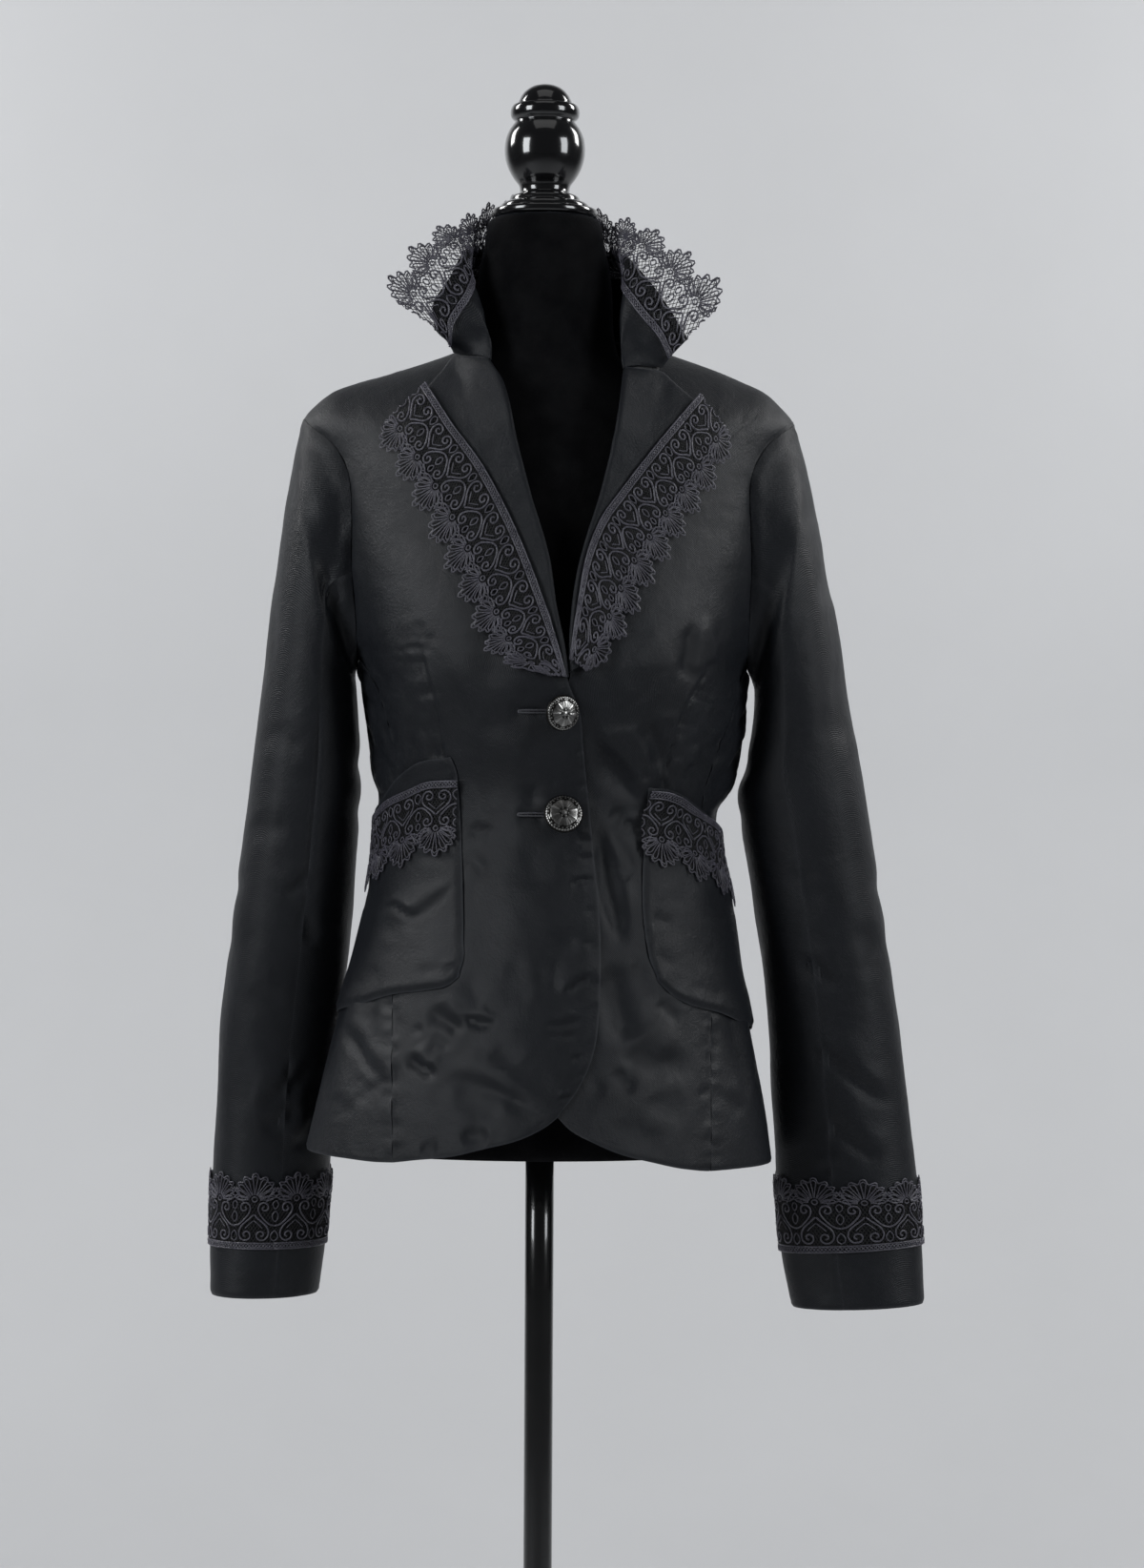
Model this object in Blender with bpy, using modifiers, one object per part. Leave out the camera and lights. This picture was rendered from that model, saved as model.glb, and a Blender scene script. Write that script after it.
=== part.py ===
"""A lace-trimmed blazer on a limbless dress form that stands on a pole and a round foot.

Front is -Y, up is +Z, the pole's axis is x = y = 0 and the floor is z = 0. Sizes below are in
millimetres; the meshes are in metres. "Right" and "left" in a name are the wearer's: the right front,
which laps over the left one, lies at -X.

The cloth follows one skin, given as rings around the body that turn over a shoulder ridge at the top.
Each panel is a patch of that skin between its own seams. What is drawn on the fronts (edges, lapels,
pockets, lace) is given as it looks from EYE, a standing point straight in front, and is carried onto
the skin along the lines of sight.
"""
import math

import bpy
import bmesh
import numpy as np
from mathutils import Vector

# ---------------------------------------------------------------- named sizes, mm
CLOTH = 1.2            # cotton sateen wall, lined
COLLAR_WALL = 2.0      # two layers and interfacing
LACE = 1.2             # corded guipure
SEAM = 0.3             # between two pieces at a seam
LIE = 1.3              # clearance under a piece that lies on another
POCKET_LIE = 2.0       # under the pockets, which bridge the hollow of the waist
LAP = 2.2              # the right front lies this far above the left one where they lap
LACE_WIDE = 57.0       # whole width of the border
LACE_REPEAT = 27.0     # one palmette
LACE_ON_EDGE = 20.0    # width of the border that is sewn onto the cloth
EYE = (22.3, -2600.0, 1078.2)

BOTTOM, LOW, HIGH, TOP = 800.0, 900.0, 1250.0, 1400.0   # panel levels: hem, straight rows, shoulder seam
MIDDLE = 5.0           # x of the garment's middle at the shoulders
REACH = 90.0           # how far below the shoulder ridge the skin starts to turn over
FRONT_LINE = 13.5      # x of the centre front, through the buttons

FORM_BOTTOM = 812.0
POLE_R = 10.5
BASE_R = 160.0
BASE_H = 9.0


# ---------------------------------------------------------------- short tables, smooth between rows
class Table:
    """Rows with named columns, read as smooth curves over the first column."""

    def __init__(self, names, *rows):
        rows = sorted(rows)
        self.names = names.split()
        self.col = {n: [float(r[i]) for r in rows] for i, n in enumerate(self.names)}
        self.x = self.col[self.names[0]]
        self.slopes = {n: self._slopes(self.col[n]) for n in self.names[1:]}

    def _slopes(self, y):
        x, n = self.x, len(self.x)
        d = [(y[i + 1] - y[i]) / (x[i + 1] - x[i]) for i in range(n - 1)]
        m = [d[0]] + [0.0] * (n - 2) + [d[-1]]
        for i in range(1, n - 1):
            if d[i - 1] * d[i] > 0:
                w1, w2 = 2 * (x[i + 1] - x[i]) + x[i] - x[i - 1], x[i + 1] - x[i] + 2 * (x[i] - x[i - 1])
                m[i] = (w1 + w2) / (w1 / d[i - 1] + w2 / d[i])
        return m

    def at(self, name, v):
        x, y, m = self.x, self.col[name], self.slopes[name]
        if v <= x[0]:
            return y[0]
        if v >= x[-1]:
            return y[-1]
        i = max(k for k in range(len(x) - 1) if x[k] <= v)
        h = x[i + 1] - x[i]
        t = (v - x[i]) / h
        return ((1 + 2 * t) * (1 - t) ** 2 * y[i] + t * (1 - t) ** 2 * h * m[i]
                + t * t * (3 - 2 * t) * y[i + 1] + t * t * (t - 1) * h * m[i + 1])


# Rings of the garment: how far it reaches to each side of the pole's axis, and in front of and behind
# its widest line, which lies at y = mid.
BODY = Table("z left right front back mid",
             (800, 173, 170, 117, 128, -14), (843, 163.5, 164.5, 116, 126, -12), (880, 155, 158, 114, 123, -10),
             (916, 146, 151, 111, 118, -8), (944, 137.5, 144.5, 109, 112, -6), (972, 130.5, 140.5, 106, 106, -4),
             (1002, 124, 135.5, 103, 99, -2), (1030, 120.5, 129.5, 100, 93, 0), (1053, 119.5, 128, 99, 90, 0),
             (1075, 122.5, 139.5, 101, 92, 0), (1100, 126, 146, 108, 96, 0), (1128, 130, 150, 116, 100, 0),
             (1160, 135, 152.5, 122, 104, 0), (1185, 145, 162, 121, 107, 0), (1215, 153, 168, 118, 109, 0),
             (1245, 159, 173, 113, 110, 0), (1296, 164.5, 175.5, 104, 109, 0), (1320, 175, 185, 99, 106, 0),
             (1345, 200, 210, 93, 100, 0), (1385, 204, 220, 80, 88, 0), (1430, 205, 221, 66, 74, 0))
# Height of the shoulder line at a distance d from the middle, on the -X and the +X side.
RIDGE = Table("d left right",
              (0, 1428, 1430), (30, 1417, 1420), (48, 1407, 1411), (65, 1397, 1402), (90, 1387.5, 1393),
              (120, 1378, 1382.5), (140, 1372, 1374), (155, 1367, 1367), (165, 1361, 1359), (173, 1354, 1350.5),
              (181, 1345, 1341), (200, 1318, 1312))
# Armhole: angle up from the underarm (0) to the shoulder tip (180); the skin's angle from the front
# centre, and from the back centre, at which the seam lies.
ARMHOLE = Table("psi front back",
                (0, 90, 90), (20, 78, 80), (33, 71, 74), (50, 65.5, 69), (72, 62, 65), (96, 59, 62.5),
                (120, 58, 61.5), (143, 59.5, 61), (180, 62, 62))
UNDERARM = {-1: 1163.0, 1: 1158.0}
SHOULDER_TIP = {-1: 1345.0, 1: 1341.0}
BUST = {"x": 80.0, "z": 1168.0, "wide": 38.0, "high": 42.0, "out": 8.0}

# Drawn as seen from EYE.
ROLL = {-1: Table("z x", (1387.5, -39), (1368.5, -29.5), (1319, -18), (1281.5, -7.5), (1244, 3.5), (1207, 9.5),
                  (1174.5, 16), (1152, 19)),
        1: Table("z x", (1381.5, 59), (1353, 56), (1315, 49), (1289, 42.5), (1262.5, 34), (1234.5, 26.5),
                 (1202.5, 22), (1180, 20.5), (1155.5, 20.5))}
NECK_POINT = {-1: (1397.0, -62.0), 1: (1399.0, 76.0)}          # z, x where the shoulder seam meets the collar
FRONT_EDGE = Table("z x", (833.5, 13), (852, 27), (871.5, 36.5), (891.5, 41.5), (917.5, 43.5), (949.5, 44),
                   (982, 43), (1024.5, 38.5), (1057, 35.5), (1101.5, 31), (1128.5, 28.5), (1142.5, 25), (1152, 19))
HEM = {-1: Table("x z", (13, 833), (3.5, 825.5), (-17.5, 815.5), (-41.5, 809.5), (-67.5, 803.5), (-89.5, 801.5),
                 (-117, 799.5), (-154, 804.5)),
       1: Table("x z", (13, 833.5), (22, 824), (39.5, 814.5), (60, 806), (82.5, 800.5), (108.5, 795.5),
                (129.5, 794.5), (149.5, 796.5))}
SIDE_SEAM = {-1: Table("z x", (801, -108.5), (919.5, -109), (1003.5, -106), (1066.5, -103.5), (1105, -109.5),
                       (1136.5, -118), (1156.5, -126)),
             1: Table("z x", (795.5, 126), (911, 125.5), (1002.5, 122), (1062, 118), (1093.5, 126),
                      (1118, 135.5), (1140, 144))}
SIDE_SEAM_TOP = {-1: 1170.0, 1: 1165.0}
BACK_SEAM = Table("z angle", (800, 62), (900, 62), (1000, 64), (1053, 66), (1120, 68), (1170, 74))   # from the back centre

# Sleeve sections, from the armhole to the cuff: the outer and the inner edge as seen from EYE, the y of
# the middle and the reach in front of it and behind it.
SLEEVE = {
    -1: Table("k out_x out_z in_x in_z mid front back",
              (1, -181, 1328, -138, 1158.5, 0, 59, 59), (2, -186.5, 1300, -137, 1151, 0, 62, 61),
              (3, -191, 1266, -136, 1139, 1, 62, 61), (4, -197, 1222, -135, 1121, 2, 60, 59),
              (5, -203, 1165, -134, 1098, 4, 57, 56), (6, -208.5, 1120, -133, 1075, 6, 54, 53),
              (7, -215, 1069, -134, 1045, 10, 51, 51), (8, -221, 1019, -136.5, 1008, 15, 49, 49),
              (9, -227, 968, -139.5, 962, 23, 47, 47), (10, -232.5, 922, -144, 918, 33, 46, 45),
              (11, -236, 875, -149, 872, 44, 44, 43), (12, -238, 822, -153, 822, 54, 42, 41),
              (13, -240, 787, -154, 789, 58, 41, 40), (14, -241.5, 735, -157.5, 736, 60, 39, 38),
              (15, -241, 698.5, -162, 700, 60, 38, 37)),
    1: Table("k out_x out_z in_x in_z mid front back",
             (1, 191, 1324, 155.5, 1153, 0, 59, 59), (2, 196.5, 1300, 156, 1145, 0, 62, 61),
             (3, 202, 1270, 155.5, 1131, 1, 62, 61), (4, 209, 1230, 153.5, 1112, 2, 60, 59),
             (5, 217, 1188, 150, 1094, 3, 57, 56), (6, 226, 1135, 144.5, 1073, 5, 54, 53),
             (7, 238, 1071, 147, 1043, 8, 50, 50), (8, 246.5, 1010, 154, 1003, 12, 47, 47),
             (9, 255, 956, 160.5, 955, 17, 44, 44), (10, 264.5, 886, 167.5, 888, 23, 41, 41),
             (11, 269.5, 848, 170, 848, 26, 39, 39), (12, 273.5, 814, 172.5, 815, 28, 37, 37),
             (13, 277, 785, 173.5, 787, 29, 36, 36), (14, 281, 738.5, 177.5, 732.5, 29, 33, 33),
             (15, 282.5, 695, 186, 691.5, 28, 31, 31))}
ARMHOLE_ROWS = (38, 56, 75, 95, 116, 138, 156, 170, 180)   # psi of the points shared by body and sleeve
FRONT_ARM_SEAM, ELBOW_SEAM = 75, 95                        # psi at which the sleeve's own seams start

# Collar: along each half from the centre back (w = 0) to the front end, one unit to a palmette of the
# lace. Its middle line, the upper edge of the cloth, and the points of the lace above it. Its foot
# follows the neckline up to FOOT_TURN and the gorge from there.
COLLAR_END = {-1: 6.9, 1: 7.2}
FOOT_SHOULDER, FOOT_TURN = 3.4, 5.6
COLLAR_MID = {-1: Table("w x y z", (0, 3, 60, 1441), (1.4, -40, 48, 1440), (2.4, -57, 26, 1437), (3.4, -58, -2, 1433),
                        (4.4, -52, -27, 1428), (5.0, -46, -41, 1424), (5.6, -45, -49, 1415), (6.4, -65, -53, 1402),
                        (6.9, -70, -54, 1396.5)),
              1: Table("w x y z", (0, 3, 60, 1441), (1.4, 46, 48, 1440), (2.4, 64, 26, 1436), (3.4, 66, -2, 1430),
                       (4.4, 60, -27, 1425), (5.0, 56.5, -41, 1420), (5.6, 60, -49, 1409), (6.4, 81, -54, 1396),
                       (7.2, 92, -55, 1386))}
COLLAR_TOP = {-1: Table("w x y z", (0, 2, 54, 1479), (1.4, -36, 42, 1477), (2.4, -50, 16, 1473), (3.4, -53.5, -8, 1469),
                        (4.4, -58, -30, 1465), (5.4, -68, -46, 1443), (6.4, -80, -58, 1418.5), (6.9, -78, -62, 1403.5)),
              1: Table("w x y z", (0, 2, 54, 1479), (1.4, 40, 42, 1476), (2.4, 53, 16, 1471), (3.4, 55.5, -8, 1466),
                       (4.4, 61, -30, 1460.5), (5.4, 77.5, -46, 1440), (6.4, 92, -58, 1418), (7.2, 103.5, -62, 1397.5))}
COLLAR_TIPS = {-1: Table("w x y z", (0, 2, 50, 1520), (1.4, -25.5, 38, 1517), (2.4, -43.5, 10, 1507), (3.4, -58, -16, 1494),
                         (4.4, -78.5, -36, 1480.5), (5.4, -98, -48, 1463.5), (6.4, -112, -61, 1440.5), (6.9, -120.5, -68, 1431)),
               1: Table("w x y z", (0, 2, 50, 1520), (1.4, 25.5, 40, 1515), (2.4, 40, 20, 1505), (3.4, 61, -14, 1492.5),
                        (4.4, 80, -35, 1481), (5.4, 102, -48, 1464.5), (6.4, 121.5, -61, 1446), (7.2, 136, -67, 1429.5))}
NOTCH = {-1: (-65.0, 1391.0), 1: (86.0, 1380.5)}       # outer end of the gorge seam, as seen from EYE

# Lapels, drawn as seen from EYE, from the gorge (0) to the break above the top button (1): the outer
# edge of the cloth, the inner edge of the lace and the line of its points.
LAPEL = {-1: Table("t edge_x edge_z lace_x lace_z tip_x tip_z",
                   (0.0, -98, 1352, -85, 1369, -124, 1334), (0.15, -86, 1325, -66, 1342, -108, 1307),
                   (0.3, -69, 1298, -46, 1316, -92, 1277), (0.45, -52, 1269, -29, 1286, -76, 1245),
                   (0.6, -38, 1240, -14, 1253, -62, 1217), (0.75, -25, 1210, 0, 1216, -49, 1188),
                   (0.9, -14, 1178, 11, 1184, -34, 1168), (1.0, 2, 1162, 18, 1158, 2, 1159)),
         1: Table("t edge_x edge_z lace_x lace_z tip_x tip_z",
                  (0.0, 124, 1348, 113, 1362, 140, 1330), (0.15, 109, 1325, 93, 1341, 126, 1298),
                  (0.3, 93, 1296, 74, 1318, 111, 1275), (0.45, 77, 1270, 56, 1294, 97, 1251),
                  (0.6, 63, 1245, 41, 1272, 82, 1227), (0.75, 51, 1221, 31, 1244, 68, 1200),
                  (0.9, 42, 1195, 25, 1207, 54, 1176), (1.0, 30, 1166, 20, 1170, 36, 1159))}

# Pockets: the front edge (x over z), the lower edge and the upper edge (z over x), the lace's upper edge
# and its points; all as seen from EYE. They run back to POCKET_BACK degrees.
POCKET_EDGE = {-1: Table("z x", (937.5, -60), (949, -56.5), (995, -57), (1040.5, -58.5), (1086, -62), (1098.5, -67)),
               1: Table("z x", (935, 85.5), (946.5, 80.5), (965.5, 76.5), (994.5, 74), (1025, 74.5), (1046, 76.5), (1076, 78))}
POCKET_LOW = {-1: Table("x z", (-60, 936), (-65, 931), (-76.5, 927), (-106.5, 923), (-138, 914)),
              1: Table("x z", (86, 934), (95, 924), (111.5, 915.5), (133, 910), (148, 903))}
POCKET_HIGH = {-1: Table("x z", (-64, 1098), (-85, 1095.5), (-100.5, 1086), (-111.5, 1071.5), (-118, 1060)),
               1: Table("x z", (78.5, 1076), (89, 1075.5), (101.5, 1072), (113.5, 1062.5), (126, 1050))}
POCKET_LACE = {-1: Table("x z", (-62, 1083), (-79.5, 1082), (-95.5, 1075), (-111.5, 1066.5), (-118, 1058)),
               1: Table("x z", (78.5, 1076), (89, 1075.5), (101.5, 1072), (113.5, 1062.5), (126, 1050))}
POCKET_BACK = {-1: 97.0, 1: 99.0}
POCKET_LACE_BACK = {-1: 92.0, 1: 93.0}

BUTTONS = (("button_upper", 14.5, 1132.5, 12.5), ("button_lower", 15.5, 1056.0, 13.5))   # x, z as drawn; radius

# Dress form: rings about the axis.
FORM = Table("z wide front back mid",
             (812, 150, 98, 108, -8), (816, 153, 101, 110, -8), (840, 152, 102, 110, -7), (900, 143, 99, 105, -5),
             (960, 126, 94, 92, -3), (1010, 114, 90, 84, 0), (1053, 111, 88, 80, 0), (1100, 117, 95, 85, 0),
             (1150, 124, 106, 91, 0), (1200, 126, 105, 94, 0), (1250, 126, 98, 95, 0), (1300, 120, 88, 90, 0),
             (1330, 105, 76, 78, 0), (1355, 86, 63, 64, 0), (1375, 68, 52, 52, 0), (1395, 53.5, 46, 45, 0),
             (1415, 50.5, 44, 44.5, 0), (1436, 50, 43.5, 44, 0), (1454, 48, 42.5, 43, 0), (1471, 44.5, 41, 41.5, 0),
             (1484, 42.5, 39.5, 40, 0), (1490, 41, 38, 38.5, 0), (1493, 36, 34, 34, 0))
# Turned cap: outline from the top down.
CAP = ((0.0, 1591.7), (5.5, 1591.2), (11.5, 1589.0), (16.8, 1584.2), (19.8, 1578.2), (20.4, 1576.6), (23.6, 1575.9),
       (25.2, 1573.0), (25.4, 1570.2), (24.6, 1567.0), (22.2, 1564.6), (22.4, 1563.2), (26.2, 1558.0), (28.9, 1551.0),
       (29.7, 1543.5), (28.9, 1536.0), (26.4, 1528.6), (22.4, 1521.8), (19.0, 1517.4), (18.3, 1514.0), (18.9, 1511.0),
       (23.4, 1509.6), (25.6, 1507.8), (26.0, 1505.6), (29.6, 1504.4), (32.4, 1502.4), (33.0, 1500.2), (38.2, 1499.0),
       (39.2, 1497.6), (39.2, 1495.0), (38.4, 1493.8), (0.0, 1493.4))
FOOT = ((0.0, 30.0), (14.0, 30.0), (15.0, 29.0), (15.6, 24.0), (19.0, 18.0), (30.0, 13.5), (60.0, 11.0), (120.0, 9.6),
        (152.0, BASE_H), (158.0, 7.4), (BASE_R, 5.0), (BASE_R, 1.0), (159.0, 0.0), (0.0, 0.0))


# ---------------------------------------------------------------- the skin
def wide(z):
    left, right = BODY.at("left", z), BODY.at("right", z)
    return (left + right) / 2, (right - left) / 2


def ridge(x):
    return RIDGE.at("left" if x < MIDDLE else "right", abs(x - MIDDLE))


def bust(x, z):
    d = abs(x - MIDDLE - 3) - BUST["x"]
    return BUST["out"] * math.exp(-0.5 * ((d / BUST["wide"]) ** 2 + ((z - BUST["z"]) / BUST["high"]) ** 2))


def skin(u, z):
    """A point of the skin: u in degrees from the front centre, + towards +X, 180 at the back centre."""
    a, c = wide(z)
    x = c + a * math.sin(math.radians(u))
    k = math.cos(math.radians(u))
    if k >= 0:
        y = BODY.at("mid", z) - BODY.at("front", z) * k - bust(x, z) * min(1.0, k * 2)
    else:
        y = BODY.at("mid", z) - BODY.at("back", z) * k
    h = ridge(x) - z
    if h < REACH:
        y_top = 4.0 * max(0.0, 1 - abs(x - MIDDLE) / 181) + (-0.6 if k >= 0 else 0.6) * SEAM
        y = y_top + (y - y_top) * math.sqrt(max(0.0, 1 - (1 - max(h, 0.0) / REACH) ** 2))
    return np.array((x, y, z))


def skin_normal(u, z):
    h = ridge(skin(u, z)[0]) - z
    if h < 0.6:                                       # on the shoulder seam: square to the ridge line
        x = skin(u, z)[0]
        n = np.array((ridge(x - 2) - ridge(x + 2), 0.0, 4.0))
        return n / np.linalg.norm(n)
    e = min(1.0, h / 3)
    n = np.cross(skin(u + 0.5, z) - skin(u - 0.5, z), skin(u, z + e) - skin(u, z - e))
    return n / np.linalg.norm(n)


def angle_at(x, z):
    a, c = wide(z)
    return math.degrees(math.asin(max(-1.0, min(1.0, (x - c) / a))))


def sight(X, Z, lift=0.0):
    """(u, z) of the front skin where the drawn point X, Z is seen from EYE."""
    x, z = X, Z
    for _ in range(12):
        u = angle_at(x, z)
        y = skin(u, z)[1] - lift
        k = (y - EYE[1]) / -EYE[1]
        x, z = EYE[0] + (X - EYE[0]) * k, EYE[2] + (Z - EYE[2]) * k
    return angle_at(x, z), z


def real(table, first="z", second="x"):
    """A drawn table carried onto the skin: the same columns in real x and z."""
    rows = []
    for p, q in zip(table.col[first], table.col[second]):
        X, Z = (q, p) if first == "z" else (p, q)
        u, z = sight(X, Z)
        rows.append((z, skin(u, z)[0]) if first == "z" else (skin(u, z)[0], z))
    return Table(f"{first} {second}", *rows)


# ---------------------------------------------------------------- boundaries of the panels
REAL_ROLL = {s: real(ROLL[s]) for s in (-1, 1)}
REAL_EDGE = real(FRONT_EDGE)
REAL_HEM = {s: real(HEM[s], "x", "z") for s in (-1, 1)}
REAL_SIDE = {s: real(SIDE_SEAM[s]) for s in (-1, 1)}
BREAK = {-1: REAL_ROLL[-1].x[0], 1: REAL_ROLL[1].x[0]}
GORGE_Z = {s: REAL_ROLL[s].x[-1] for s in (-1, 1)}
NECK_EDGE = {s: Table("z x", (GORGE_Z[s], REAL_ROLL[s].at("x", GORGE_Z[s])),
                      (0.5 * (GORGE_Z[s] + NECK_POINT[s][0]), 0.42 * REAL_ROLL[s].at("x", GORGE_Z[s]) + 0.58 * NECK_POINT[s][1]),
                      NECK_POINT[s]) for s in (-1, 1)}


def hem_at(side, u, x):
    """Height of the hem: drawn on the fronts, level round the sides and the back."""
    level = 808.0 - 0.023 * x
    if abs(u) > 90:
        return level
    drawn = REAL_HEM[side].at("z", x)
    edge = REAL_HEM[side].x[0 if side < 0 else -1]
    t = max(0.0, min(1.0, (abs(x) - abs(edge) + 25) / 25))
    return drawn + (level - drawn) * t


def under_edge(z):
    """Front edge of the left front, which mirrors the right one about the centre front."""
    x = 2 * FRONT_LINE - REAL_EDGE.at("x", z)
    if z > REAL_EDGE.x[-1] - 12:
        t = min(1.0, (z - REAL_EDGE.x[-1] + 12) / 12)
        x += (REAL_ROLL[1].at("x", z) - x) * t
    return x


def front_edge(side, z):
    if z >= GORGE_Z[side]:
        return NECK_EDGE[side].at("x", z)
    if z >= BREAK[side]:
        return REAL_ROLL[side].at("x", z)
    return REAL_EDGE.at("x", z) if side < 0 else under_edge(z)


def armhole(side, psi, back=False):
    """(u, z) on the armhole seam."""
    z = UNDERARM[side] + (SHOULDER_TIP[side] - UNDERARM[side]) * (1 - math.cos(math.radians(psi))) / 2
    u = 180 - ARMHOLE.at("back", psi) if back else ARMHOLE.at("front", psi)
    if psi > 179.5:                                   # the tip lies on the shoulder line
        for _ in range(6):
            a, c = wide(z)
            z = ridge(c + side * a * math.sin(math.radians(u)))
    return side * u, z


def psi_at(side, z):
    f = (z - UNDERARM[side]) / (SHOULDER_TIP[side] - UNDERARM[side])
    return math.degrees(math.acos(max(-1.0, min(1.0, 1 - 2 * f))))


def psi_of_angle(u):
    """Inverse of the armhole near the underarm: the psi at which the seam lies at the skin angle u."""
    column, target = ("front", abs(u)) if abs(u) <= 90 else ("back", 180 - abs(u))
    lo, hi = 0.0, 50.0
    for _ in range(30):
        m = (lo + hi) / 2
        lo, hi = (m, hi) if ARMHOLE.at(column, m) > target else (lo, m)
    return lo


def seam_front(side, z):
    """Angle of the seam between front and side panel."""
    top = SIDE_SEAM_TOP[side]
    if z >= top:
        return side * ARMHOLE.at("front", psi_at(side, z))
    low = REAL_SIDE[side]
    if z <= low.x[-1]:
        return angle_at(low.at("x", z), z)
    t = (z - low.x[-1]) / (top - low.x[-1])
    return (1 - t) * angle_at(low.at("x", low.x[-1]), low.x[-1]) + t * side * ARMHOLE.at("front", psi_at(side, top))


def seam_back(side, z):
    top = SIDE_SEAM_TOP[side]
    if z >= top:
        return side * (180 - ARMHOLE.at("back", psi_at(side, z)))
    t = min(1.0, max(0.0, (z - 1120) / (top - 1120)))
    end = ARMHOLE.at("back", psi_at(side, top))
    return side * (180 - ((1 - t) * BACK_SEAM.at("angle", min(z, 1120)) + t * end))


def degrees_for(u, z, length):
    return length / max(1.0, np.linalg.norm(skin(u + 0.5, z) - skin(u - 0.5, z)))


# ---------------------------------------------------------------- sleeves
def armhole_tangent(side, psi, back):
    lo, hi = max(0.0, psi - 1), min(180.0, psi + 1)
    d = skin(*armhole(side, hi, back)) - skin(*armhole(side, lo, back))
    return d / np.linalg.norm(d)


def away_from_body(side, psi, back):
    """Square to the seam, out of the body panels."""
    u, z = armhole(side, psi, back)
    if psi > 179.5:
        return np.array((side * 0.75, 0.0, -0.66))
    if psi < 0.5:
        return np.array((0.0, 0.0, 1.0))
    n = skin_normal(u, z)
    d = np.cross(n, armhole_tangent(side, psi, back))
    outward = np.array((side * 0.5, (1.0 if not back else -1.0), 0.3))
    return d if np.dot(d, outward) > 0 else -d


def sleeve_point(side, k, phi):
    """phi 0 at the top or outer edge, 90 at the front, 180 at the underarm or inner edge."""
    t = math.radians(phi)
    if k <= 0:
        psi = 180 - abs((phi + 180) % 360 - 180)
        back = math.sin(t) < -1e-9
        u, z = armhole(side, psi, back)
        return skin(u, z) + SEAM * (0.7 * away_from_body(side, psi, back) + 0.5 * np.array((side, 0.0, 0.0)))
    if k < 1:
        a, b = sleeve_point(side, 0, phi), sleeve_point(side, 1, phi)
        return a + (b - a) * k
    S = SLEEVE[side]
    mid = S.at("mid", k)
    scale = (mid - EYE[1]) / -EYE[1]
    near = (mid - 0.9 * S.at("front", k) - EYE[1]) / -EYE[1]      # heights are read on the sleeve's front
    out = np.array((EYE[0] + (S.at("out_x", k) - EYE[0]) * scale, 0.0, EYE[2] + (S.at("out_z", k) - EYE[2]) * near))
    inn = np.array((EYE[0] + (S.at("in_x", k) - EYE[0]) * scale, 0.0, EYE[2] + (S.at("in_z", k) - EYE[2]) * near))
    reach = S.at("front", k) if math.sin(t) > 0 else S.at("back", k)
    p = (out + inn) / 2 + (out - inn) / 2 * math.cos(t)
    p[1] = mid - reach * math.sin(t)
    return p


def sleeve_normal(side, k, phi):
    e = 0.35
    n = np.cross(sleeve_point(side, min(15.0, k + e), phi) - sleeve_point(side, max(0.0, k - e), phi),
                 sleeve_point(side, k, phi + 4) - sleeve_point(side, k, phi - 4))
    n /= np.linalg.norm(n)
    centre = sum(sleeve_point(side, k, a) for a in (0, 90, 180, 270)) / 4
    return n if np.dot(n, sleeve_point(side, k, phi) - centre) > 0 else -n


def mitre(side, psi, back):
    """Common edge direction of the body and the sleeve on the armhole seam."""
    u, z = armhole(side, psi, back)
    if psi > 179.5:
        body = skin_normal(side * 62, z)
    else:
        body = skin_normal(u, z)
    sleeve = sleeve_normal(side, 0.2, (180 - psi) * (-1 if back else 1))
    n = body + sleeve
    n /= np.linalg.norm(n)
    return n / max(0.6, float(np.dot(n, body)))


# ---------------------------------------------------------------- making objects
PARTS = bpy.data.collections.new("blazer_on_dress_form")


def clear_scene():
    for ob in list(bpy.data.objects):
        bpy.data.objects.remove(ob, do_unlink=True)
    bpy.context.scene.collection.children.link(PARTS)


def material(name, colour, roughness, metallic=0.0):
    mat = bpy.data.materials.new(name)
    mat.use_nodes = True
    bsdf = mat.node_tree.nodes["Principled BSDF"]
    bsdf.inputs["Base Color"].default_value = (*colour, 1.0)
    bsdf.inputs["Roughness"].default_value = roughness
    bsdf.inputs["Metallic"].default_value = metallic
    return mat


FINISH = {"cloth": ((0.018, 0.018, 0.02), 0.6, 0.0), "lace": ((0.02, 0.018, 0.022), 0.5, 0.0),
          "velvet": ((0.004, 0.004, 0.005), 0.9, 0.0), "lacquer": ((0.006, 0.006, 0.006), 0.15, 0.0),
          "pole": ((0.008, 0.008, 0.008), 0.25, 0.0), "base": ((0.01, 0.01, 0.01), 0.4, 0.0),
          "button": ((0.35, 0.34, 0.33), 0.35, 1.0)}


def add(name, mesh, slot):
    ob = bpy.data.objects.new(name, mesh)
    colour, rough, metal = FINISH[slot]
    mesh.materials.append(material(f"{slot}_{name}", colour, rough, metal))
    PARTS.objects.link(ob)
    return ob


def closed_mesh(name, points, faces, slot):
    """A mesh of millimetre points in metres, its faces turned outwards."""
    mesh = bpy.data.meshes.new(name)
    mesh.from_pydata([tuple(float(v) * 0.001 for v in p) for p in points], [], faces)
    bm = bmesh.new()
    bm.from_mesh(mesh)
    if bm.calc_volume(signed=True) < 0:
        bmesh.ops.reverse_faces(bm, faces=bm.faces)
    bm.to_mesh(mesh)
    bm.free()
    mesh.shade_smooth()
    mesh.set_sharp_from_angle(angle=math.radians(35))
    return add(name, mesh, slot)


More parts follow.
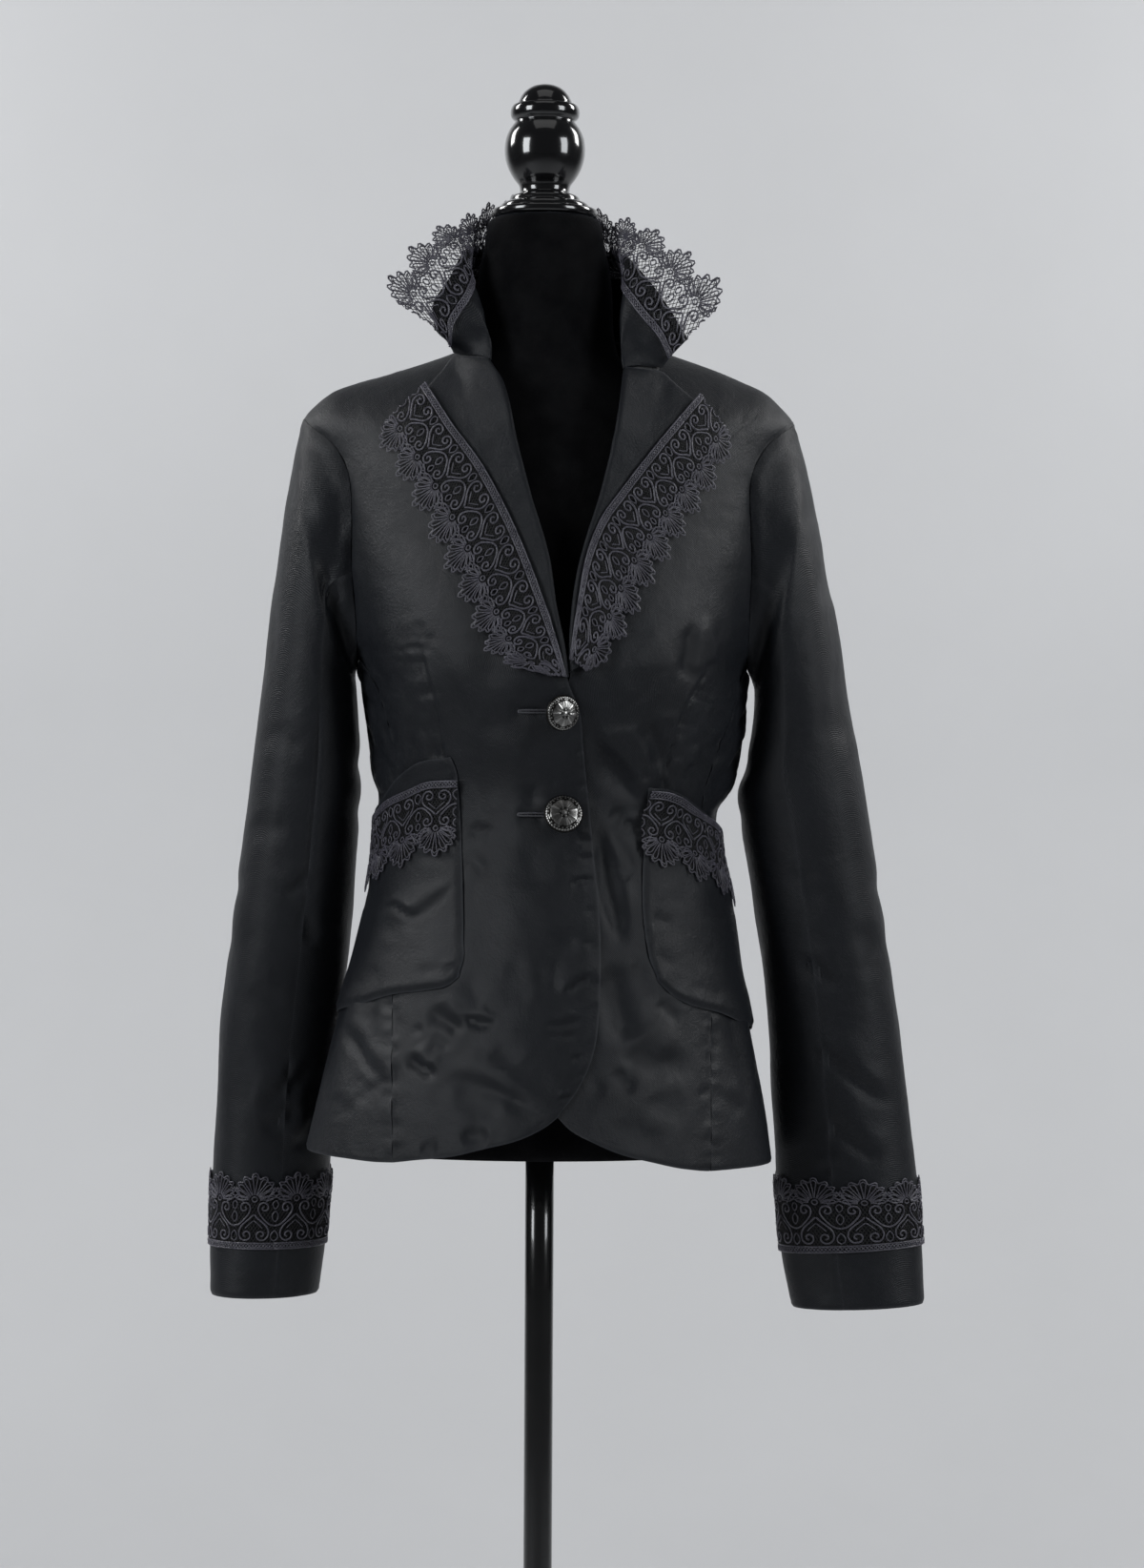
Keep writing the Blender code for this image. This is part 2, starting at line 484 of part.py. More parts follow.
def wall(name, grid, normals, thick, slot, lift=0.0, ring=False):
    """A cloth wall: a loft of rows of points, moved out by lift, and the same rows thick further in.
    A ring's rows close on themselves."""
    rows, cols = len(grid), len(grid[0])
    outer = [np.asarray(grid[j][i]) + np.asarray(normals[j][i]) * lift for j in range(rows) for i in range(cols)]
    inner = [np.asarray(grid[j][i]) + np.asarray(normals[j][i]) * (lift - thick) for j in range(rows) for i in range(cols)]
    n, faces = rows * cols, []
    span = cols if ring else cols - 1
    for j in range(rows - 1):
        for i in range(span):
            a, b = j * cols + i, j * cols + (i + 1) % cols
            c, d = b + cols, a + cols
            faces += [(a, b, c), (a, c, d), (n + a, n + c, n + b), (n + a, n + d, n + c)]
    edge = []
    for i in range(span):
        edge += [(i, (i + 1) % cols), ((rows - 1) * cols + (i + 1) % cols, (rows - 1) * cols + i)]
    if not ring:
        for j in range(rows - 1):
            edge += [((j + 1) * cols, j * cols), (j * cols + cols - 1, (j + 1) * cols + cols - 1)]
    for a, b in edge:
        faces += [(b, a, n + a), (b, n + a, n + b)]
    return closed_mesh(name, outer + inner, faces, slot)


def turned(name, outline, slot, steps=28):
    """An outline from the axis, down the outer side and back to the axis, turned about z."""
    mesh = bpy.data.meshes.new(name)
    mesh.from_pydata([(r * 0.001, 0.0, z * 0.001) for r, z in outline], [(i, i + 1) for i in range(len(outline) - 1)], [])
    ob = add(name, mesh, slot)
    screw = ob.modifiers.new("turn", "SCREW")
    screw.axis = "Z"
    screw.angle = math.tau
    screw.steps = screw.render_steps = steps
    screw.use_merge_vertices = True
    screw.merge_threshold = 0.00001
    return ob


# ---------------------------------------------------------------- body panels
LEVELS = (800, 815, 835, 865, 900, 940, 980, 1012, 1034, 1053, 1073, 1094, 1118, 1143)   # rows shared by the panels
SIDE_COLUMNS = (0, 0.25, 0.5, 0.75, 1)


def place(side, s, q, inner, outer, top):
    """(u, z) of a panel's point: s across from its inner to its outer seam, q its level."""
    z = min(q, SHOULDER_TIP[-1])
    for _ in range(14):
        u_in, u_out = inner(side, z), outer(side, z)
        u_in += side * degrees_for(u_in, z, SEAM * 0.8)
        u_out -= side * degrees_for(u_out, z, SEAM * 0.8)
        u = u_in + (u_out - u_in) * s
        x = skin(u, z)[0]
        if q < LOW:
            hem = hem_at(side, u, x)
            new = hem + (q - BOTTOM) / (LOW - BOTTOM) * (LOW - hem)
        else:
            new = top(side, s, q, x)
        z = z + (new - z) * 0.7
    return u, z


def shoulder_level(side, psi, back):
    """The level at which a panel that ends at the shoulder seam meets the armhole's point psi."""
    u, z = armhole(side, psi, back)
    if z <= HIGH or psi > 179.5:
        return min(z, HIGH) if psi <= 179.5 else TOP
    return HIGH + (z - HIGH) / (ridge(skin(u, z)[0]) - HIGH) * (TOP - HIGH)


def rows_to_shoulder(side, back):
    """(level, psi) of a panel's rows; psi is None below the armhole."""
    start = psi_at(side, SIDE_SEAM_TOP[side])
    rows = [(q, None) for q in LEVELS] + [(SIDE_SEAM_TOP[side], start)]
    return rows + [(shoulder_level(side, psi, back), psi) for psi in ARMHOLE_ROWS]


def front_inner(side, z):
    return angle_at(front_edge(side, z), z)


def top_shoulder(side, s, q, x):
    return q if q <= HIGH else HIGH + (q - HIGH) / (TOP - HIGH) * (ridge(x) - HIGH)


def lap(side, x, z):
    """The right front is lifted over the left one where they lap."""
    if side > 0 or z > 1205:
        return 0.0
    t = max(0.0, min(1.0, (x + 48) / 34)) * max(0.0, min(1.0, (1205 - z) / 28))
    return LAP * t * t * (3 - 2 * t)


def front_panel(side, name):
    grid, normals = [], []
    for q, psi in rows_to_shoulder(side, False):
        row, nrow = [], []
        for s in (0, 0.1, 0.22, 0.36, 0.5, 0.64, 0.78, 0.9, 1):
            u, z = place(side, s, q, front_inner, seam_front, top_shoulder)
            n = mitre(side, psi, False) if s == 1 and psi is not None else skin_normal(u, z)
            p = skin(u, z)
            row.append(p + n * lap(side, p[0], z))
            nrow.append(n)
        grid.append(row)
        normals.append(nrow)
    return wall(name, grid, normals, CLOTH, "cloth")


def side_columns(side):
    """The side panel's upper edge: (psi, back) of each of its columns on the armhole."""
    top = SIDE_SEAM_TOP[side]
    a, b = abs(seam_front(side, top)), abs(seam_back(side, top))
    start = psi_at(side, top)
    inner = [a + (b - a) * s for s in SIDE_COLUMNS[1:-1]]
    return [(start, False)] + [(psi_of_angle(u), u > 90) for u in inner] + [(start, True)]


def side_panel(side, name):
    edge = [armhole(side, psi, back)[1] - SEAM / 2 for psi, back in side_columns(side)]
    top_z = SIDE_SEAM_TOP[side]

    def top(side, s, q, x):
        if q <= 1118:
            return q
        return 1118 + (q - 1118) / (top_z - 1118) * (edge[SIDE_COLUMNS.index(s)] - 1118)

    grid, normals = [], []
    for q in LEVELS + (top_z,):
        row, nrow = [], []
        for s, (psi, back) in zip(SIDE_COLUMNS, side_columns(side)):
            u, z = place(side, s, q, lambda d, z: seam_front(d, min(z, SIDE_SEAM_TOP[d])),
                         lambda d, z: seam_back(d, min(z, SIDE_SEAM_TOP[d])), top)
            n = mitre(side, psi, back) if q == top_z else skin_normal(u, z)
            row.append(skin(u, z))
            nrow.append(n)
        grid.append(row)
        normals.append(nrow)
    return wall(name, grid, normals, CLOTH, "cloth")


def back_neck(x):
    d = abs(x - MIDDLE - 2)
    return 1402.0 - 4.0 * (d / 68) ** 2


def back_panel(side, name):
    def top(_, s, q, x):
        return q if q <= HIGH else HIGH + (q - HIGH) / (TOP - HIGH) * (min(ridge(x), back_neck(x)) - HIGH)

    grid, normals = [], []
    shared = [(q + p) / 2 for (q, _), (p, _) in zip(rows_to_shoulder(-1, True), rows_to_shoulder(1, True))]
    for (q_side, psi), q_middle in zip(rows_to_shoulder(side, True), shared):
        row, nrow = [], []
        for s in (0, 0.17, 0.33, 0.5, 0.67, 0.84, 1):
            # from the centre-back seam, at 180 degrees, forward to the side
            q = q_middle + (q_side - q_middle) * s
            u, z = place(-side, s, q, lambda d, z: side * 180.0, lambda d, z: seam_back(-d, z), top)
            n = mitre(side, psi, True) if s == 1 and psi is not None else skin_normal(u, z)
            row.append(skin(u, z))
            nrow.append(n)
        grid.append(row)
        normals.append(nrow)
    return wall(name, grid, normals, CLOTH, "cloth")


# ---------------------------------------------------------------- sleeves
def sleeve_ring(side):
    """Angles around the sleeve, from the elbow seam over the top and the front to the elbow seam again;
    they meet the body's own points on the armhole. Also the place of the front seam in the list."""
    start = psi_at(side, SIDE_SEAM_TOP[side])
    front = [180 - psi for psi in reversed(ARMHOLE_ROWS)] + [180 - start]
    under = [(180 + psi if back else 180 - psi) for psi, back in side_columns(side)[1:-1]]
    rear = [180 + start] + [180 + psi for psi in ARMHOLE_ROWS[:-1]]
    elbow = rear.index(180 + ELBOW_SEAM)
    ring = [a - 360 for a in rear[elbow:]] + front + under + rear[:elbow + 1]
    return ring, ring.index(180 - FRONT_ARM_SEAM)


def sleeve_piece(side, name, angles):
    grid, normals = [], []
    for k in (0, 1, 2, 3.2, 4.4, 6, 7, 8, 9, 10.3, 12, 13.5, 15):
        row, nrow = [], []
        for i, phi in enumerate(angles):
            p = sleeve_point(side, k, phi)
            if i in (0, len(angles) - 1):
                step = 1 if i == 0 else -1
                d = sleeve_point(side, k, phi + step) - p
                p = p + d / np.linalg.norm(d) * SEAM * 0.85
            row.append(p)
            if k == 0:
                nrow.append(mitre(side, 180 - abs((phi + 180) % 360 - 180), math.sin(math.radians(phi)) < 0))
            else:
                nrow.append(sleeve_normal(side, k, phi))
        grid.append(row)
        normals.append(nrow)
    return wall(name, grid, normals, CLOTH, "cloth")


# ---------------------------------------------------------------- collar
def collar_foot(side, w):
    """The collar's foot: along the neckline, then out along the gorge."""
    above = np.array((0.0, 0.0, 2.0))
    if w <= FOOT_SHOULDER:
        x = 2 + MIDDLE + (NECK_POINT[side][1] - MIDDLE - 2) * math.sin(math.radians(90 * w / FOOT_SHOULDER))
        z = min(back_neck(x), ridge(x))
        a, c = wide(z)
        return skin(180 - math.degrees(math.asin((x - c) / a)), z) + above
    if w <= FOOT_TURN:
        t = (w - FOOT_SHOULDER) / (FOOT_TURN - FOOT_SHOULDER)
        z = NECK_POINT[side][0] + (GORGE_Z[side] + 0.01 - NECK_POINT[side][0]) * t
        return skin(angle_at(front_edge(side, z), z), z) + above
    t = (w - FOOT_TURN) / (COLLAR_END[side] - FOOT_TURN)
    inner, outer = np.array((ROLL[side].col["x"][-1], ROLL[side].x[-1] + 2.0)), np.array(NOTCH[side]) + (0, 1.5)
    p = inner + (outer - inner) * t
    point, n = on_front(side, p[0], p[1], LIE + CLOTH + 1.2)
    first = collar_foot(side, FOOT_TURN)
    k = min(1.0, t / 0.3)
    return first + (point - first) * k if k < 1 else point


def collar_edge(table, side, w):
    return np.array([table[side].at(c, w) for c in "xyz"])


def collar_point(side, w, v):
    """v 0 at the foot, 0.5 on the middle line, 1 at the upper edge of the cloth, 2 at the lace's points."""
    top = collar_edge(COLLAR_TOP, side, w)
    if v > 1:
        return top + (collar_edge(COLLAR_TIPS, side, w) - top) * (v - 1)
    foot, mid = collar_foot(side, w), collar_edge(COLLAR_MID, side, w)
    return foot * (1 - v) * (1 - 2 * v) + mid * 4 * v * (1 - v) + top * v * (2 * v - 1)


def collar_normal(side, w, v):
    """Away from the neck."""
    e = 0.06
    n = np.cross(collar_point(side, min(COLLAR_END[side], w + e), v) - collar_point(side, max(0.0, w - e), v),
                 collar_point(side, w, min(2.0, v + e)) - collar_point(side, w, max(0.0, v - e)))
    n = n / np.linalg.norm(n) * (1 if side < 0 else -1)
    if w < e:
        n[0] = 0.0
        n /= np.linalg.norm(n)
    return n


def around_collar(steps):
    """(side, w) from the +X front end over the back to the -X one."""
    return ([(1, w) for w in reversed(steps) if w < COLLAR_END[1]] + [(-1, w) for w in steps[1:] if w < COLLAR_END[-1]])


def collar(name):
    steps = (0, 0.5, 0.9, 1.4, 1.9, 2.4, 2.9, 3.4, 3.9, 4.4, 4.8, 5.2, 5.6, 6.0, 6.4, 6.7)
    path = [(1, COLLAR_END[1])] + around_collar(steps) + [(-1, COLLAR_END[-1])]
    heights = (0, 0.25, 0.5, 0.75, 1)
    grid = [[collar_point(s, w, v) for s, w in path] for v in heights]
    normals = [[collar_normal(s, w, v) for s, w in path] for v in heights]
    return wall(name, grid, normals, COLLAR_WALL, "cloth", lift=COLLAR_WALL / 2)


def lace_collar(name):
    """On the side towards the neck. A point stands at every w that ends in .4, a valley half-way between two."""
    steps = (0, 0.4, 0.9, 1.4, 1.9, 2.4, 2.9, 3.4, 3.9, 4.4, 4.9, 5.4, 5.9, 6.4, 6.89)
    path = [(1, COLLAR_END[1])] + around_collar(steps)
    path[-1] = (-1, COLLAR_END[-1])
    grid, normals = [[], [], [], []], [[], [], [], []]
    for s, w in path:
        height = np.linalg.norm(collar_point(s, w, 1) - collar_point(s, w, 0.5)) * 2
        point = abs(w % 1 - 0.4) < 0.01 or w == COLLAR_END[s]
        for k, v in enumerate((1 - LACE_ON_EDGE / max(height, 30.0), 1.0, 1.35, 2.0 if point else 1.68)):
            n = -collar_normal(s, w, v)
            grid[k].append(collar_point(s, w, v) + n * 0.9 * min(1.0, max(0.0, (w - 4.5) / 1.5)))
            normals[k].append(n)
    return wall(name, grid, normals, LACE, "lace", lift=COLLAR_WALL / 2 + LIE + LACE + 2.9)


# ---------------------------------------------------------------- pieces that lie on the fronts
def lapel_rise(s):
    """Height of the lapel's upper face over the front: it stands up a little at the roll."""
    return LIE + CLOTH + 0.2 + 2.5 * (1 - s) ** 2


def on_front(side, X, Z, rise):
    u, z = sight(X, Z, rise)
    n = skin_normal(u, z)
    p = skin(u, z)
    return p + n * (rise + lap(side, p[0], z)), n


def lapel_line(side, t, what):
    return np.array((LAPEL[side].at(what + "_x", t), LAPEL[side].at(what + "_z", t)))


def roll_line(side, t):
    """Drawn point of the roll edge opposite the lapel's outer edge."""
    R = ROLL[side]
    z = R.x[-1] + (R.x[0] + 6 - R.x[-1]) * t
    return np.array((R.at("x", z) + side * 0.8, z))


def lapel(side, name):
    grid, normals = [], []
    g = np.array(NOTCH[side]) - (0, 1.5)                 # the upper edge runs out along the gorge to the notch
    for t in (0, 0.035, 0.07, 0.16, 0.28, 0.4, 0.52, 0.64, 0.76, 0.88, 1.0):
        a, b = roll_line(side, t), lapel_line(side, t, "edge")
        row, nrow = [], []
        for s in (0, 0.12, 0.27, 0.42, 0.6, 0.8, 1):
            p = a + (b - a) * s
            corner = a + (g - a) * s / 0.42 if s < 0.42 else g + (b - g) * (s - 0.42) / 0.58
            p = p + (corner - p) * max(0.0, 1 - t / 0.07)
            point, n = on_front(side, p[0], p[1], lapel_rise(s) + 0.6 * max(0.0, 1 - t / 0.2))
            row.append(point)
            nrow.append(n)
        grid.append(row)
        normals.append(nrow)
    return wall(name, grid, normals, CLOTH, "cloth")


def lace_lapel(side, name):
    repeats = 9
    rise = LIE + CLOTH + 0.2 + LIE + LACE
    rows, nrows = [[], [], [], []], [[], [], [], []]
    for i in range(2 * repeats + 1):
        t = i / (2 * repeats)
        a, b = lapel_line(side, t, "lace"), lapel_line(side, t, "tip")
        for k, f in enumerate((0.0, 0.33, 0.66, 1.0 if i % 2 or i in (0, 2 * repeats) else 0.85)):
            p = a + (b - a) * f
            point, n = on_front(side, p[0], p[1], rise + 1.2 * (1 - f) + 0.6 * max(0.0, 1 - t / 0.2))
            rows[k].append(point)
            nrows[k].append(n)
    return wall(name, rows, nrows, LACE, "lace")


# ---------------------------------------------------------------- pockets
def drawn_z(table, side, u, z0):
    """Real z at the skin angle u of an edge drawn as z over x; behind the outline it runs on level."""
    z = z0
    for _ in range(12):
        p = skin(side * min(abs(u), 70.0), z)
        k = (p[1] - EYE[1]) / -EYE[1]
        X = EYE[0] + (p[0] - EYE[0]) / k
        Z = table[side].at("z", X)
        z = EYE[2] + (Z - EYE[2]) * k
    return z


def pocket_drop(side, u, low):
    """How the upper edges go on falling, and the lower one, beyond the front."""
    over = max(0.0, abs(u) - 70.0)
    return over * (-0.35 if low else -0.6)


def pocket_inner(side, z):
    T = POCKET_EDGE[side]
    zz = z
    Z = EYE[2] + (zz - EYE[2]) * 1.045
    u, _ = sight(T.at("x", Z), Z)
    return u


def pocket(side, name):
    grid, normals = [], []
    for t in (0, 0.06, 0.15, 0.3, 0.45, 0.6, 0.75, 0.88, 1.0):
        row, nrow = [], []
        for s in (0, 0.1, 0.22, 0.38, 0.55, 0.72, 0.87, 1.0):
            z = 1000.0
            for _ in range(10):
                u_in = pocket_inner(side, z)
                u = u_in + (side * POCKET_BACK[side] - u_in) * s
                low = drawn_z(POCKET_LOW, side, u, 925) + pocket_drop(side, u, True)
                high = drawn_z(POCKET_HIGH, side, u, 1070) + pocket_drop(side, u, False)
                z = low + (high - low) * t
            row.append(skin(u, z))
            nrow.append(skin_normal(u, z))
        grid.append(row)
        normals.append(nrow)
    return wall(name, grid, normals, CLOTH, "cloth", lift=POCKET_LIE + CLOTH)


def lace_pocket(side, name):
    repeats = 4
    rows, nrows = [[], [], [], []], [[], [], [], []]
    for i in range(2 * repeats + 1):
        u0 = pocket_inner(side, 1070.0)
        u = u0 + (side * POCKET_LACE_BACK[side] - u0) * i / (2 * repeats)
        top = drawn_z(POCKET_LACE, side, u, 1070) + pocket_drop(side, u, False) - 1.0
        for k, f in enumerate((0.0, 0.33, 0.66, 1.0 if i % 2 else 0.85)):
            z = top - (LACE_WIDE - 1.5) * f
            n = skin_normal(u, z)
            rows[k].append(skin(u, z) + n * (POCKET_LIE + CLOTH + LIE + LACE + 1.5 * f * math.cos(math.radians(min(90.0, abs(u))))))
            nrows[k].append(n)
    return wall(name, rows, nrows, LACE, "lace")


def lace_cuff(side, name):
    """The border runs round the cuff with its points up."""
    repeats = 9
    rows, nrows = [[], [], []], [[], [], []]
    for i in range(2 * repeats):
        phi = 360.0 * i / (2 * repeats)
        for r, f in enumerate((0.0, 0.5, 1.0 if i % 2 else 0.85)):
            k = 14.0 - 1.1 * f                # section 14 is the border's lower edge, about 13 its points
            n = sleeve_normal(side, k, phi)
            rows[r].append(sleeve_point(side, k, phi) + n * (LIE + 0.6 + LACE))
            nrows[r].append(n)
    return wall(name, rows, nrows, LACE, "lace", ring=True)


# ---------------------------------------------------------------- buttons, form, stand
def button(name, X, Z, radius):
    outline = [(0.0, 6.4)]
    outline += [(radius * math.sin(a), 1.6 + 4.8 * math.cos(a) ** 0.9) for a in (0.35, 0.7, 1.0, 1.25)]
    outline += [(radius, 1.8), (radius, 1.0), (radius - 1.2, 0.4), (3.2, 0.4), (3.0, 0.0), (0.0, 0.0)]
    ob = turned(name, outline, "button", 20)
    point, n = on_front(-1, X, Z, 1.2)
    ob.location = tuple(point * 0.001)
    ob.rotation_mode = "QUATERNION"
    ob.rotation_quaternion = Vector((0, 0, 1)).rotation_difference(Vector(tuple(n)))
    return ob


def form_torso(name):
    steps = 28
    points, faces = [], []
    levels = FORM.x
    rings = []
    for a, b in zip(levels, levels[1:]):
        rings += [a] + ([(a + b) / 2] if b - a > 45 else [])
    rings.append(levels[-1])
    for z in rings:
        for i in range(steps):
            t = math.tau * i / steps
            reach = FORM.at("front", z) if math.cos(t) > 0 else FORM.at("back", z)
            points.append((FORM.at("wide", z) * math.sin(t), FORM.at("mid", z) - reach * math.cos(t), z))
    for j in range(len(rings) - 1):
        for i in range(steps):
            a, b = j * steps + i, j * steps + (i + 1) % steps
            faces.append((a, b, b + steps, a + steps))
    last = (len(rings) - 1) * steps
    faces += [tuple(reversed(range(steps))), tuple(last + i for i in range(steps))]
    return closed_mesh(name, points, faces, "velvet")


def pole(name):
    """A straight tube from the foot to just under the form."""
    low, high = 30.3, FORM_BOTTOM - 0.3
    outline = ((0.0, high), (POLE_R - 0.5, high), (POLE_R, high - 0.5), (POLE_R, low), (0.0, low))
    return turned(name, outline, "pole", 24)


def main():
    clear_scene()
    for side, who in ((-1, "right"), (1, "left")):
        front_panel(side, f"front_{who}")
        side_panel(side, f"side_{who}")
        back_panel(side, f"back_{who}")
        ring, seam = sleeve_ring(side)
        sleeve_piece(side, f"sleeve_{who}_top", ring[:seam + 1])
        sleeve_piece(side, f"sleeve_{who}_under", ring[seam:])
        lapel(side, f"lapel_{who}")
        pocket(side, f"pocket_{who}")
        lace_lapel(side, f"lace_lapel_{who}")
        lace_pocket(side, f"lace_pocket_{who}")
        lace_cuff(side, f"lace_cuff_{who}")
    collar("collar")
    lace_collar("lace_collar")
    for name, X, Z, radius in BUTTONS:
        button(name, X, Z, radius)
    form_torso("form_torso")
    turned("form_cap", CAP, "lacquer", 28)
    pole("form_pole")
    turned("form_base", FOOT, "base", 40)


main()
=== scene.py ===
"""Looks of the lace-trimmed blazer on its dress form.

Everything is worked out in millimetres from the same named sizes and short tables that shape the solids,
on finer grids, and then gets its folds, seams, puckers and lace. Front is -Y, up is +Z. "Right" and
"left" are the wearer's; the wearer's right side lies at -X.
"""
import math

import bpy
import bmesh
import numpy as np
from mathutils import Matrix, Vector


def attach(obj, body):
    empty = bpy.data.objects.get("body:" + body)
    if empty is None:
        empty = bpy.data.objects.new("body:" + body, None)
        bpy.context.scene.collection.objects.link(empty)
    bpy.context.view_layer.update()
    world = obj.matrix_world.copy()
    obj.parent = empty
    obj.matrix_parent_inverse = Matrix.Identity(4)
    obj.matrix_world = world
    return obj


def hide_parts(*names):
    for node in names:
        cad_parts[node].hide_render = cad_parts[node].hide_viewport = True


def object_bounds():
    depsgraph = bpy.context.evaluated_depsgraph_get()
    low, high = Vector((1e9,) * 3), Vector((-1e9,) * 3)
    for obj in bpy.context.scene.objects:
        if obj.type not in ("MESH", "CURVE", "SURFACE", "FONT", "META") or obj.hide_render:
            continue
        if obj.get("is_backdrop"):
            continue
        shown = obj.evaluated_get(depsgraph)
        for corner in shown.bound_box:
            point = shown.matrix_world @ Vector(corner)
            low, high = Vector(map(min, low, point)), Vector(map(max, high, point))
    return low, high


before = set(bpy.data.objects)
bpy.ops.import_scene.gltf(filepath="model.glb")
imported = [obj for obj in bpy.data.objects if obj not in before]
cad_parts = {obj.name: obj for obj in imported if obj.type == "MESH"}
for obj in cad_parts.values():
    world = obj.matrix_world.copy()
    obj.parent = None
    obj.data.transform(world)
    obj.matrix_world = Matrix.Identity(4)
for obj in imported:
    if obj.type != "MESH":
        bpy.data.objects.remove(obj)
CAD_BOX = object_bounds()

# ---------------------------------------------------------------- named sizes, mm
CLOTH = 1.2            # cotton sateen wall, lined
COLLAR_WALL = 2.0      # two layers and interfacing
LACE = 1.2             # corded guipure
SEAM = 0.3             # between two pieces at a seam
LIE = 1.3              # clearance under a piece that lies on another
POCKET_LIE = 2.0       # under the pockets, which bridge the hollow of the waist
LAP = 2.2              # the right front lies this far above the left one where they lap
LACE_WIDE = 57.0       # whole width of the border
LACE_REPEAT = 27.0     # one palmette
LACE_ON_EDGE = 20.0    # width of the border that is sewn onto the cloth
EYE = (22.3, -2600.0, 1078.2)

BOTTOM, LOW, HIGH, TOP = 800.0, 900.0, 1250.0, 1400.0   # panel levels: hem, straight rows, shoulder seam
MIDDLE = 5.0           # x of the garment's middle at the shoulders
REACH = 90.0           # how far below the shoulder ridge the skin starts to turn over
FRONT_LINE = 13.5      # x of the centre front, through the buttons

FORM_BOTTOM = 812.0
POLE_R = 10.5
BASE_R = 160.0
BASE_H = 9.0


# ---------------------------------------------------------------- short tables, smooth between rows
FINE = 1200


class Table:
    """Rows with named columns, read as smooth curves over the first column."""

    def __init__(self, names, *rows):
        rows = sorted(rows)
        self.names = names.split()
        self.col = {n: [float(r[i]) for r in rows] for i, n in enumerate(self.names)}
        self.x = self.col[self.names[0]]
        self.slopes = {n: self._slopes(self.col[n]) for n in self.names[1:]}
        self.fine = {}

    def _slopes(self, y):
        x, n = self.x, len(self.x)
        d = [(y[i + 1] - y[i]) / (x[i + 1] - x[i]) for i in range(n - 1)]
        m = [d[0]] + [0.0] * (n - 2) + [d[-1]]
        for i in range(1, n - 1):
            if d[i - 1] * d[i] > 0:
                w1, w2 = 2 * (x[i + 1] - x[i]) + x[i] - x[i - 1], x[i + 1] - x[i] + 2 * (x[i] - x[i - 1])
                m[i] = (w1 + w2) / (w1 / d[i - 1] + w2 / d[i])
        return m

    def at(self, name, v):
        if name not in self.fine:
            a, b = self.x[0], self.x[-1]
            self.fine[name] = [self.exact(name, a + (b - a) * i / FINE) for i in range(FINE + 1)]
        a, b = self.x[0], self.x[-1]
        t = (v - a) / (b - a) * FINE
        if t <= 0:
            return self.fine[name][0]
        if t >= FINE:
            return self.fine[name][FINE]
        i = int(t)
        row = self.fine[name]
        return row[i] + (row[i + 1] - row[i]) * (t - i)

    def exact(self, name, v):
        x, y, m = self.x, self.col[name], self.slopes[name]
        if v <= x[0]:
            return y[0]
        if v >= x[-1]:
            return y[-1]
        i = max(k for k in range(len(x) - 1) if x[k] <= v)
        h = x[i + 1] - x[i]
        t = (v - x[i]) / h
        return ((1 + 2 * t) * (1 - t) ** 2 * y[i] + t * (1 - t) ** 2 * h * m[i]
                + t * t * (3 - 2 * t) * y[i + 1] + t * t * (t - 1) * h * m[i + 1])


# Rings of the garment: how far it reaches to each side of the pole's axis, and in front of and behind
# its widest line, which lies at y = mid.
BODY = Table("z left right front back mid",
             (800, 173, 170, 117, 128, -14), (843, 163.5, 164.5, 116, 126, -12), (880, 155, 158, 114, 123, -10),
             (916, 146, 151, 111, 118, -8), (944, 137.5, 144.5, 109, 112, -6), (972, 130.5, 140.5, 106, 106, -4),
             (1002, 124, 135.5, 103, 99, -2), (1030, 120.5, 129.5, 100, 93, 0), (1053, 119.5, 128, 99, 90, 0),
             (1075, 122.5, 139.5, 101, 92, 0), (1100, 126, 146, 108, 96, 0), (1128, 130, 150, 116, 100, 0),
             (1160, 135, 152.5, 122, 104, 0), (1185, 145, 162, 121, 107, 0), (1215, 153, 168, 118, 109, 0),
             (1245, 159, 173, 113, 110, 0), (1296, 164.5, 175.5, 104, 109, 0), (1320, 175, 185, 99, 106, 0),
             (1345, 200, 210, 93, 100, 0), (1385, 204, 220, 80, 88, 0), (1430, 205, 221, 66, 74, 0))
# Height of the shoulder line at a distance d from the middle, on the -X and the +X side.
RIDGE = Table("d left right",
              (0, 1428, 1430), (30, 1417, 1420), (48, 1407, 1411), (65, 1397, 1402), (90, 1387.5, 1393),
              (120, 1378, 1382.5), (140, 1372, 1374), (155, 1367, 1367), (165, 1361, 1359), (173, 1354, 1350.5),
              (181, 1345, 1341), (200, 1318, 1312))
# Armhole: angle up from the underarm (0) to the shoulder tip (180); the skin's angle from the front
# centre, and from the back centre, at which the seam lies.
ARMHOLE = Table("psi front back",
                (0, 90, 90), (20, 78, 80), (33, 71, 74), (50, 65.5, 69), (72, 62, 65), (96, 59, 62.5),
                (120, 58, 61.5), (143, 59.5, 61), (180, 62, 62))
UNDERARM = {-1: 1163.0, 1: 1158.0}
SHOULDER_TIP = {-1: 1345.0, 1: 1341.0}
BUST = {"x": 80.0, "z": 1168.0, "wide": 38.0, "high": 42.0, "out": 8.0}

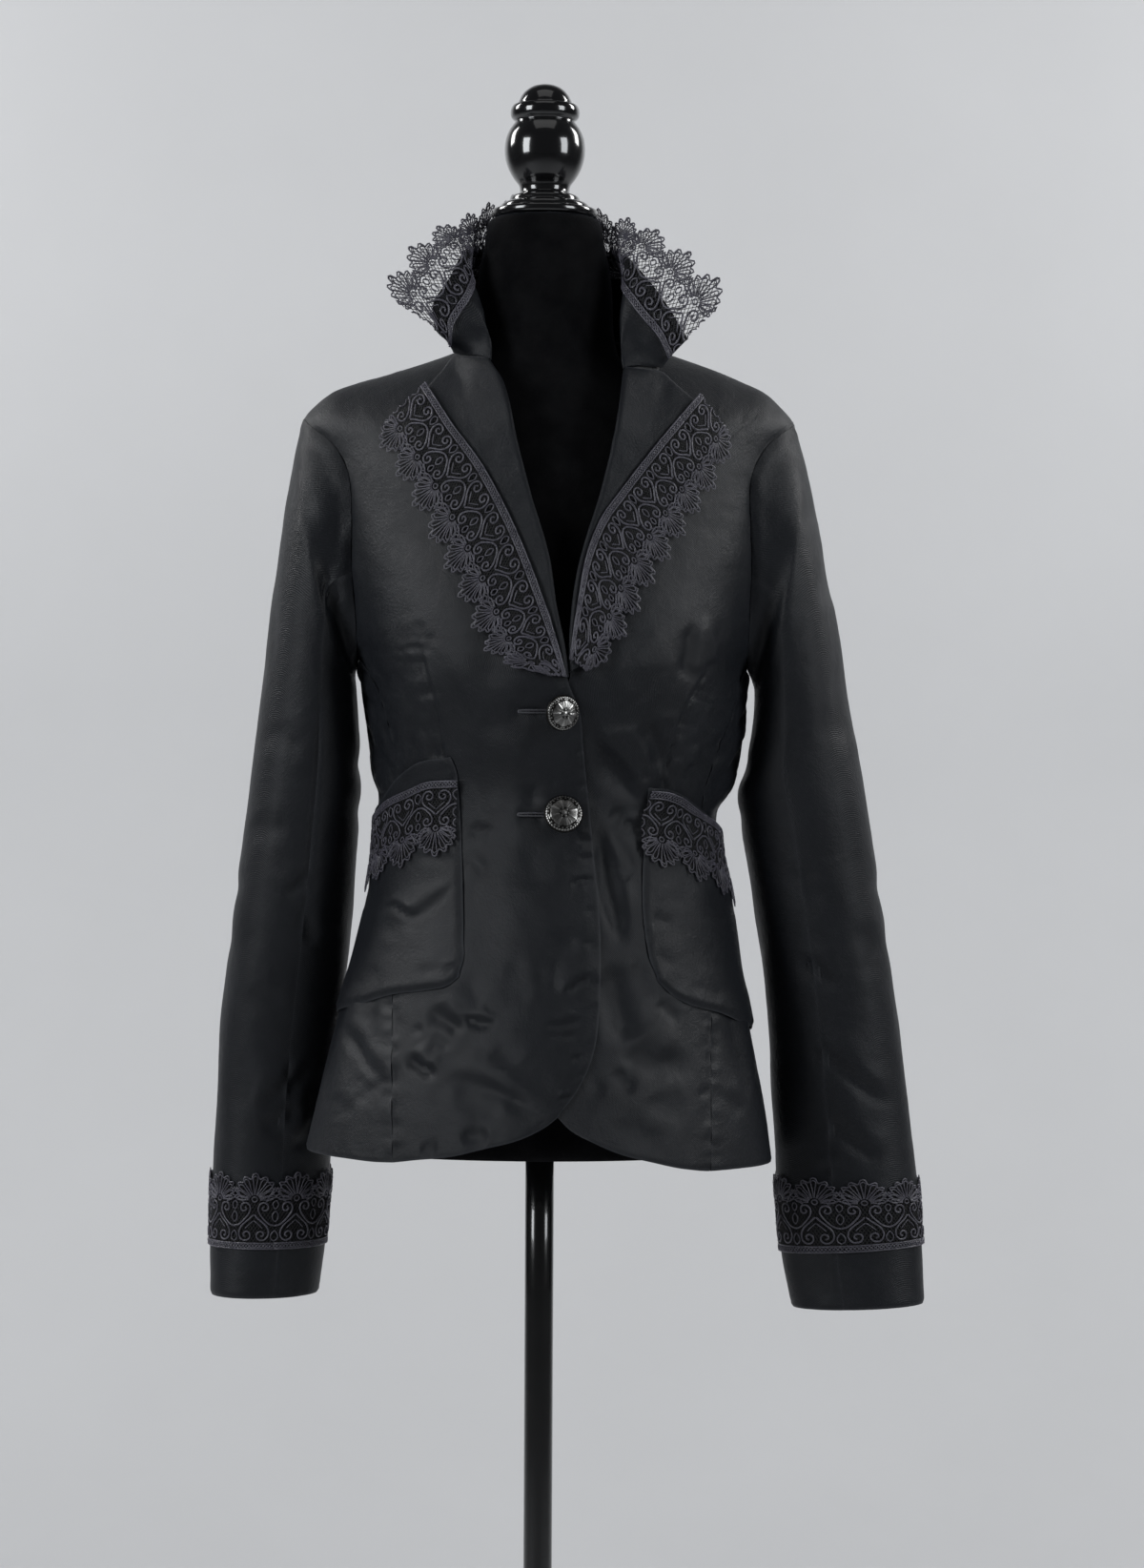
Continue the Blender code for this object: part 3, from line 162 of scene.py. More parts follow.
# Drawn as seen from EYE.
ROLL = {-1: Table("z x", (1387.5, -39), (1368.5, -29.5), (1319, -18), (1281.5, -7.5), (1244, 3.5), (1207, 9.5),
                  (1174.5, 16), (1152, 19)),
        1: Table("z x", (1381.5, 59), (1353, 56), (1315, 49), (1289, 42.5), (1262.5, 34), (1234.5, 26.5),
                 (1202.5, 22), (1180, 20.5), (1155.5, 20.5))}
NECK_POINT = {-1: (1397.0, -62.0), 1: (1399.0, 76.0)}          # z, x where the shoulder seam meets the collar
FRONT_EDGE = Table("z x", (833.5, 13), (852, 27), (871.5, 36.5), (891.5, 41.5), (917.5, 43.5), (949.5, 44),
                   (982, 43), (1024.5, 38.5), (1057, 35.5), (1101.5, 31), (1128.5, 28.5), (1142.5, 25), (1152, 19))
HEM = {-1: Table("x z", (13, 833), (3.5, 825.5), (-17.5, 815.5), (-41.5, 809.5), (-67.5, 803.5), (-89.5, 801.5),
                 (-117, 799.5), (-154, 804.5)),
       1: Table("x z", (13, 833.5), (22, 824), (39.5, 814.5), (60, 806), (82.5, 800.5), (108.5, 795.5),
                (129.5, 794.5), (149.5, 796.5))}
SIDE_SEAM = {-1: Table("z x", (801, -108.5), (919.5, -109), (1003.5, -106), (1066.5, -103.5), (1105, -109.5),
                       (1136.5, -118), (1156.5, -126)),
             1: Table("z x", (795.5, 126), (911, 125.5), (1002.5, 122), (1062, 118), (1093.5, 126),
                      (1118, 135.5), (1140, 144))}
SIDE_SEAM_TOP = {-1: 1170.0, 1: 1165.0}
BACK_SEAM = Table("z angle", (800, 62), (900, 62), (1000, 64), (1053, 66), (1120, 68), (1170, 74))   # from the back centre

# Sleeve sections, from the armhole to the cuff: the outer and the inner edge as seen from EYE, the y of
# the middle and the reach in front of it and behind it.
SLEEVE = {
    -1: Table("k out_x out_z in_x in_z mid front back",
              (1, -181, 1328, -138, 1158.5, 0, 59, 59), (2, -186.5, 1300, -137, 1151, 0, 62, 61),
              (3, -191, 1266, -136, 1139, 1, 62, 61), (4, -197, 1222, -135, 1121, 2, 60, 59),
              (5, -203, 1165, -134, 1098, 4, 57, 56), (6, -208.5, 1120, -133, 1075, 6, 54, 53),
              (7, -215, 1069, -134, 1045, 10, 51, 51), (8, -221, 1019, -136.5, 1008, 15, 49, 49),
              (9, -227, 968, -139.5, 962, 23, 47, 47), (10, -232.5, 922, -144, 918, 33, 46, 45),
              (11, -236, 875, -149, 872, 44, 44, 43), (12, -238, 822, -153, 822, 54, 42, 41),
              (13, -240, 787, -154, 789, 58, 41, 40), (14, -241.5, 735, -157.5, 736, 60, 39, 38),
              (15, -241, 698.5, -162, 700, 60, 38, 37)),
    1: Table("k out_x out_z in_x in_z mid front back",
             (1, 191, 1324, 155.5, 1153, 0, 59, 59), (2, 196.5, 1300, 156, 1145, 0, 62, 61),
             (3, 202, 1270, 155.5, 1131, 1, 62, 61), (4, 209, 1230, 153.5, 1112, 2, 60, 59),
             (5, 217, 1188, 150, 1094, 3, 57, 56), (6, 226, 1135, 144.5, 1073, 5, 54, 53),
             (7, 238, 1071, 147, 1043, 8, 50, 50), (8, 246.5, 1010, 154, 1003, 12, 47, 47),
             (9, 255, 956, 160.5, 955, 17, 44, 44), (10, 264.5, 886, 167.5, 888, 23, 41, 41),
             (11, 269.5, 848, 170, 848, 26, 39, 39), (12, 273.5, 814, 172.5, 815, 28, 37, 37),
             (13, 277, 785, 173.5, 787, 29, 36, 36), (14, 281, 738.5, 177.5, 732.5, 29, 33, 33),
             (15, 282.5, 695, 186, 691.5, 28, 31, 31))}
ARMHOLE_ROWS = (38, 56, 75, 95, 116, 138, 156, 170, 180)   # psi of the points shared by body and sleeve
FRONT_ARM_SEAM, ELBOW_SEAM = 75, 95                        # psi at which the sleeve's own seams start

# Collar: along each half from the centre back (w = 0) to the front end, one unit to a palmette of the
# lace. Its middle line, the upper edge of the cloth, and the points of the lace above it. Its foot
# follows the neckline up to FOOT_TURN and the gorge from there.
COLLAR_END = {-1: 6.9, 1: 7.2}
FOOT_SHOULDER, FOOT_TURN = 3.4, 5.6
COLLAR_MID = {-1: Table("w x y z", (0, 3, 60, 1441), (1.4, -40, 48, 1440), (2.4, -57, 26, 1437), (3.4, -58, -2, 1433),
                        (4.4, -52, -27, 1428), (5.0, -46, -41, 1424), (5.6, -45, -49, 1415), (6.4, -65, -53, 1402),
                        (6.9, -70, -54, 1396.5)),
              1: Table("w x y z", (0, 3, 60, 1441), (1.4, 46, 48, 1440), (2.4, 64, 26, 1436), (3.4, 66, -2, 1430),
                       (4.4, 60, -27, 1425), (5.0, 56.5, -41, 1420), (5.6, 60, -49, 1409), (6.4, 81, -54, 1396),
                       (7.2, 92, -55, 1386))}
COLLAR_TOP = {-1: Table("w x y z", (0, 2, 54, 1479), (1.4, -36, 42, 1477), (2.4, -50, 16, 1473), (3.4, -53.5, -8, 1469),
                        (4.4, -58, -30, 1465), (5.4, -68, -46, 1443), (6.4, -80, -58, 1418.5), (6.9, -78, -62, 1403.5)),
              1: Table("w x y z", (0, 2, 54, 1479), (1.4, 40, 42, 1476), (2.4, 53, 16, 1471), (3.4, 55.5, -8, 1466),
                       (4.4, 61, -30, 1460.5), (5.4, 77.5, -46, 1440), (6.4, 92, -58, 1418), (7.2, 103.5, -62, 1397.5))}
COLLAR_TIPS = {-1: Table("w x y z", (0, 2, 50, 1520), (1.4, -25.5, 38, 1517), (2.4, -43.5, 10, 1507), (3.4, -58, -16, 1494),
                         (4.4, -78.5, -36, 1480.5), (5.4, -98, -48, 1463.5), (6.4, -112, -61, 1440.5), (6.9, -120.5, -68, 1431)),
               1: Table("w x y z", (0, 2, 50, 1520), (1.4, 25.5, 40, 1515), (2.4, 40, 20, 1505), (3.4, 61, -14, 1492.5),
                        (4.4, 80, -35, 1481), (5.4, 102, -48, 1464.5), (6.4, 121.5, -61, 1446), (7.2, 136, -67, 1429.5))}
NOTCH = {-1: (-65.0, 1391.0), 1: (86.0, 1380.5)}       # outer end of the gorge seam, as seen from EYE

# Lapels, drawn as seen from EYE, from the gorge (0) to the break above the top button (1): the outer
# edge of the cloth, the inner edge of the lace and the line of its points.
LAPEL = {-1: Table("t edge_x edge_z lace_x lace_z tip_x tip_z",
                   (0.0, -98, 1352, -85, 1369, -124, 1334), (0.15, -86, 1325, -66, 1342, -108, 1307),
                   (0.3, -69, 1298, -46, 1316, -92, 1277), (0.45, -52, 1269, -29, 1286, -76, 1245),
                   (0.6, -38, 1240, -14, 1253, -62, 1217), (0.75, -25, 1210, 0, 1216, -49, 1188),
                   (0.9, -14, 1178, 11, 1184, -34, 1168), (1.0, 2, 1162, 18, 1158, 2, 1159)),
         1: Table("t edge_x edge_z lace_x lace_z tip_x tip_z",
                  (0.0, 124, 1348, 113, 1362, 140, 1330), (0.15, 109, 1325, 93, 1341, 126, 1298),
                  (0.3, 93, 1296, 74, 1318, 111, 1275), (0.45, 77, 1270, 56, 1294, 97, 1251),
                  (0.6, 63, 1245, 41, 1272, 82, 1227), (0.75, 51, 1221, 31, 1244, 68, 1200),
                  (0.9, 42, 1195, 25, 1207, 54, 1176), (1.0, 30, 1166, 20, 1170, 36, 1159))}

# Pockets: the front edge (x over z), the lower edge and the upper edge (z over x), the lace's upper edge
# and its points; all as seen from EYE. They run back to POCKET_BACK degrees.
POCKET_EDGE = {-1: Table("z x", (937.5, -60), (949, -56.5), (995, -57), (1040.5, -58.5), (1086, -62), (1098.5, -67)),
               1: Table("z x", (935, 85.5), (946.5, 80.5), (965.5, 76.5), (994.5, 74), (1025, 74.5), (1046, 76.5), (1076, 78))}
POCKET_LOW = {-1: Table("x z", (-60, 936), (-65, 931), (-76.5, 927), (-106.5, 923), (-138, 914)),
              1: Table("x z", (86, 934), (95, 924), (111.5, 915.5), (133, 910), (148, 903))}
POCKET_HIGH = {-1: Table("x z", (-64, 1098), (-85, 1095.5), (-100.5, 1086), (-111.5, 1071.5), (-118, 1060)),
               1: Table("x z", (78.5, 1076), (89, 1075.5), (101.5, 1072), (113.5, 1062.5), (126, 1050))}
POCKET_LACE = {-1: Table("x z", (-62, 1083), (-79.5, 1082), (-95.5, 1075), (-111.5, 1066.5), (-118, 1058)),
               1: Table("x z", (78.5, 1076), (89, 1075.5), (101.5, 1072), (113.5, 1062.5), (126, 1050))}
POCKET_BACK = {-1: 97.0, 1: 99.0}
POCKET_LACE_BACK = {-1: 92.0, 1: 93.0}

BUTTONS = (("button_upper", 14.5, 1132.5, 12.5), ("button_lower", 15.5, 1056.0, 13.5))   # x, z as drawn; radius

# Dress form: rings about the axis.
FORM = Table("z wide front back mid",
             (812, 150, 98, 108, -8), (816, 153, 101, 110, -8), (840, 152, 102, 110, -7), (900, 143, 99, 105, -5),
             (960, 126, 94, 92, -3), (1010, 114, 90, 84, 0), (1053, 111, 88, 80, 0), (1100, 117, 95, 85, 0),
             (1150, 124, 106, 91, 0), (1200, 126, 105, 94, 0), (1250, 126, 98, 95, 0), (1300, 120, 88, 90, 0),
             (1330, 105, 76, 78, 0), (1355, 86, 63, 64, 0), (1375, 68, 52, 52, 0), (1395, 53.5, 46, 45, 0),
             (1415, 50.5, 44, 44.5, 0), (1436, 50, 43.5, 44, 0), (1454, 48, 42.5, 43, 0), (1471, 44.5, 41, 41.5, 0),
             (1484, 42.5, 39.5, 40, 0), (1490, 41, 38, 38.5, 0), (1493, 36, 34, 34, 0))
# Turned cap: outline from the top down.
CAP = ((0.0, 1591.7), (5.5, 1591.2), (11.5, 1589.0), (16.8, 1584.2), (19.8, 1578.2), (20.4, 1576.6), (23.6, 1575.9),
       (25.2, 1573.0), (25.4, 1570.2), (24.6, 1567.0), (22.2, 1564.6), (22.4, 1563.2), (26.2, 1558.0), (28.9, 1551.0),
       (29.7, 1543.5), (28.9, 1536.0), (26.4, 1528.6), (22.4, 1521.8), (19.0, 1517.4), (18.3, 1514.0), (18.9, 1511.0),
       (23.4, 1509.6), (25.6, 1507.8), (26.0, 1505.6), (29.6, 1504.4), (32.4, 1502.4), (33.0, 1500.2), (38.2, 1499.0),
       (39.2, 1497.6), (39.2, 1495.0), (38.4, 1493.8), (0.0, 1493.4))
FOOT = ((0.0, 30.0), (14.0, 30.0), (15.0, 29.0), (15.6, 24.0), (19.0, 18.0), (30.0, 13.5), (60.0, 11.0), (120.0, 9.6),
        (152.0, BASE_H), (158.0, 7.4), (BASE_R, 5.0), (BASE_R, 1.0), (159.0, 0.0), (0.0, 0.0))


# ---------------------------------------------------------------- the skin
def wide(z):
    left, right = BODY.at("left", z), BODY.at("right", z)
    return (left + right) / 2, (right - left) / 2


def ridge(x):
    return RIDGE.at("left" if x < MIDDLE else "right", abs(x - MIDDLE))


def bust(x, z):
    d = abs(x - MIDDLE - 3) - BUST["x"]
    return BUST["out"] * math.exp(-0.5 * ((d / BUST["wide"]) ** 2 + ((z - BUST["z"]) / BUST["high"]) ** 2))


def skin(u, z):
    """A point of the skin: u in degrees from the front centre, + towards +X, 180 at the back centre."""
    a, c = wide(z)
    x = c + a * math.sin(math.radians(u))
    k = math.cos(math.radians(u))
    if k >= 0:
        y = BODY.at("mid", z) - BODY.at("front", z) * k - bust(x, z) * min(1.0, k * 2)
    else:
        y = BODY.at("mid", z) - BODY.at("back", z) * k
    h = ridge(x) - z
    if h < REACH:
        y_top = 4.0 * max(0.0, 1 - abs(x - MIDDLE) / 181) + (-0.6 if k >= 0 else 0.6) * SEAM
        y = y_top + (y - y_top) * math.sqrt(max(0.0, 1 - (1 - max(h, 0.0) / REACH) ** 2))
    return np.array((x, y, z))


def skin_normal(u, z):
    h = ridge(skin(u, z)[0]) - z
    if h < 0.6:                                       # on the shoulder seam: square to the ridge line
        x = skin(u, z)[0]
        n = np.array((ridge(x - 2) - ridge(x + 2), 0.0, 4.0))
        return n / np.linalg.norm(n)
    e = min(1.0, h / 3)
    n = np.cross(skin(u + 0.5, z) - skin(u - 0.5, z), skin(u, z + e) - skin(u, z - e))
    return n / np.linalg.norm(n)


def angle_at(x, z):
    a, c = wide(z)
    return math.degrees(math.asin(max(-1.0, min(1.0, (x - c) / a))))


def sight(X, Z, lift=0.0):
    """(u, z) of the front skin where the drawn point X, Z is seen from EYE."""
    x, z = X, Z
    for _ in range(12):
        u = angle_at(x, z)
        y = skin(u, z)[1] - lift
        k = (y - EYE[1]) / -EYE[1]
        x, z = EYE[0] + (X - EYE[0]) * k, EYE[2] + (Z - EYE[2]) * k
    return angle_at(x, z), z


def real(table, first="z", second="x"):
    """A drawn table carried onto the skin: the same columns in real x and z."""
    rows = []
    for p, q in zip(table.col[first], table.col[second]):
        X, Z = (q, p) if first == "z" else (p, q)
        u, z = sight(X, Z)
        rows.append((z, skin(u, z)[0]) if first == "z" else (skin(u, z)[0], z))
    return Table(f"{first} {second}", *rows)


# ---------------------------------------------------------------- boundaries of the panels
REAL_ROLL = {s: real(ROLL[s]) for s in (-1, 1)}
REAL_EDGE = real(FRONT_EDGE)
REAL_HEM = {s: real(HEM[s], "x", "z") for s in (-1, 1)}
REAL_SIDE = {s: real(SIDE_SEAM[s]) for s in (-1, 1)}
BREAK = {-1: REAL_ROLL[-1].x[0], 1: REAL_ROLL[1].x[0]}
GORGE_Z = {s: REAL_ROLL[s].x[-1] for s in (-1, 1)}
NECK_EDGE = {s: Table("z x", (GORGE_Z[s], REAL_ROLL[s].at("x", GORGE_Z[s])),
                      (0.5 * (GORGE_Z[s] + NECK_POINT[s][0]), 0.42 * REAL_ROLL[s].at("x", GORGE_Z[s]) + 0.58 * NECK_POINT[s][1]),
                      NECK_POINT[s]) for s in (-1, 1)}


def hem_at(side, u, x):
    """Height of the hem: drawn on the fronts, level round the sides and the back."""
    level = 808.0 - 0.023 * x
    if abs(u) > 90:
        return level
    drawn = REAL_HEM[side].at("z", x)
    edge = REAL_HEM[side].x[0 if side < 0 else -1]
    t = max(0.0, min(1.0, (abs(x) - abs(edge) + 25) / 25))
    return drawn + (level - drawn) * t


def under_edge(z):
    """Front edge of the left front, which mirrors the right one about the centre front."""
    x = 2 * FRONT_LINE - REAL_EDGE.at("x", z)
    if z > REAL_EDGE.x[-1] - 12:
        t = min(1.0, (z - REAL_EDGE.x[-1] + 12) / 12)
        x += (REAL_ROLL[1].at("x", z) - x) * t
    return x


def front_edge(side, z):
    if z >= GORGE_Z[side]:
        return NECK_EDGE[side].at("x", z)
    if z >= BREAK[side]:
        return REAL_ROLL[side].at("x", z)
    return REAL_EDGE.at("x", z) if side < 0 else under_edge(z)


def armhole(side, psi, back=False):
    """(u, z) on the armhole seam."""
    z = UNDERARM[side] + (SHOULDER_TIP[side] - UNDERARM[side]) * (1 - math.cos(math.radians(psi))) / 2
    u = 180 - ARMHOLE.at("back", psi) if back else ARMHOLE.at("front", psi)
    if psi > 179.5:                                   # the tip lies on the shoulder line
        for _ in range(6):
            a, c = wide(z)
            z = ridge(c + side * a * math.sin(math.radians(u)))
    return side * u, z


def psi_at(side, z):
    f = (z - UNDERARM[side]) / (SHOULDER_TIP[side] - UNDERARM[side])
    return math.degrees(math.acos(max(-1.0, min(1.0, 1 - 2 * f))))


def psi_of_angle(u):
    """Inverse of the armhole near the underarm: the psi at which the seam lies at the skin angle u."""
    column, target = ("front", abs(u)) if abs(u) <= 90 else ("back", 180 - abs(u))
    lo, hi = 0.0, 50.0
    for _ in range(30):
        m = (lo + hi) / 2
        lo, hi = (m, hi) if ARMHOLE.at(column, m) > target else (lo, m)
    return lo


def seam_front(side, z):
    """Angle of the seam between front and side panel."""
    top = SIDE_SEAM_TOP[side]
    if z >= top:
        return side * ARMHOLE.at("front", psi_at(side, z))
    low = REAL_SIDE[side]
    if z <= low.x[-1]:
        return angle_at(low.at("x", z), z)
    t = (z - low.x[-1]) / (top - low.x[-1])
    return (1 - t) * angle_at(low.at("x", low.x[-1]), low.x[-1]) + t * side * ARMHOLE.at("front", psi_at(side, top))


def seam_back(side, z):
    top = SIDE_SEAM_TOP[side]
    if z >= top:
        return side * (180 - ARMHOLE.at("back", psi_at(side, z)))
    t = min(1.0, max(0.0, (z - 1120) / (top - 1120)))
    end = ARMHOLE.at("back", psi_at(side, top))
    return side * (180 - ((1 - t) * BACK_SEAM.at("angle", min(z, 1120)) + t * end))


def degrees_for(u, z, length):
    return length / max(1.0, np.linalg.norm(skin(u + 0.5, z) - skin(u - 0.5, z)))


# ---------------------------------------------------------------- sleeves
def armhole_tangent(side, psi, back):
    lo, hi = max(0.0, psi - 1), min(180.0, psi + 1)
    d = skin(*armhole(side, hi, back)) - skin(*armhole(side, lo, back))
    return d / np.linalg.norm(d)


def away_from_body(side, psi, back):
    """Square to the seam, out of the body panels."""
    u, z = armhole(side, psi, back)
    if psi > 179.5:
        return np.array((side * 0.75, 0.0, -0.66))
    if psi < 0.5:
        return np.array((0.0, 0.0, 1.0))
    n = skin_normal(u, z)
    d = np.cross(n, armhole_tangent(side, psi, back))
    outward = np.array((side * 0.5, (1.0 if not back else -1.0), 0.3))
    return d if np.dot(d, outward) > 0 else -d


def sleeve_point(side, k, phi):
    """phi 0 at the top or outer edge, 90 at the front, 180 at the underarm or inner edge."""
    t = math.radians(phi)
    if k <= 0:
        psi = 180 - abs((phi + 180) % 360 - 180)
        back = math.sin(t) < -1e-9
        u, z = armhole(side, psi, back)
        return skin(u, z) + SEAM * (0.7 * away_from_body(side, psi, back) + 0.5 * np.array((side, 0.0, 0.0)))
    if k < 1:
        a, b = sleeve_point(side, 0, phi), sleeve_point(side, 1, phi)
        return a + (b - a) * k
    S = SLEEVE[side]
    mid = S.at("mid", k)
    scale = (mid - EYE[1]) / -EYE[1]
    near = (mid - 0.9 * S.at("front", k) - EYE[1]) / -EYE[1]      # heights are read on the sleeve's front
    out = np.array((EYE[0] + (S.at("out_x", k) - EYE[0]) * scale, 0.0, EYE[2] + (S.at("out_z", k) - EYE[2]) * near))
    inn = np.array((EYE[0] + (S.at("in_x", k) - EYE[0]) * scale, 0.0, EYE[2] + (S.at("in_z", k) - EYE[2]) * near))
    reach = S.at("front", k) if math.sin(t) > 0 else S.at("back", k)
    p = (out + inn) / 2 + (out - inn) / 2 * math.cos(t)
    p[1] = mid - reach * math.sin(t)
    return p


def sleeve_normal(side, k, phi):
    e = 0.35
    n = np.cross(sleeve_point(side, min(15.0, k + e), phi) - sleeve_point(side, max(0.0, k - e), phi),
                 sleeve_point(side, k, phi + 4) - sleeve_point(side, k, phi - 4))
    n /= np.linalg.norm(n)
    centre = sum(sleeve_point(side, k, a) for a in (0, 90, 180, 270)) / 4
    return n if np.dot(n, sleeve_point(side, k, phi) - centre) > 0 else -n


def mitre(side, psi, back):
    """Common edge direction of the body and the sleeve on the armhole seam."""
    u, z = armhole(side, psi, back)
    if psi > 179.5:
        body = skin_normal(side * 62, z)
    else:
        body = skin_normal(u, z)
    sleeve = sleeve_normal(side, 0.2, (180 - psi) * (-1 if back else 1))
    n = body + sleeve
    n /= np.linalg.norm(n)
    return n / max(0.6, float(np.dot(n, body)))


SIDE_COLUMNS = (0, 0.25, 0.5, 0.75, 1)


def place(side, s, q, inner, outer, top):
    """(u, z) of a panel's point: s across from its inner to its outer seam, q its level."""
    z = min(q, SHOULDER_TIP[-1])
    for _ in range(14):
        u_in, u_out = inner(side, z), outer(side, z)
        u_in += side * degrees_for(u_in, z, SEAM * 0.8)
        u_out -= side * degrees_for(u_out, z, SEAM * 0.8)
        u = u_in + (u_out - u_in) * s
        x = skin(u, z)[0]
        if q < LOW:
            hem = hem_at(side, u, x)
            new = hem + (q - BOTTOM) / (LOW - BOTTOM) * (LOW - hem)
        else:
            new = top(side, s, q, x)
        z = z + (new - z) * 0.7
    return u, z


def shoulder_level(side, psi, back):
    """The level at which a panel that ends at the shoulder seam meets the armhole's point psi."""
    u, z = armhole(side, psi, back)
    if z <= HIGH or psi > 179.5:
        return min(z, HIGH) if psi <= 179.5 else TOP
    return HIGH + (z - HIGH) / (ridge(skin(u, z)[0]) - HIGH) * (TOP - HIGH)


def front_inner(side, z):
    return angle_at(front_edge(side, z), z)


def top_shoulder(side, s, q, x):
    return q if q <= HIGH else HIGH + (q - HIGH) / (TOP - HIGH) * (ridge(x) - HIGH)


def lap(side, x, z):
    """The right front is lifted over the left one where they lap."""
    if side > 0 or z > 1205:
        return 0.0
    t = max(0.0, min(1.0, (x + 48) / 34)) * max(0.0, min(1.0, (1205 - z) / 28))
    return LAP * t * t * (3 - 2 * t)


def side_columns(side):
    """The side panel's upper edge: (psi, back) of each of its columns on the armhole."""
    top = SIDE_SEAM_TOP[side]
    a, b = abs(seam_front(side, top)), abs(seam_back(side, top))
    start = psi_at(side, top)
    inner = [a + (b - a) * s for s in SIDE_COLUMNS[1:-1]]
    return [(start, False)] + [(psi_of_angle(u), u > 90) for u in inner] + [(start, True)]


def back_neck(x):
    d = abs(x - MIDDLE - 2)
    return 1402.0 - 4.0 * (d / 68) ** 2


def sleeve_ring(side):
    """Angles around the sleeve, from the elbow seam over the top and the front to the elbow seam again;
    they meet the body's own points on the armhole. Also the place of the front seam in the list."""
    start = psi_at(side, SIDE_SEAM_TOP[side])
    front = [180 - psi for psi in reversed(ARMHOLE_ROWS)] + [180 - start]
    under = [(180 + psi if back else 180 - psi) for psi, back in side_columns(side)[1:-1]]
    rear = [180 + start] + [180 + psi for psi in ARMHOLE_ROWS[:-1]]
    elbow = rear.index(180 + ELBOW_SEAM)
    ring = [a - 360 for a in rear[elbow:]] + front + under + rear[:elbow + 1]
    return ring, ring.index(180 - FRONT_ARM_SEAM)


def collar_foot(side, w):
    """The collar's foot: along the neckline, then out along the gorge."""
    above = np.array((0.0, 0.0, 2.0))
    if w <= FOOT_SHOULDER:
        x = 2 + MIDDLE + (NECK_POINT[side][1] - MIDDLE - 2) * math.sin(math.radians(90 * w / FOOT_SHOULDER))
        z = min(back_neck(x), ridge(x))
        a, c = wide(z)
        return skin(180 - math.degrees(math.asin((x - c) / a)), z) + above
    if w <= FOOT_TURN:
        t = (w - FOOT_SHOULDER) / (FOOT_TURN - FOOT_SHOULDER)
        z = NECK_POINT[side][0] + (GORGE_Z[side] + 0.01 - NECK_POINT[side][0]) * t
        return skin(angle_at(front_edge(side, z), z), z) + above
    t = (w - FOOT_TURN) / (COLLAR_END[side] - FOOT_TURN)
    inner, outer = np.array((ROLL[side].col["x"][-1], ROLL[side].x[-1] + 2.0)), np.array(NOTCH[side]) + (0, 1.5)
    p = inner + (outer - inner) * t
    point, n = on_front(side, p[0], p[1], LIE + CLOTH + 1.2)
    first = collar_foot(side, FOOT_TURN)
    k = min(1.0, t / 0.3)
    return first + (point - first) * k if k < 1 else point


def collar_edge(table, side, w):
    return np.array([table[side].at(c, w) for c in "xyz"])


def collar_point(side, w, v):
    """v 0 at the foot, 0.5 on the middle line, 1 at the upper edge of the cloth, 2 at the lace's points."""
    top = collar_edge(COLLAR_TOP, side, w)
    if v > 1:
        return top + (collar_edge(COLLAR_TIPS, side, w) - top) * (v - 1)
    foot, mid = collar_foot(side, w), collar_edge(COLLAR_MID, side, w)
    return foot * (1 - v) * (1 - 2 * v) + mid * 4 * v * (1 - v) + top * v * (2 * v - 1)


def collar_normal(side, w, v):
    """Away from the neck."""
    e = 0.06
    n = np.cross(collar_point(side, min(COLLAR_END[side], w + e), v) - collar_point(side, max(0.0, w - e), v),
                 collar_point(side, w, min(2.0, v + e)) - collar_point(side, w, max(0.0, v - e)))
    n = n / np.linalg.norm(n) * (1 if side < 0 else -1)
    if w < e:
        n[0] = 0.0
        n /= np.linalg.norm(n)
    return n


def lapel_rise(s):
    """Height of the lapel's upper face over the front: it stands up a little at the roll."""
    return LIE + CLOTH + 0.2 + 2.5 * (1 - s) ** 2


def on_front(side, X, Z, rise):
    u, z = sight(X, Z, rise)
    n = skin_normal(u, z)
    p = skin(u, z)
    return p + n * (rise + lap(side, p[0], z)), n


def lapel_line(side, t, what):
    return np.array((LAPEL[side].at(what + "_x", t), LAPEL[side].at(what + "_z", t)))


def roll_line(side, t):
    """Drawn point of the roll edge opposite the lapel's outer edge."""
    R = ROLL[side]
    z = R.x[-1] + (R.x[0] + 6 - R.x[-1]) * t
    return np.array((R.at("x", z) + side * 0.8, z))


def drawn_z(table, side, u, z0):
    """Real z at the skin angle u of an edge drawn as z over x; behind the outline it runs on level."""
    z = z0
    for _ in range(12):
        p = skin(side * min(abs(u), 70.0), z)
        k = (p[1] - EYE[1]) / -EYE[1]
        X = EYE[0] + (p[0] - EYE[0]) / k
        Z = table[side].at("z", X)
        z = EYE[2] + (Z - EYE[2]) * k
    return z


def pocket_drop(side, u, low):
    """How the upper edges go on falling, and the lower one, beyond the front."""
    over = max(0.0, abs(u) - 70.0)
    return over * (-0.35 if low else -0.6)


def pocket_inner(side, z):
    T = POCKET_EDGE[side]
    zz = z
    Z = EYE[2] + (zz - EYE[2]) * 1.045
    u, _ = sight(T.at("x", Z), Z)
    return u


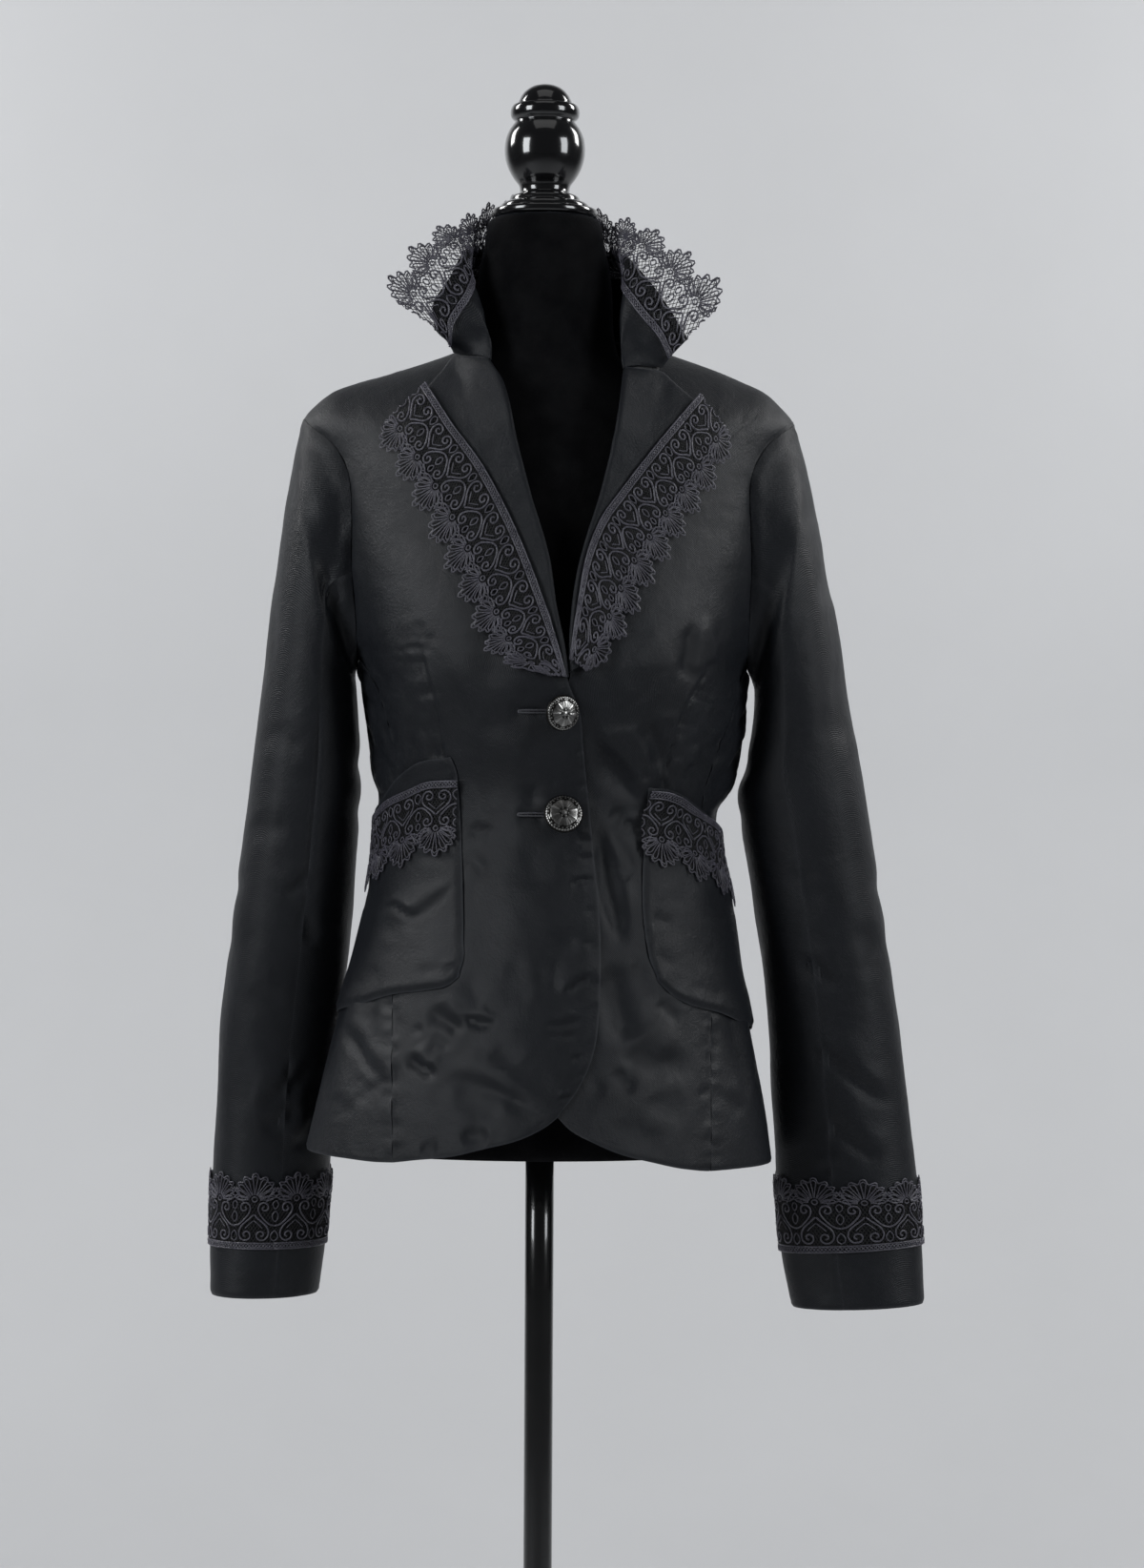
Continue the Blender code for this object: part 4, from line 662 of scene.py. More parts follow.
# ================================================================ grids
def spline(x, xs):
    """Weights that carry values at x onto a smooth curve read at xs."""
    x, xs = np.asarray(x, float), np.asarray(xs, float)
    n, h = len(x), np.diff(x)
    A, B = np.eye(n), np.zeros((n, n))
    for i in range(1, n - 1):
        A[i, i - 1], A[i, i], A[i, i + 1] = h[i - 1], 2 * (h[i - 1] + h[i]), h[i]
        B[i, i - 1], B[i, i], B[i, i + 1] = 6 / h[i - 1], -6 / h[i - 1] - 6 / h[i], 6 / h[i]
    M = np.linalg.solve(A, B)
    W = np.zeros((len(xs), n))
    for r, v in enumerate(xs):
        i = int(np.clip(np.searchsorted(x, v) - 1, 0, n - 2))
        a, b = (x[i + 1] - v) / h[i], (v - x[i]) / h[i]
        W[r] = ((a ** 3 - a) * M[i] + (b ** 3 - b) * M[i + 1]) * h[i] ** 2 / 6
        W[r, i] += a
        W[r, i + 1] += b
    return W


def along(G, axis):
    d = np.linalg.norm(np.diff(G, axis=axis), axis=2).mean(axis=1 - axis)
    return np.concatenate([[0.0], np.cumsum(np.maximum(d, 1e-3))])


def refine(G, rows, cols):
    """A coarse grid of points made fine and evenly spaced."""
    G = np.asarray(G, float)
    pr, pc = along(G, 0), along(G, 1)
    Wr, Wc = spline(pr, np.linspace(0, pr[-1], rows)), spline(pc, np.linspace(0, pc[-1], cols))
    return np.einsum("ri,ijk,cj->rck", Wr, G, Wc)


def unit(v):
    return v / np.maximum(np.linalg.norm(v, axis=-1, keepdims=True), 1e-9)


def normals(G, ref, ring=False):
    """Unit normals of a grid; they point roughly along ref, or away from it where it is a point's array."""
    if ring:
        du = np.roll(G, -1, axis=1) - np.roll(G, 1, axis=1)
    else:
        du = np.gradient(G, axis=1)
    n = unit(np.cross(du, np.gradient(G, axis=0)))
    m = (G.shape[0] // 2, G.shape[1] // 2)
    return n if float(np.dot(n[m], np.asarray(ref, float))) > 0 else -n


def edges(G):
    """Distances along the cloth from the four edges: first column, last column, first row, last row."""
    c = np.linalg.norm(np.diff(G, axis=1), axis=2)
    r = np.linalg.norm(np.diff(G, axis=0), axis=2)
    left = np.concatenate([np.zeros((G.shape[0], 1)), np.cumsum(c, axis=1)], axis=1)
    low = np.concatenate([np.zeros((1, G.shape[1])), np.cumsum(r, axis=0)], axis=0)
    return left, left[:, -1:] - left, low, low[-1:, :] - low


def drawn(G):
    """Where the points are seen from EYE, in the plane of the pole's axis."""
    k = (G[..., 1] - EYE[1]) / -EYE[1]
    return np.stack([EYE[0] + (G[..., 0] - EYE[0]) / k, EYE[2] + (G[..., 2] - EYE[2]) / k], axis=-1)


# ---------------------------------------------------------------- smooth noise and listed folds
def wave(L, step, seed):
    """Smooth one-dimensional noise from -1 to 1 with a new value about every step."""
    rng = np.random.default_rng(seed)
    knots = rng.uniform(-1, 1, 4096)
    t = np.asarray(L, float) / step + 700
    i = np.floor(t).astype(int)
    f = t - i
    f = f * f * (3 - 2 * f)
    return knots[i % 4096] * (1 - f) + knots[(i + 1) % 4096] * f


def dents(P, step, seed):
    """Smooth two-dimensional noise from -1 to 1."""
    rng = np.random.default_rng(seed)
    knots = rng.uniform(-1, 1, (256, 256))
    t = P / step + 97.3
    i = np.floor(t).astype(int)
    f = t - i
    f = f * f * (3 - 2 * f)
    a, b = i[..., 0] % 256, i[..., 1] % 256
    a1, b1 = (a + 1) % 256, (b + 1) % 256
    return ((knots[a, b] * (1 - f[..., 0]) + knots[a1, b] * f[..., 0]) * (1 - f[..., 1])
            + (knots[a, b1] * (1 - f[..., 0]) + knots[a1, b1] * f[..., 0]) * f[..., 1])


def polyline(points, n=14):
    p = np.asarray(points, float)
    if len(p) == 2:
        return p[0] + (p[1] - p[0]) * np.linspace(0, 1, n + 1)[:, None]
    d = np.concatenate([[0.0], np.cumsum(np.linalg.norm(np.diff(p, axis=0), axis=1))])
    return spline(d, np.linspace(0, d[-1], n + 1)) @ p


def near(P, line):
    """Signed distance from P to a line (+ on its left) and the place along it, 0 to 1."""
    best = np.full(P.shape[:-1], 1e9)
    side = np.zeros(P.shape[:-1])
    place_on = np.zeros(P.shape[:-1])
    n = len(line) - 1
    for i in range(n):
        a, d = line[i], line[i + 1] - line[i]
        L2 = float(d @ d) + 1e-12
        rel = P - a
        t = np.clip((rel @ d) / L2, 0, 1)
        q = rel - t[..., None] * d
        dist = np.hypot(q[..., 0], q[..., 1])
        hit = dist < best
        best = np.where(hit, dist, best)
        side = np.where(hit, np.sign(d[0] * rel[..., 1] - d[1] * rel[..., 0]), side)
        place_on = np.where(hit, (i + t) / n, place_on)
    return best * side, place_on


def fold(P, points, width, depth, lip=0.0, ends=(0.3, 0.3)):
    """Height of a crease along a given line: a trough of that depth (a ridge where it is negative),
    with a ridge of lip times the depth on its left, or on its right where lip is negative."""
    line = polyline(points)
    lo, hi = line.min(axis=0) - 4 * width, line.max(axis=0) + 4 * width
    inside = ((P >= lo) & (P <= hi)).all(axis=-1)
    out = np.zeros(P.shape[:-1])
    if not inside.any():
        return out
    d, t = near(P[inside], line)
    e0, e1 = max(ends[0], 1e-3), max(ends[1], 1e-3)
    taper = np.clip(t / e0, 0, 1) * np.clip((1 - t) / e1, 0, 1)
    taper = taper * taper * (3 - 2 * taper)
    w = width * (0.75 + 0.4 * taper) * (1 + 0.15 * np.sin(9 * t + width * 3))
    h = -depth * np.exp(-(d / w) ** 2)
    if lip:
        h = h + abs(lip) * abs(depth) * np.exp(-((d - np.sign(lip) * 1.9 * w) / (1.3 * w)) ** 2)
    out[inside] = h * taper
    return out


def seen(*pixels):
    """Points measured on the picture, carried to the drawing plane of EYE."""
    return [((x - 568.2 - 0.0052 * (822 - y)) * 0.7, 800 + (1220 - y - 0.0052 * (x - 600)) * 0.7) for x, y in pixels]


def stitched(d, L, at, depth, seed, gather=0.3, step=6.0, reach=5.0):
    """Height near a line of stitches, at a distance from an edge: a groove, and the cloth gathered along it."""
    g = wave(L, step, seed) + 0.6 * wave(L, step * 0.45, seed + 1)
    return -depth * np.exp(-((d - at) / 0.9) ** 2) + gather * g * np.exp(-(np.abs(d - at) / reach) ** 1.5)


def band(x, lo, hi, soft):
    """1 between lo and hi, falling off over soft outside."""
    return np.clip((x - lo) / soft + 1, 0, 1) * np.clip((hi - x) / soft + 1, 0, 1)


# ---------------------------------------------------------------- meshes
def link(name, verts, faces, mat, node=None, uv=None, tint=None, sharp=None):
    """A piece from millimetre points; it rides on the one body and may stand for a CAD node."""
    mesh = bpy.data.meshes.new(name)
    mesh.from_pydata((np.asarray(verts, float) * 0.001).tolist(), [], faces)
    if uv is not None:
        layer = mesh.uv_layers.new(name="cloth")
        index = np.empty(len(mesh.loops), dtype=np.int32)
        mesh.loops.foreach_get("vertex_index", index)
        layer.data.foreach_set("uv", np.asarray(uv, np.float32)[index].ravel())
    if tint is not None:
        a = mesh.attributes.new("tint", "FLOAT", "POINT")
        a.data.foreach_set("value", np.asarray(tint, np.float32).ravel())
    mesh.shade_smooth()
    if sharp:
        mesh.set_sharp_from_angle(angle=math.radians(sharp))
    ob = bpy.data.objects.new(name, mesh)
    bpy.context.scene.collection.objects.link(ob)
    mesh.materials.append(mat)
    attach(ob, "root")
    if node:
        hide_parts(*([node] if isinstance(node, str) else node))
    return ob


def cloth(name, G, N, thick, mat, node=None, ring=False, tint=None, cut=None):
    """A closed cloth wall: the fine face that shows, and a coarser one thick behind it."""
    R, C = G.shape[:2]
    inner = (G - N * thick)[::3, ::3]
    Ri, Ci = inner.shape[:2]
    no = R * C
    verts = np.concatenate([G.reshape(-1, 3), inner.reshape(-1, 3)])
    faces = []
    cc = C if ring else C - 1
    r, c = np.meshgrid(np.arange(R - 1), np.arange(cc), indexing="ij")
    c1 = (c + 1) % C
    quads = np.stack([r * C + c, r * C + c1, (r + 1) * C + c1, (r + 1) * C + c], axis=-1).reshape(-1, 4)
    ci = Ci if ring else Ci - 1
    r, c = np.meshgrid(np.arange(Ri - 1), np.arange(ci), indexing="ij")
    c1 = (c + 1) % Ci
    back = no + np.stack([r * Ci + c, (r + 1) * Ci + c, (r + 1) * Ci + c1, r * Ci + c1], axis=-1).reshape(-1, 4)

    def o(i, j):
        return i * C + j % C

    def n(i, j):
        return no + i * Ci + j % Ci

    loops = []
    if ring:
        loops.append(([o(0, j) for j in range(C + 1)], [n(0, j) for j in range(Ci + 1)]))
        loops.append(([o(R - 1, j) for j in range(C, -1, -1)], [n(Ri - 1, j) for j in range(Ci, -1, -1)]))
    else:
        loops.append(([o(0, j) for j in range(C)], [n(0, j) for j in range(Ci)]))
        loops.append(([o(i, C - 1) for i in range(R)], [n(i, Ci - 1) for i in range(Ri)]))
        loops.append(([o(R - 1, j) for j in range(C - 1, -1, -1)], [n(Ri - 1, j) for j in range(Ci - 1, -1, -1)]))
        loops.append(([o(i, 0) for i in range(R - 1, -1, -1)], [n(i, 0) for i in range(Ri - 1, -1, -1)]))
    rim = []
    for outer, inn in loops:
        for k in range(len(inn) - 1):
            a, b = inn[k], inn[k + 1]
            d = outer[3 * k:3 * k + 4]
            rim += [(d[1], d[0], a), (d[2], d[1], a, b), (d[3], d[2], b)]
    m = (R // 2, C // 2)
    v = np.cross(G[m[0], m[1] + 1] - G[m], G[m[0] + 1, m[1]] - G[m])
    flip = float(np.dot(v, N[m])) < 0
    faces = quads.tolist() + back.tolist() + rim
    if flip:
        faces = [f[::-1] for f in faces]
    left, right, low, _ = edges(G)
    uv = np.stack([left - left[:, -1:] / 2, low], axis=-1) * 0.001
    uv = np.concatenate([uv.reshape(-1, 2), uv[::3, ::3].reshape(-1, 2)])
    if tint is not None:
        tint = np.concatenate([tint.ravel(), tint[::3, ::3].ravel()])
    ob = link(name, verts, faces, mat, node, uv, tint, sharp=58)
    # the cut: longest row by longest column, and the area of the face that shows
    g = G * 0.001
    if ring:
        g = np.concatenate([g, g[:, :1]], axis=1)
    a = np.linalg.norm(np.cross(g[1:, :-1] - g[:-1, :-1], g[:-1, 1:] - g[:-1, :-1]), axis=2).sum() / 2
    a += np.linalg.norm(np.cross(g[:-1, 1:] - g[1:, 1:], g[1:, :-1] - g[1:, 1:]), axis=2).sum() / 2
    w = float(np.linalg.norm(np.diff(g, axis=1), axis=2).sum(axis=1).max())
    l = float(np.linalg.norm(np.diff(g, axis=0), axis=2).sum(axis=0).max())
    if cut is None:
        cut = (round(w, 3), round(l, 3))
    return ob


TRIMS = {}                 # trimmings and allowances, by the cloth piece that they are sewn to


# ================================================================ materials
def nodes_of(name, colour, roughness, metallic=0.0):
    mat = bpy.data.materials.new(name)
    mat.use_nodes = True
    tree = mat.node_tree
    bsdf = tree.nodes["Principled BSDF"]
    bsdf.inputs["Base Color"].default_value = (*colour, 1)
    bsdf.inputs["Roughness"].default_value = roughness
    bsdf.inputs["Metallic"].default_value = metallic
    return mat, tree, bsdf


def add_node(tree, kind, **values):
    node = tree.nodes.new(kind)
    for key, v in values.items():
        if hasattr(node, key):
            setattr(node, key, v)
        else:
            node.inputs[key.replace("_", " ")].default_value = v
    return node


def noise_node(tree, vector, scale, detail=3.0, rough=0.5, distortion=0.0):
    n = add_node(tree, "ShaderNodeTexNoise")
    n.inputs["Scale"].default_value = scale
    n.inputs["Detail"].default_value = detail
    n.inputs["Roughness"].default_value = rough
    n.inputs["Distortion"].default_value = distortion
    if vector is not None:
        tree.links.new(vector, n.inputs["Vector"])
    return n.outputs["Fac"]


def ramp(tree, value, stops):
    n = add_node(tree, "ShaderNodeValToRGB")
    while len(n.color_ramp.elements) < len(stops):
        n.color_ramp.elements.new(0.5)
    for e, (p, c) in zip(n.color_ramp.elements, stops):
        e.position = p
        e.color = (*c, 1) if len(c) == 3 else c
    tree.links.new(value, n.inputs["Fac"])
    return n.outputs["Color"]


def span(tree, value, lo, hi):
    n = add_node(tree, "ShaderNodeMapRange")
    n.inputs["To Min"].default_value = lo
    n.inputs["To Max"].default_value = hi
    tree.links.new(value, n.inputs["Value"])
    return n.outputs["Result"]


def math_node(tree, op, a, b):
    n = add_node(tree, "ShaderNodeMath", operation=op)
    for i, v in enumerate((a, b)):
        if isinstance(v, (int, float)):
            n.inputs[i].default_value = v
        else:
            tree.links.new(v, n.inputs[i])
    return n.outputs[0]


def bump(tree, bsdf, height, distance, strength=1.0, before=None):
    n = add_node(tree, "ShaderNodeBump")
    n.inputs["Distance"].default_value = distance
    n.inputs["Strength"].default_value = strength
    tree.links.new(height, n.inputs["Height"])
    if before is not None:
        tree.links.new(before, n.inputs["Normal"])
    tree.links.new(n.outputs["Normal"], bsdf.inputs["Normal"])
    return n.outputs["Normal"]


def sateen():
    """Black cotton sateen: fine diagonal weave, soft sheen, cloudy wear, and paler edges that are partly wear and
    partly painted sheen.
    """
    mat, tree, bsdf = nodes_of("cloth_sateen", (0.0135, 0.0145, 0.0165), 0.5)
    bsdf.inputs["Sheen Weight"].default_value = 0.035
    bsdf.inputs["Sheen Roughness"].default_value = 0.4
    bsdf.inputs["Sheen Tint"].default_value = (0.85, 0.9, 1.0, 1)
    bsdf.inputs["Specular IOR Level"].default_value = 0.3
    uv = add_node(tree, "ShaderNodeUVMap").outputs["UV"]
    where = add_node(tree, "ShaderNodeTexCoord").outputs["Object"]
    cloud = noise_node(tree, where, 22.0, 4.0, 0.6)
    fleck = noise_node(tree, where, 900.0, 2.0, 0.7)
    tint = add_node(tree, "ShaderNodeAttribute", attribute_name="tint").outputs["Fac"]
    base = ramp(tree, cloud, [(0.25, (0.0042, 0.0052, 0.0074)), (0.55, (0.0064, 0.0076, 0.0102)), (0.8, (0.0094, 0.0108, 0.0140))])
    # paler edges, driven by the tint attribute: partly the cloth's wear, partly painted sheen where light catches the
    # edges
    edge_wear_and_sheen = add_node(tree, "ShaderNodeMix", data_type="RGBA")
    edge_wear_and_sheen.inputs["B"].default_value = (0.055, 0.058, 0.066, 1)
    tree.links.new(base, edge_wear_and_sheen.inputs["A"])
    tree.links.new(math_node(tree, "MULTIPLY", tint, span(tree, fleck, 0.3, 1.0)), edge_wear_and_sheen.inputs["Factor"])
    tree.links.new(edge_wear_and_sheen.outputs["Result"], bsdf.inputs["Base Color"])
    tree.links.new(span(tree, noise_node(tree, where, 60.0, 3.0), 0.42, 0.58), bsdf.inputs["Roughness"])
    weave = add_node(tree, "ShaderNodeTexWave", wave_type="BANDS", bands_direction="DIAGONAL")
    weave.inputs["Scale"].default_value = 420.0
    weave.inputs["Distortion"].default_value = 1.5
    weave.inputs["Detail"].default_value = 1.0
    weave.inputs["Detail Scale"].default_value = 3.0
    tree.links.new(uv, weave.inputs["Vector"])
    soft = bump(tree, bsdf, noise_node(tree, where, 75.0, 3.0, 0.6), 0.0012, 0.5)
    fine = bump(tree, bsdf, noise_node(tree, where, 620.0, 2.0, 0.6), 0.0003, 0.75, soft)
    bump(tree, bsdf, weave.outputs["Fac"], 0.00018, 0.6, fine)
    return mat


def thread(name, colour, rough=0.42, sheen=0.5):
    """Lustrous black embroidery thread, laid in fine turns."""
    mat, tree, bsdf = nodes_of(name, colour, rough)
    bsdf.inputs["Sheen Weight"].default_value = sheen
    bsdf.inputs["Sheen Roughness"].default_value = 0.35
    bsdf.inputs["Sheen Tint"].default_value = (0.82, 0.78, 1.0, 1)
    bsdf.inputs["Specular IOR Level"].default_value = 0.6
    where = add_node(tree, "ShaderNodeTexCoord").outputs["Object"]
    strand = noise_node(tree, where, 1500.0, 2.0, 0.6)
    patch = noise_node(tree, where, 120.0, 2.0, 0.5)
    c0 = tuple(v * 0.6 for v in colour)
    c1 = tuple(min(1, v * 2.1) for v in colour)
    tree.links.new(ramp(tree, math_node(tree, "ADD", math_node(tree, "MULTIPLY", strand, 0.6), math_node(tree, "MULTIPLY", patch, 0.4)),
                        [(0.3, c0), (0.7, c1)]), bsdf.inputs["Base Color"])
    tree.links.new(span(tree, patch, rough - 0.08, rough + 0.12), bsdf.inputs["Roughness"])
    bump(tree, bsdf, strand, 0.0003, 0.8)
    return mat


def velvet_mat():
    mat, tree, bsdf = nodes_of("form_velvet", (0.0025, 0.0025, 0.003), 0.95)
    bsdf.inputs["Sheen Weight"].default_value = 0.12
    bsdf.inputs["Sheen Roughness"].default_value = 0.3
    bsdf.inputs["Sheen Tint"].default_value = (0.8, 0.85, 1.0, 1)
    bsdf.inputs["Specular IOR Level"].default_value = 0.1
    where = add_node(tree, "ShaderNodeTexCoord").outputs["Object"]
    pile = noise_node(tree, where, 700.0, 3.0, 0.7)
    tree.links.new(ramp(tree, noise_node(tree, where, 45.0, 4.0, 0.6), [(0.35, (0.0015, 0.0015, 0.002)), (0.75, (0.0055, 0.0055, 0.006))]),
                   bsdf.inputs["Base Color"])
    bump(tree, bsdf, pile, 0.0006, 0.7)
    return mat


def lacquer_mat(name, colour, rough, coat):
    mat, tree, bsdf = nodes_of(name, colour, rough)
    bsdf.inputs["Coat Weight"].default_value = coat
    bsdf.inputs["Coat Roughness"].default_value = 0.04
    where = add_node(tree, "ShaderNodeTexCoord").outputs["Object"]
    tree.links.new(span(tree, noise_node(tree, where, 35.0, 3.0), rough * 0.75, rough * 1.5), bsdf.inputs["Roughness"])
    bump(tree, bsdf, noise_node(tree, where, 90.0, 2.0), 0.00008, 0.4)
    return mat


def silver_mat():
    """Antique silver: bright where it is raised and rubbed, dark in the hollows."""
    mat, tree, bsdf = nodes_of("button_silver", (0.55, 0.54, 0.52), 0.3, 1.0)
    where = add_node(tree, "ShaderNodeTexCoord").outputs["Object"]
    tint = add_node(tree, "ShaderNodeAttribute", attribute_name="tint").outputs["Fac"]
    grime = math_node(tree, "ADD", tint, span(tree, noise_node(tree, where, 420.0, 3.0, 0.6), -0.18, 0.18))
    tree.links.new(ramp(tree, grime, [(0.2, (0.018, 0.017, 0.016)), (0.5, (0.26, 0.255, 0.245)), (0.9, (0.78, 0.77, 0.75))]),
                   bsdf.inputs["Base Color"])
    tree.links.new(span(tree, tint, 0.42, 0.2), bsdf.inputs["Roughness"])
    bump(tree, bsdf, noise_node(tree, where, 900.0, 3.0, 0.6), 0.00012, 0.5)
    return mat


def plain_mat(name, colour, rough):
    mat, tree, bsdf = nodes_of(name, colour, rough)
    where = add_node(tree, "ShaderNodeTexCoord").outputs["Object"]
    c0 = tuple(v * 0.965 for v in colour)
    tree.links.new(ramp(tree, noise_node(tree, where, 2.4, 5.0, 0.6), [(0.3, c0), (0.7, colour)]), bsdf.inputs["Base Color"])
    return mat


SATEEN = sateen()
# the cords' colour is lighter than black thread: partly their own tone, partly a painted highlight for the glints of
# the satin stitches
CORD = thread("lace_cord", (0.050, 0.048, 0.060), 0.30, 0.25)
NET = thread("lace_net", (0.0018, 0.0017, 0.0024), 0.7, 0.0)
STITCH = thread("stitch_thread", (0.035, 0.036, 0.04), 0.5, 0.4)
VELVET = velvet_mat()
LACQUER = lacquer_mat("cap_lacquer", (0.004, 0.004, 0.0045), 0.14, 0.8)
POLE = lacquer_mat("pole_gloss", (0.006, 0.006, 0.006), 0.18, 0.6)
BASE = lacquer_mat("base_satin", (0.009, 0.009, 0.01), 0.36, 0.2)
SILVER = silver_mat()


# ================================================================ body panels
ROWS = (800, 806, 813, 822, 835, 850, 867, 884, 900, 920, 940, 960, 980, 1000, 1017, 1034, 1050, 1066, 1082, 1098, 1114,
        1130, 1146, 1160, 1172, 1184, 1198, 1214, 1232, 1250, 1268, 1286, 1304, 1322, 1338, 1353, 1366, 1378, 1387, 1394,
        1398, 1400)
ACROSS = (0, 0.05, 0.1, 0.18, 0.27, 0.37, 0.47, 0.57, 0.67, 0.77, 0.86, 0.94, 1)


def panel(side, inner, outer, top, rows, across, flip=1):
    return np.array([[skin(*place(side * flip, s, q, inner, outer, top)) for s in across] for q in rows])


def drape(P, table):
    h = np.zeros(P.shape[:-1])
    for points, width, depth, *more in table:
        lip = more[0] if more else 0.0
        ends = more[1] if len(more) > 1 else (0.3, 0.3)
        h += fold(P, seen(*points), width, depth, lip, ends)
    return h


# Creases of the fronts: points on the picture, width and depth in mm, and the ridge on one side.
FOLDS = {
    -1: [
        (((440, 652), (438, 680)), 5, 0.9), (((452, 664), (446, 690)), 4, 0.7),
        (((488, 871), (503, 873), (520, 869)), 3.5, 0.9, 0.4), (((488, 896), (500, 906), (512, 922)), 4, 0.6, 0.4),
        (((546, 818), (556, 836), (572, 846)), 6, 0.8), (((500, 770), (530, 758), (560, 752)), 9, 0.7, -0.5),
        (((612, 976), (592, 996), (578, 1022), (574, 1050)), 8, 1.8, 0.5), (((594, 1046), (604, 1032), (622, 1026)), 2.4, 1.5, 0.6),
        (((570, 1075), (590, 1076), (612, 1070)), 2.6, 1.2, 0.5), (((572, 1086), (594, 1087), (610, 1084)), 2.2, 0.8, 0.5),
        (((584, 1152), (594, 1152), (603, 1147)), 1.6, 1.3, 0.5), (((600, 1112), (610, 1109)), 2.0, 1.0, 0.5),
        (((448, 1060), (466, 1072), (488, 1086)), 6, 2.0, 0.5), (((484, 1066), (503, 1075), (524, 1073)), 3.2, 1.6, 0.6),
        (((424, 1108), (440, 1121), (460, 1131)), 4, 2.2, 0.5), (((460, 1136), (506, 1141), (538, 1156), (568, 1174)), 6, 1.9, 0.5),
        (((470, 1152), (500, 1160), (530, 1176)), 9, 1.3, 0.5),
        (((482, 1198), (500, 1193), (514, 1190)), 5, 1.6), (((440, 1206), (460, 1210)), 5, 1.2),
        (((516, 1100), (530, 1110), (538, 1124)), 7, 0.9, 0.4), (((452, 1088), (462, 1094), (470, 1104)), 4, 0.9),
        (((430, 1082), (444, 1082)), 2.6, 1.0), (((546, 1000), (540, 1030), (552, 1060)), 9, 0.9, 0.5),
        (((540, 640), (520, 690), (500, 730)), 11, 1.0, 0.5), (((566, 880), (560, 910), (566, 940)), 9, 0.8, 0.4),
        (((604, 785), (616, 787)), 2.0, 0.8), (((600, 804), (617, 808)), 2.6, 0.9), (((604, 822), (618, 824)), 2.2, 0.7),
        (((604, 880), (621, 883)), 2.2, 1.0, 0.5), (((606, 899), (622, 902)), 2.2, 1.0, 0.5),
        (((598, 931), (608, 925), (622, 924)), 2.0, 1.4, 0.6), (((612, 955), (625, 957)), 2.4, 0.7), (((610, 990), (626, 992)), 2.6, 0.9),
        (((500, 1020), (498, 1040), (510, 1052)), 6, 0.8, 0.4),
        # about the buttonholes
        (((532, 744), (552, 746), (575, 746)), 4, 0.8), (((556, 848), (560, 832), (566, 822)), 3.2, 0.9, 0.4),
        (((540, 853), (556, 856), (576, 858)), 4, 0.9),
    ],
    1: [
        (((728, 650), (722, 678), (720, 700), (730, 716)), 5.5, 2.2, 0.7), (((742, 640), (738, 672), (736, 700)), 5, -1.0),
        (((614, 764), (626, 788), (642, 806), (658, 826), (670, 846)), 7.5, 3.4, 0.55), (((640, 760), (664, 790), (680, 812)), 8, -1.4),
        (((674, 752), (686, 774), (694, 796), (697, 816)), 6.5, 2.8, 0.5), (((664, 796), (672, 806), (680, 821)), 2.6, 1.5, 0.5),
        (((700, 750), (702, 768), (704, 790)), 6, 1.1),
        (((622, 866), (632, 900), (640, 936), (648, 966), (656, 996)), 7.5, 3.6, -0.5), (((638, 850), (646, 890), (654, 930), (664, 970)), 6, -1.2),
        (((634, 1004), (644, 1040), (654, 1074), (664, 1100)), 10, 3.4, -0.4), (((650, 905), (660, 925)), 3, 0.8),
        (((640, 870), (652, 890), (668, 918)), 3.2, 0.9, 0.5),
        (((652, 858), (664, 867), (678, 873)), 3, 1.3, 0.5), (((640, 850), (654, 862)), 5, 1.0),
        (((650, 1096), (676, 1112), (700, 1116), (728, 1108)), 10, 2.4, 0.4), (((640, 1122), (656, 1136), (664, 1150)), 5, 1.3, 0.5),
        (((690, 1046), (704, 1062), (716, 1074)), 4, 1.1, 0.5), (((676, 1150), (700, 1160), (726, 1158)), 9, 1.1, 0.4),
        (((612, 1130), (622, 1140), (634, 1150)), 5, 1.2), (((668, 1000), (676, 1030), (690, 1050)), 5, 1.0, 0.4),
        (((640, 1170), (670, 1190), (700, 1200)), 8, 0.9, 0.4), (((736, 1140), (742, 1150)), 3, 0.9),
        (((650, 700), (668, 712), (690, 732)), 11, 1.2, 0.5), (((628, 690), (640, 720), (652, 742)), 9, 0.8),
        (((688, 812), (696, 824), (704, 836)), 3, 1.2, 0.4), (((612, 815), (618, 835), (624, 850)), 4.5, 1.2),
    ],
}


def near_edge(side, z):
    return front_edge(side, z)


def body_noise(P, seed):
    """Uneven small dents of well-used, pressed cotton."""
    return 0.22 * dents(P * (1.0, 0.8), 17, seed) + 0.10 * dents(P, 7.5, seed + 1) + 0.035 * dents(P, 3.4, seed + 2)


def seam_line(side, P, lo, hi, points, seed, out=1):
    """A seam or dart drawn by points, tight and puckered: lo and hi bound the puckers' reach on each side."""
    line = polyline(seen(*points) if points[0][0] > 300 else list(points), 24)
    lowc, highc = line.min(axis=0) - 26, line.max(axis=0) + 26
    ins = ((P >= lowc) & (P <= highc)).all(axis=-1)
    h = np.zeros(P.shape[:-1])
    d, t = near(P[ins], line)
    d = d * out
    L = t * np.linalg.norm(np.diff(line, axis=0), axis=1).sum()
    fade = np.clip(t / 0.06, 0, 1) * np.clip((1 - t) / 0.02, 0, 1)
    pucker = np.maximum(0, wave(L, 7.0, seed)) + 0.5 * np.maximum(0, wave(L, 3.6, seed + 9))
    reach = np.where(d > 0, hi, lo)
    h[ins] = fade * (-1.1 * np.exp(-(d / 1.1) ** 2) + np.where(d > 0, 0.25, 0.55) * np.exp(-((np.abs(d) - 2.4) / 1.6) ** 2)
                     - np.where(d > 0, 1.1, 0.15) * pucker * np.exp(-((np.abs(d) - 4) / reach) ** 2))
    return h


DART = {-1: ((-91.5, 1186), (-86.5, 1164), (-79.5, 1139.5), (-74.5, 1113.5), (-72.0, 1096)),
        1: ((121, 1162), (104, 1130.5), (95, 1103.5), (88.5, 1076))}


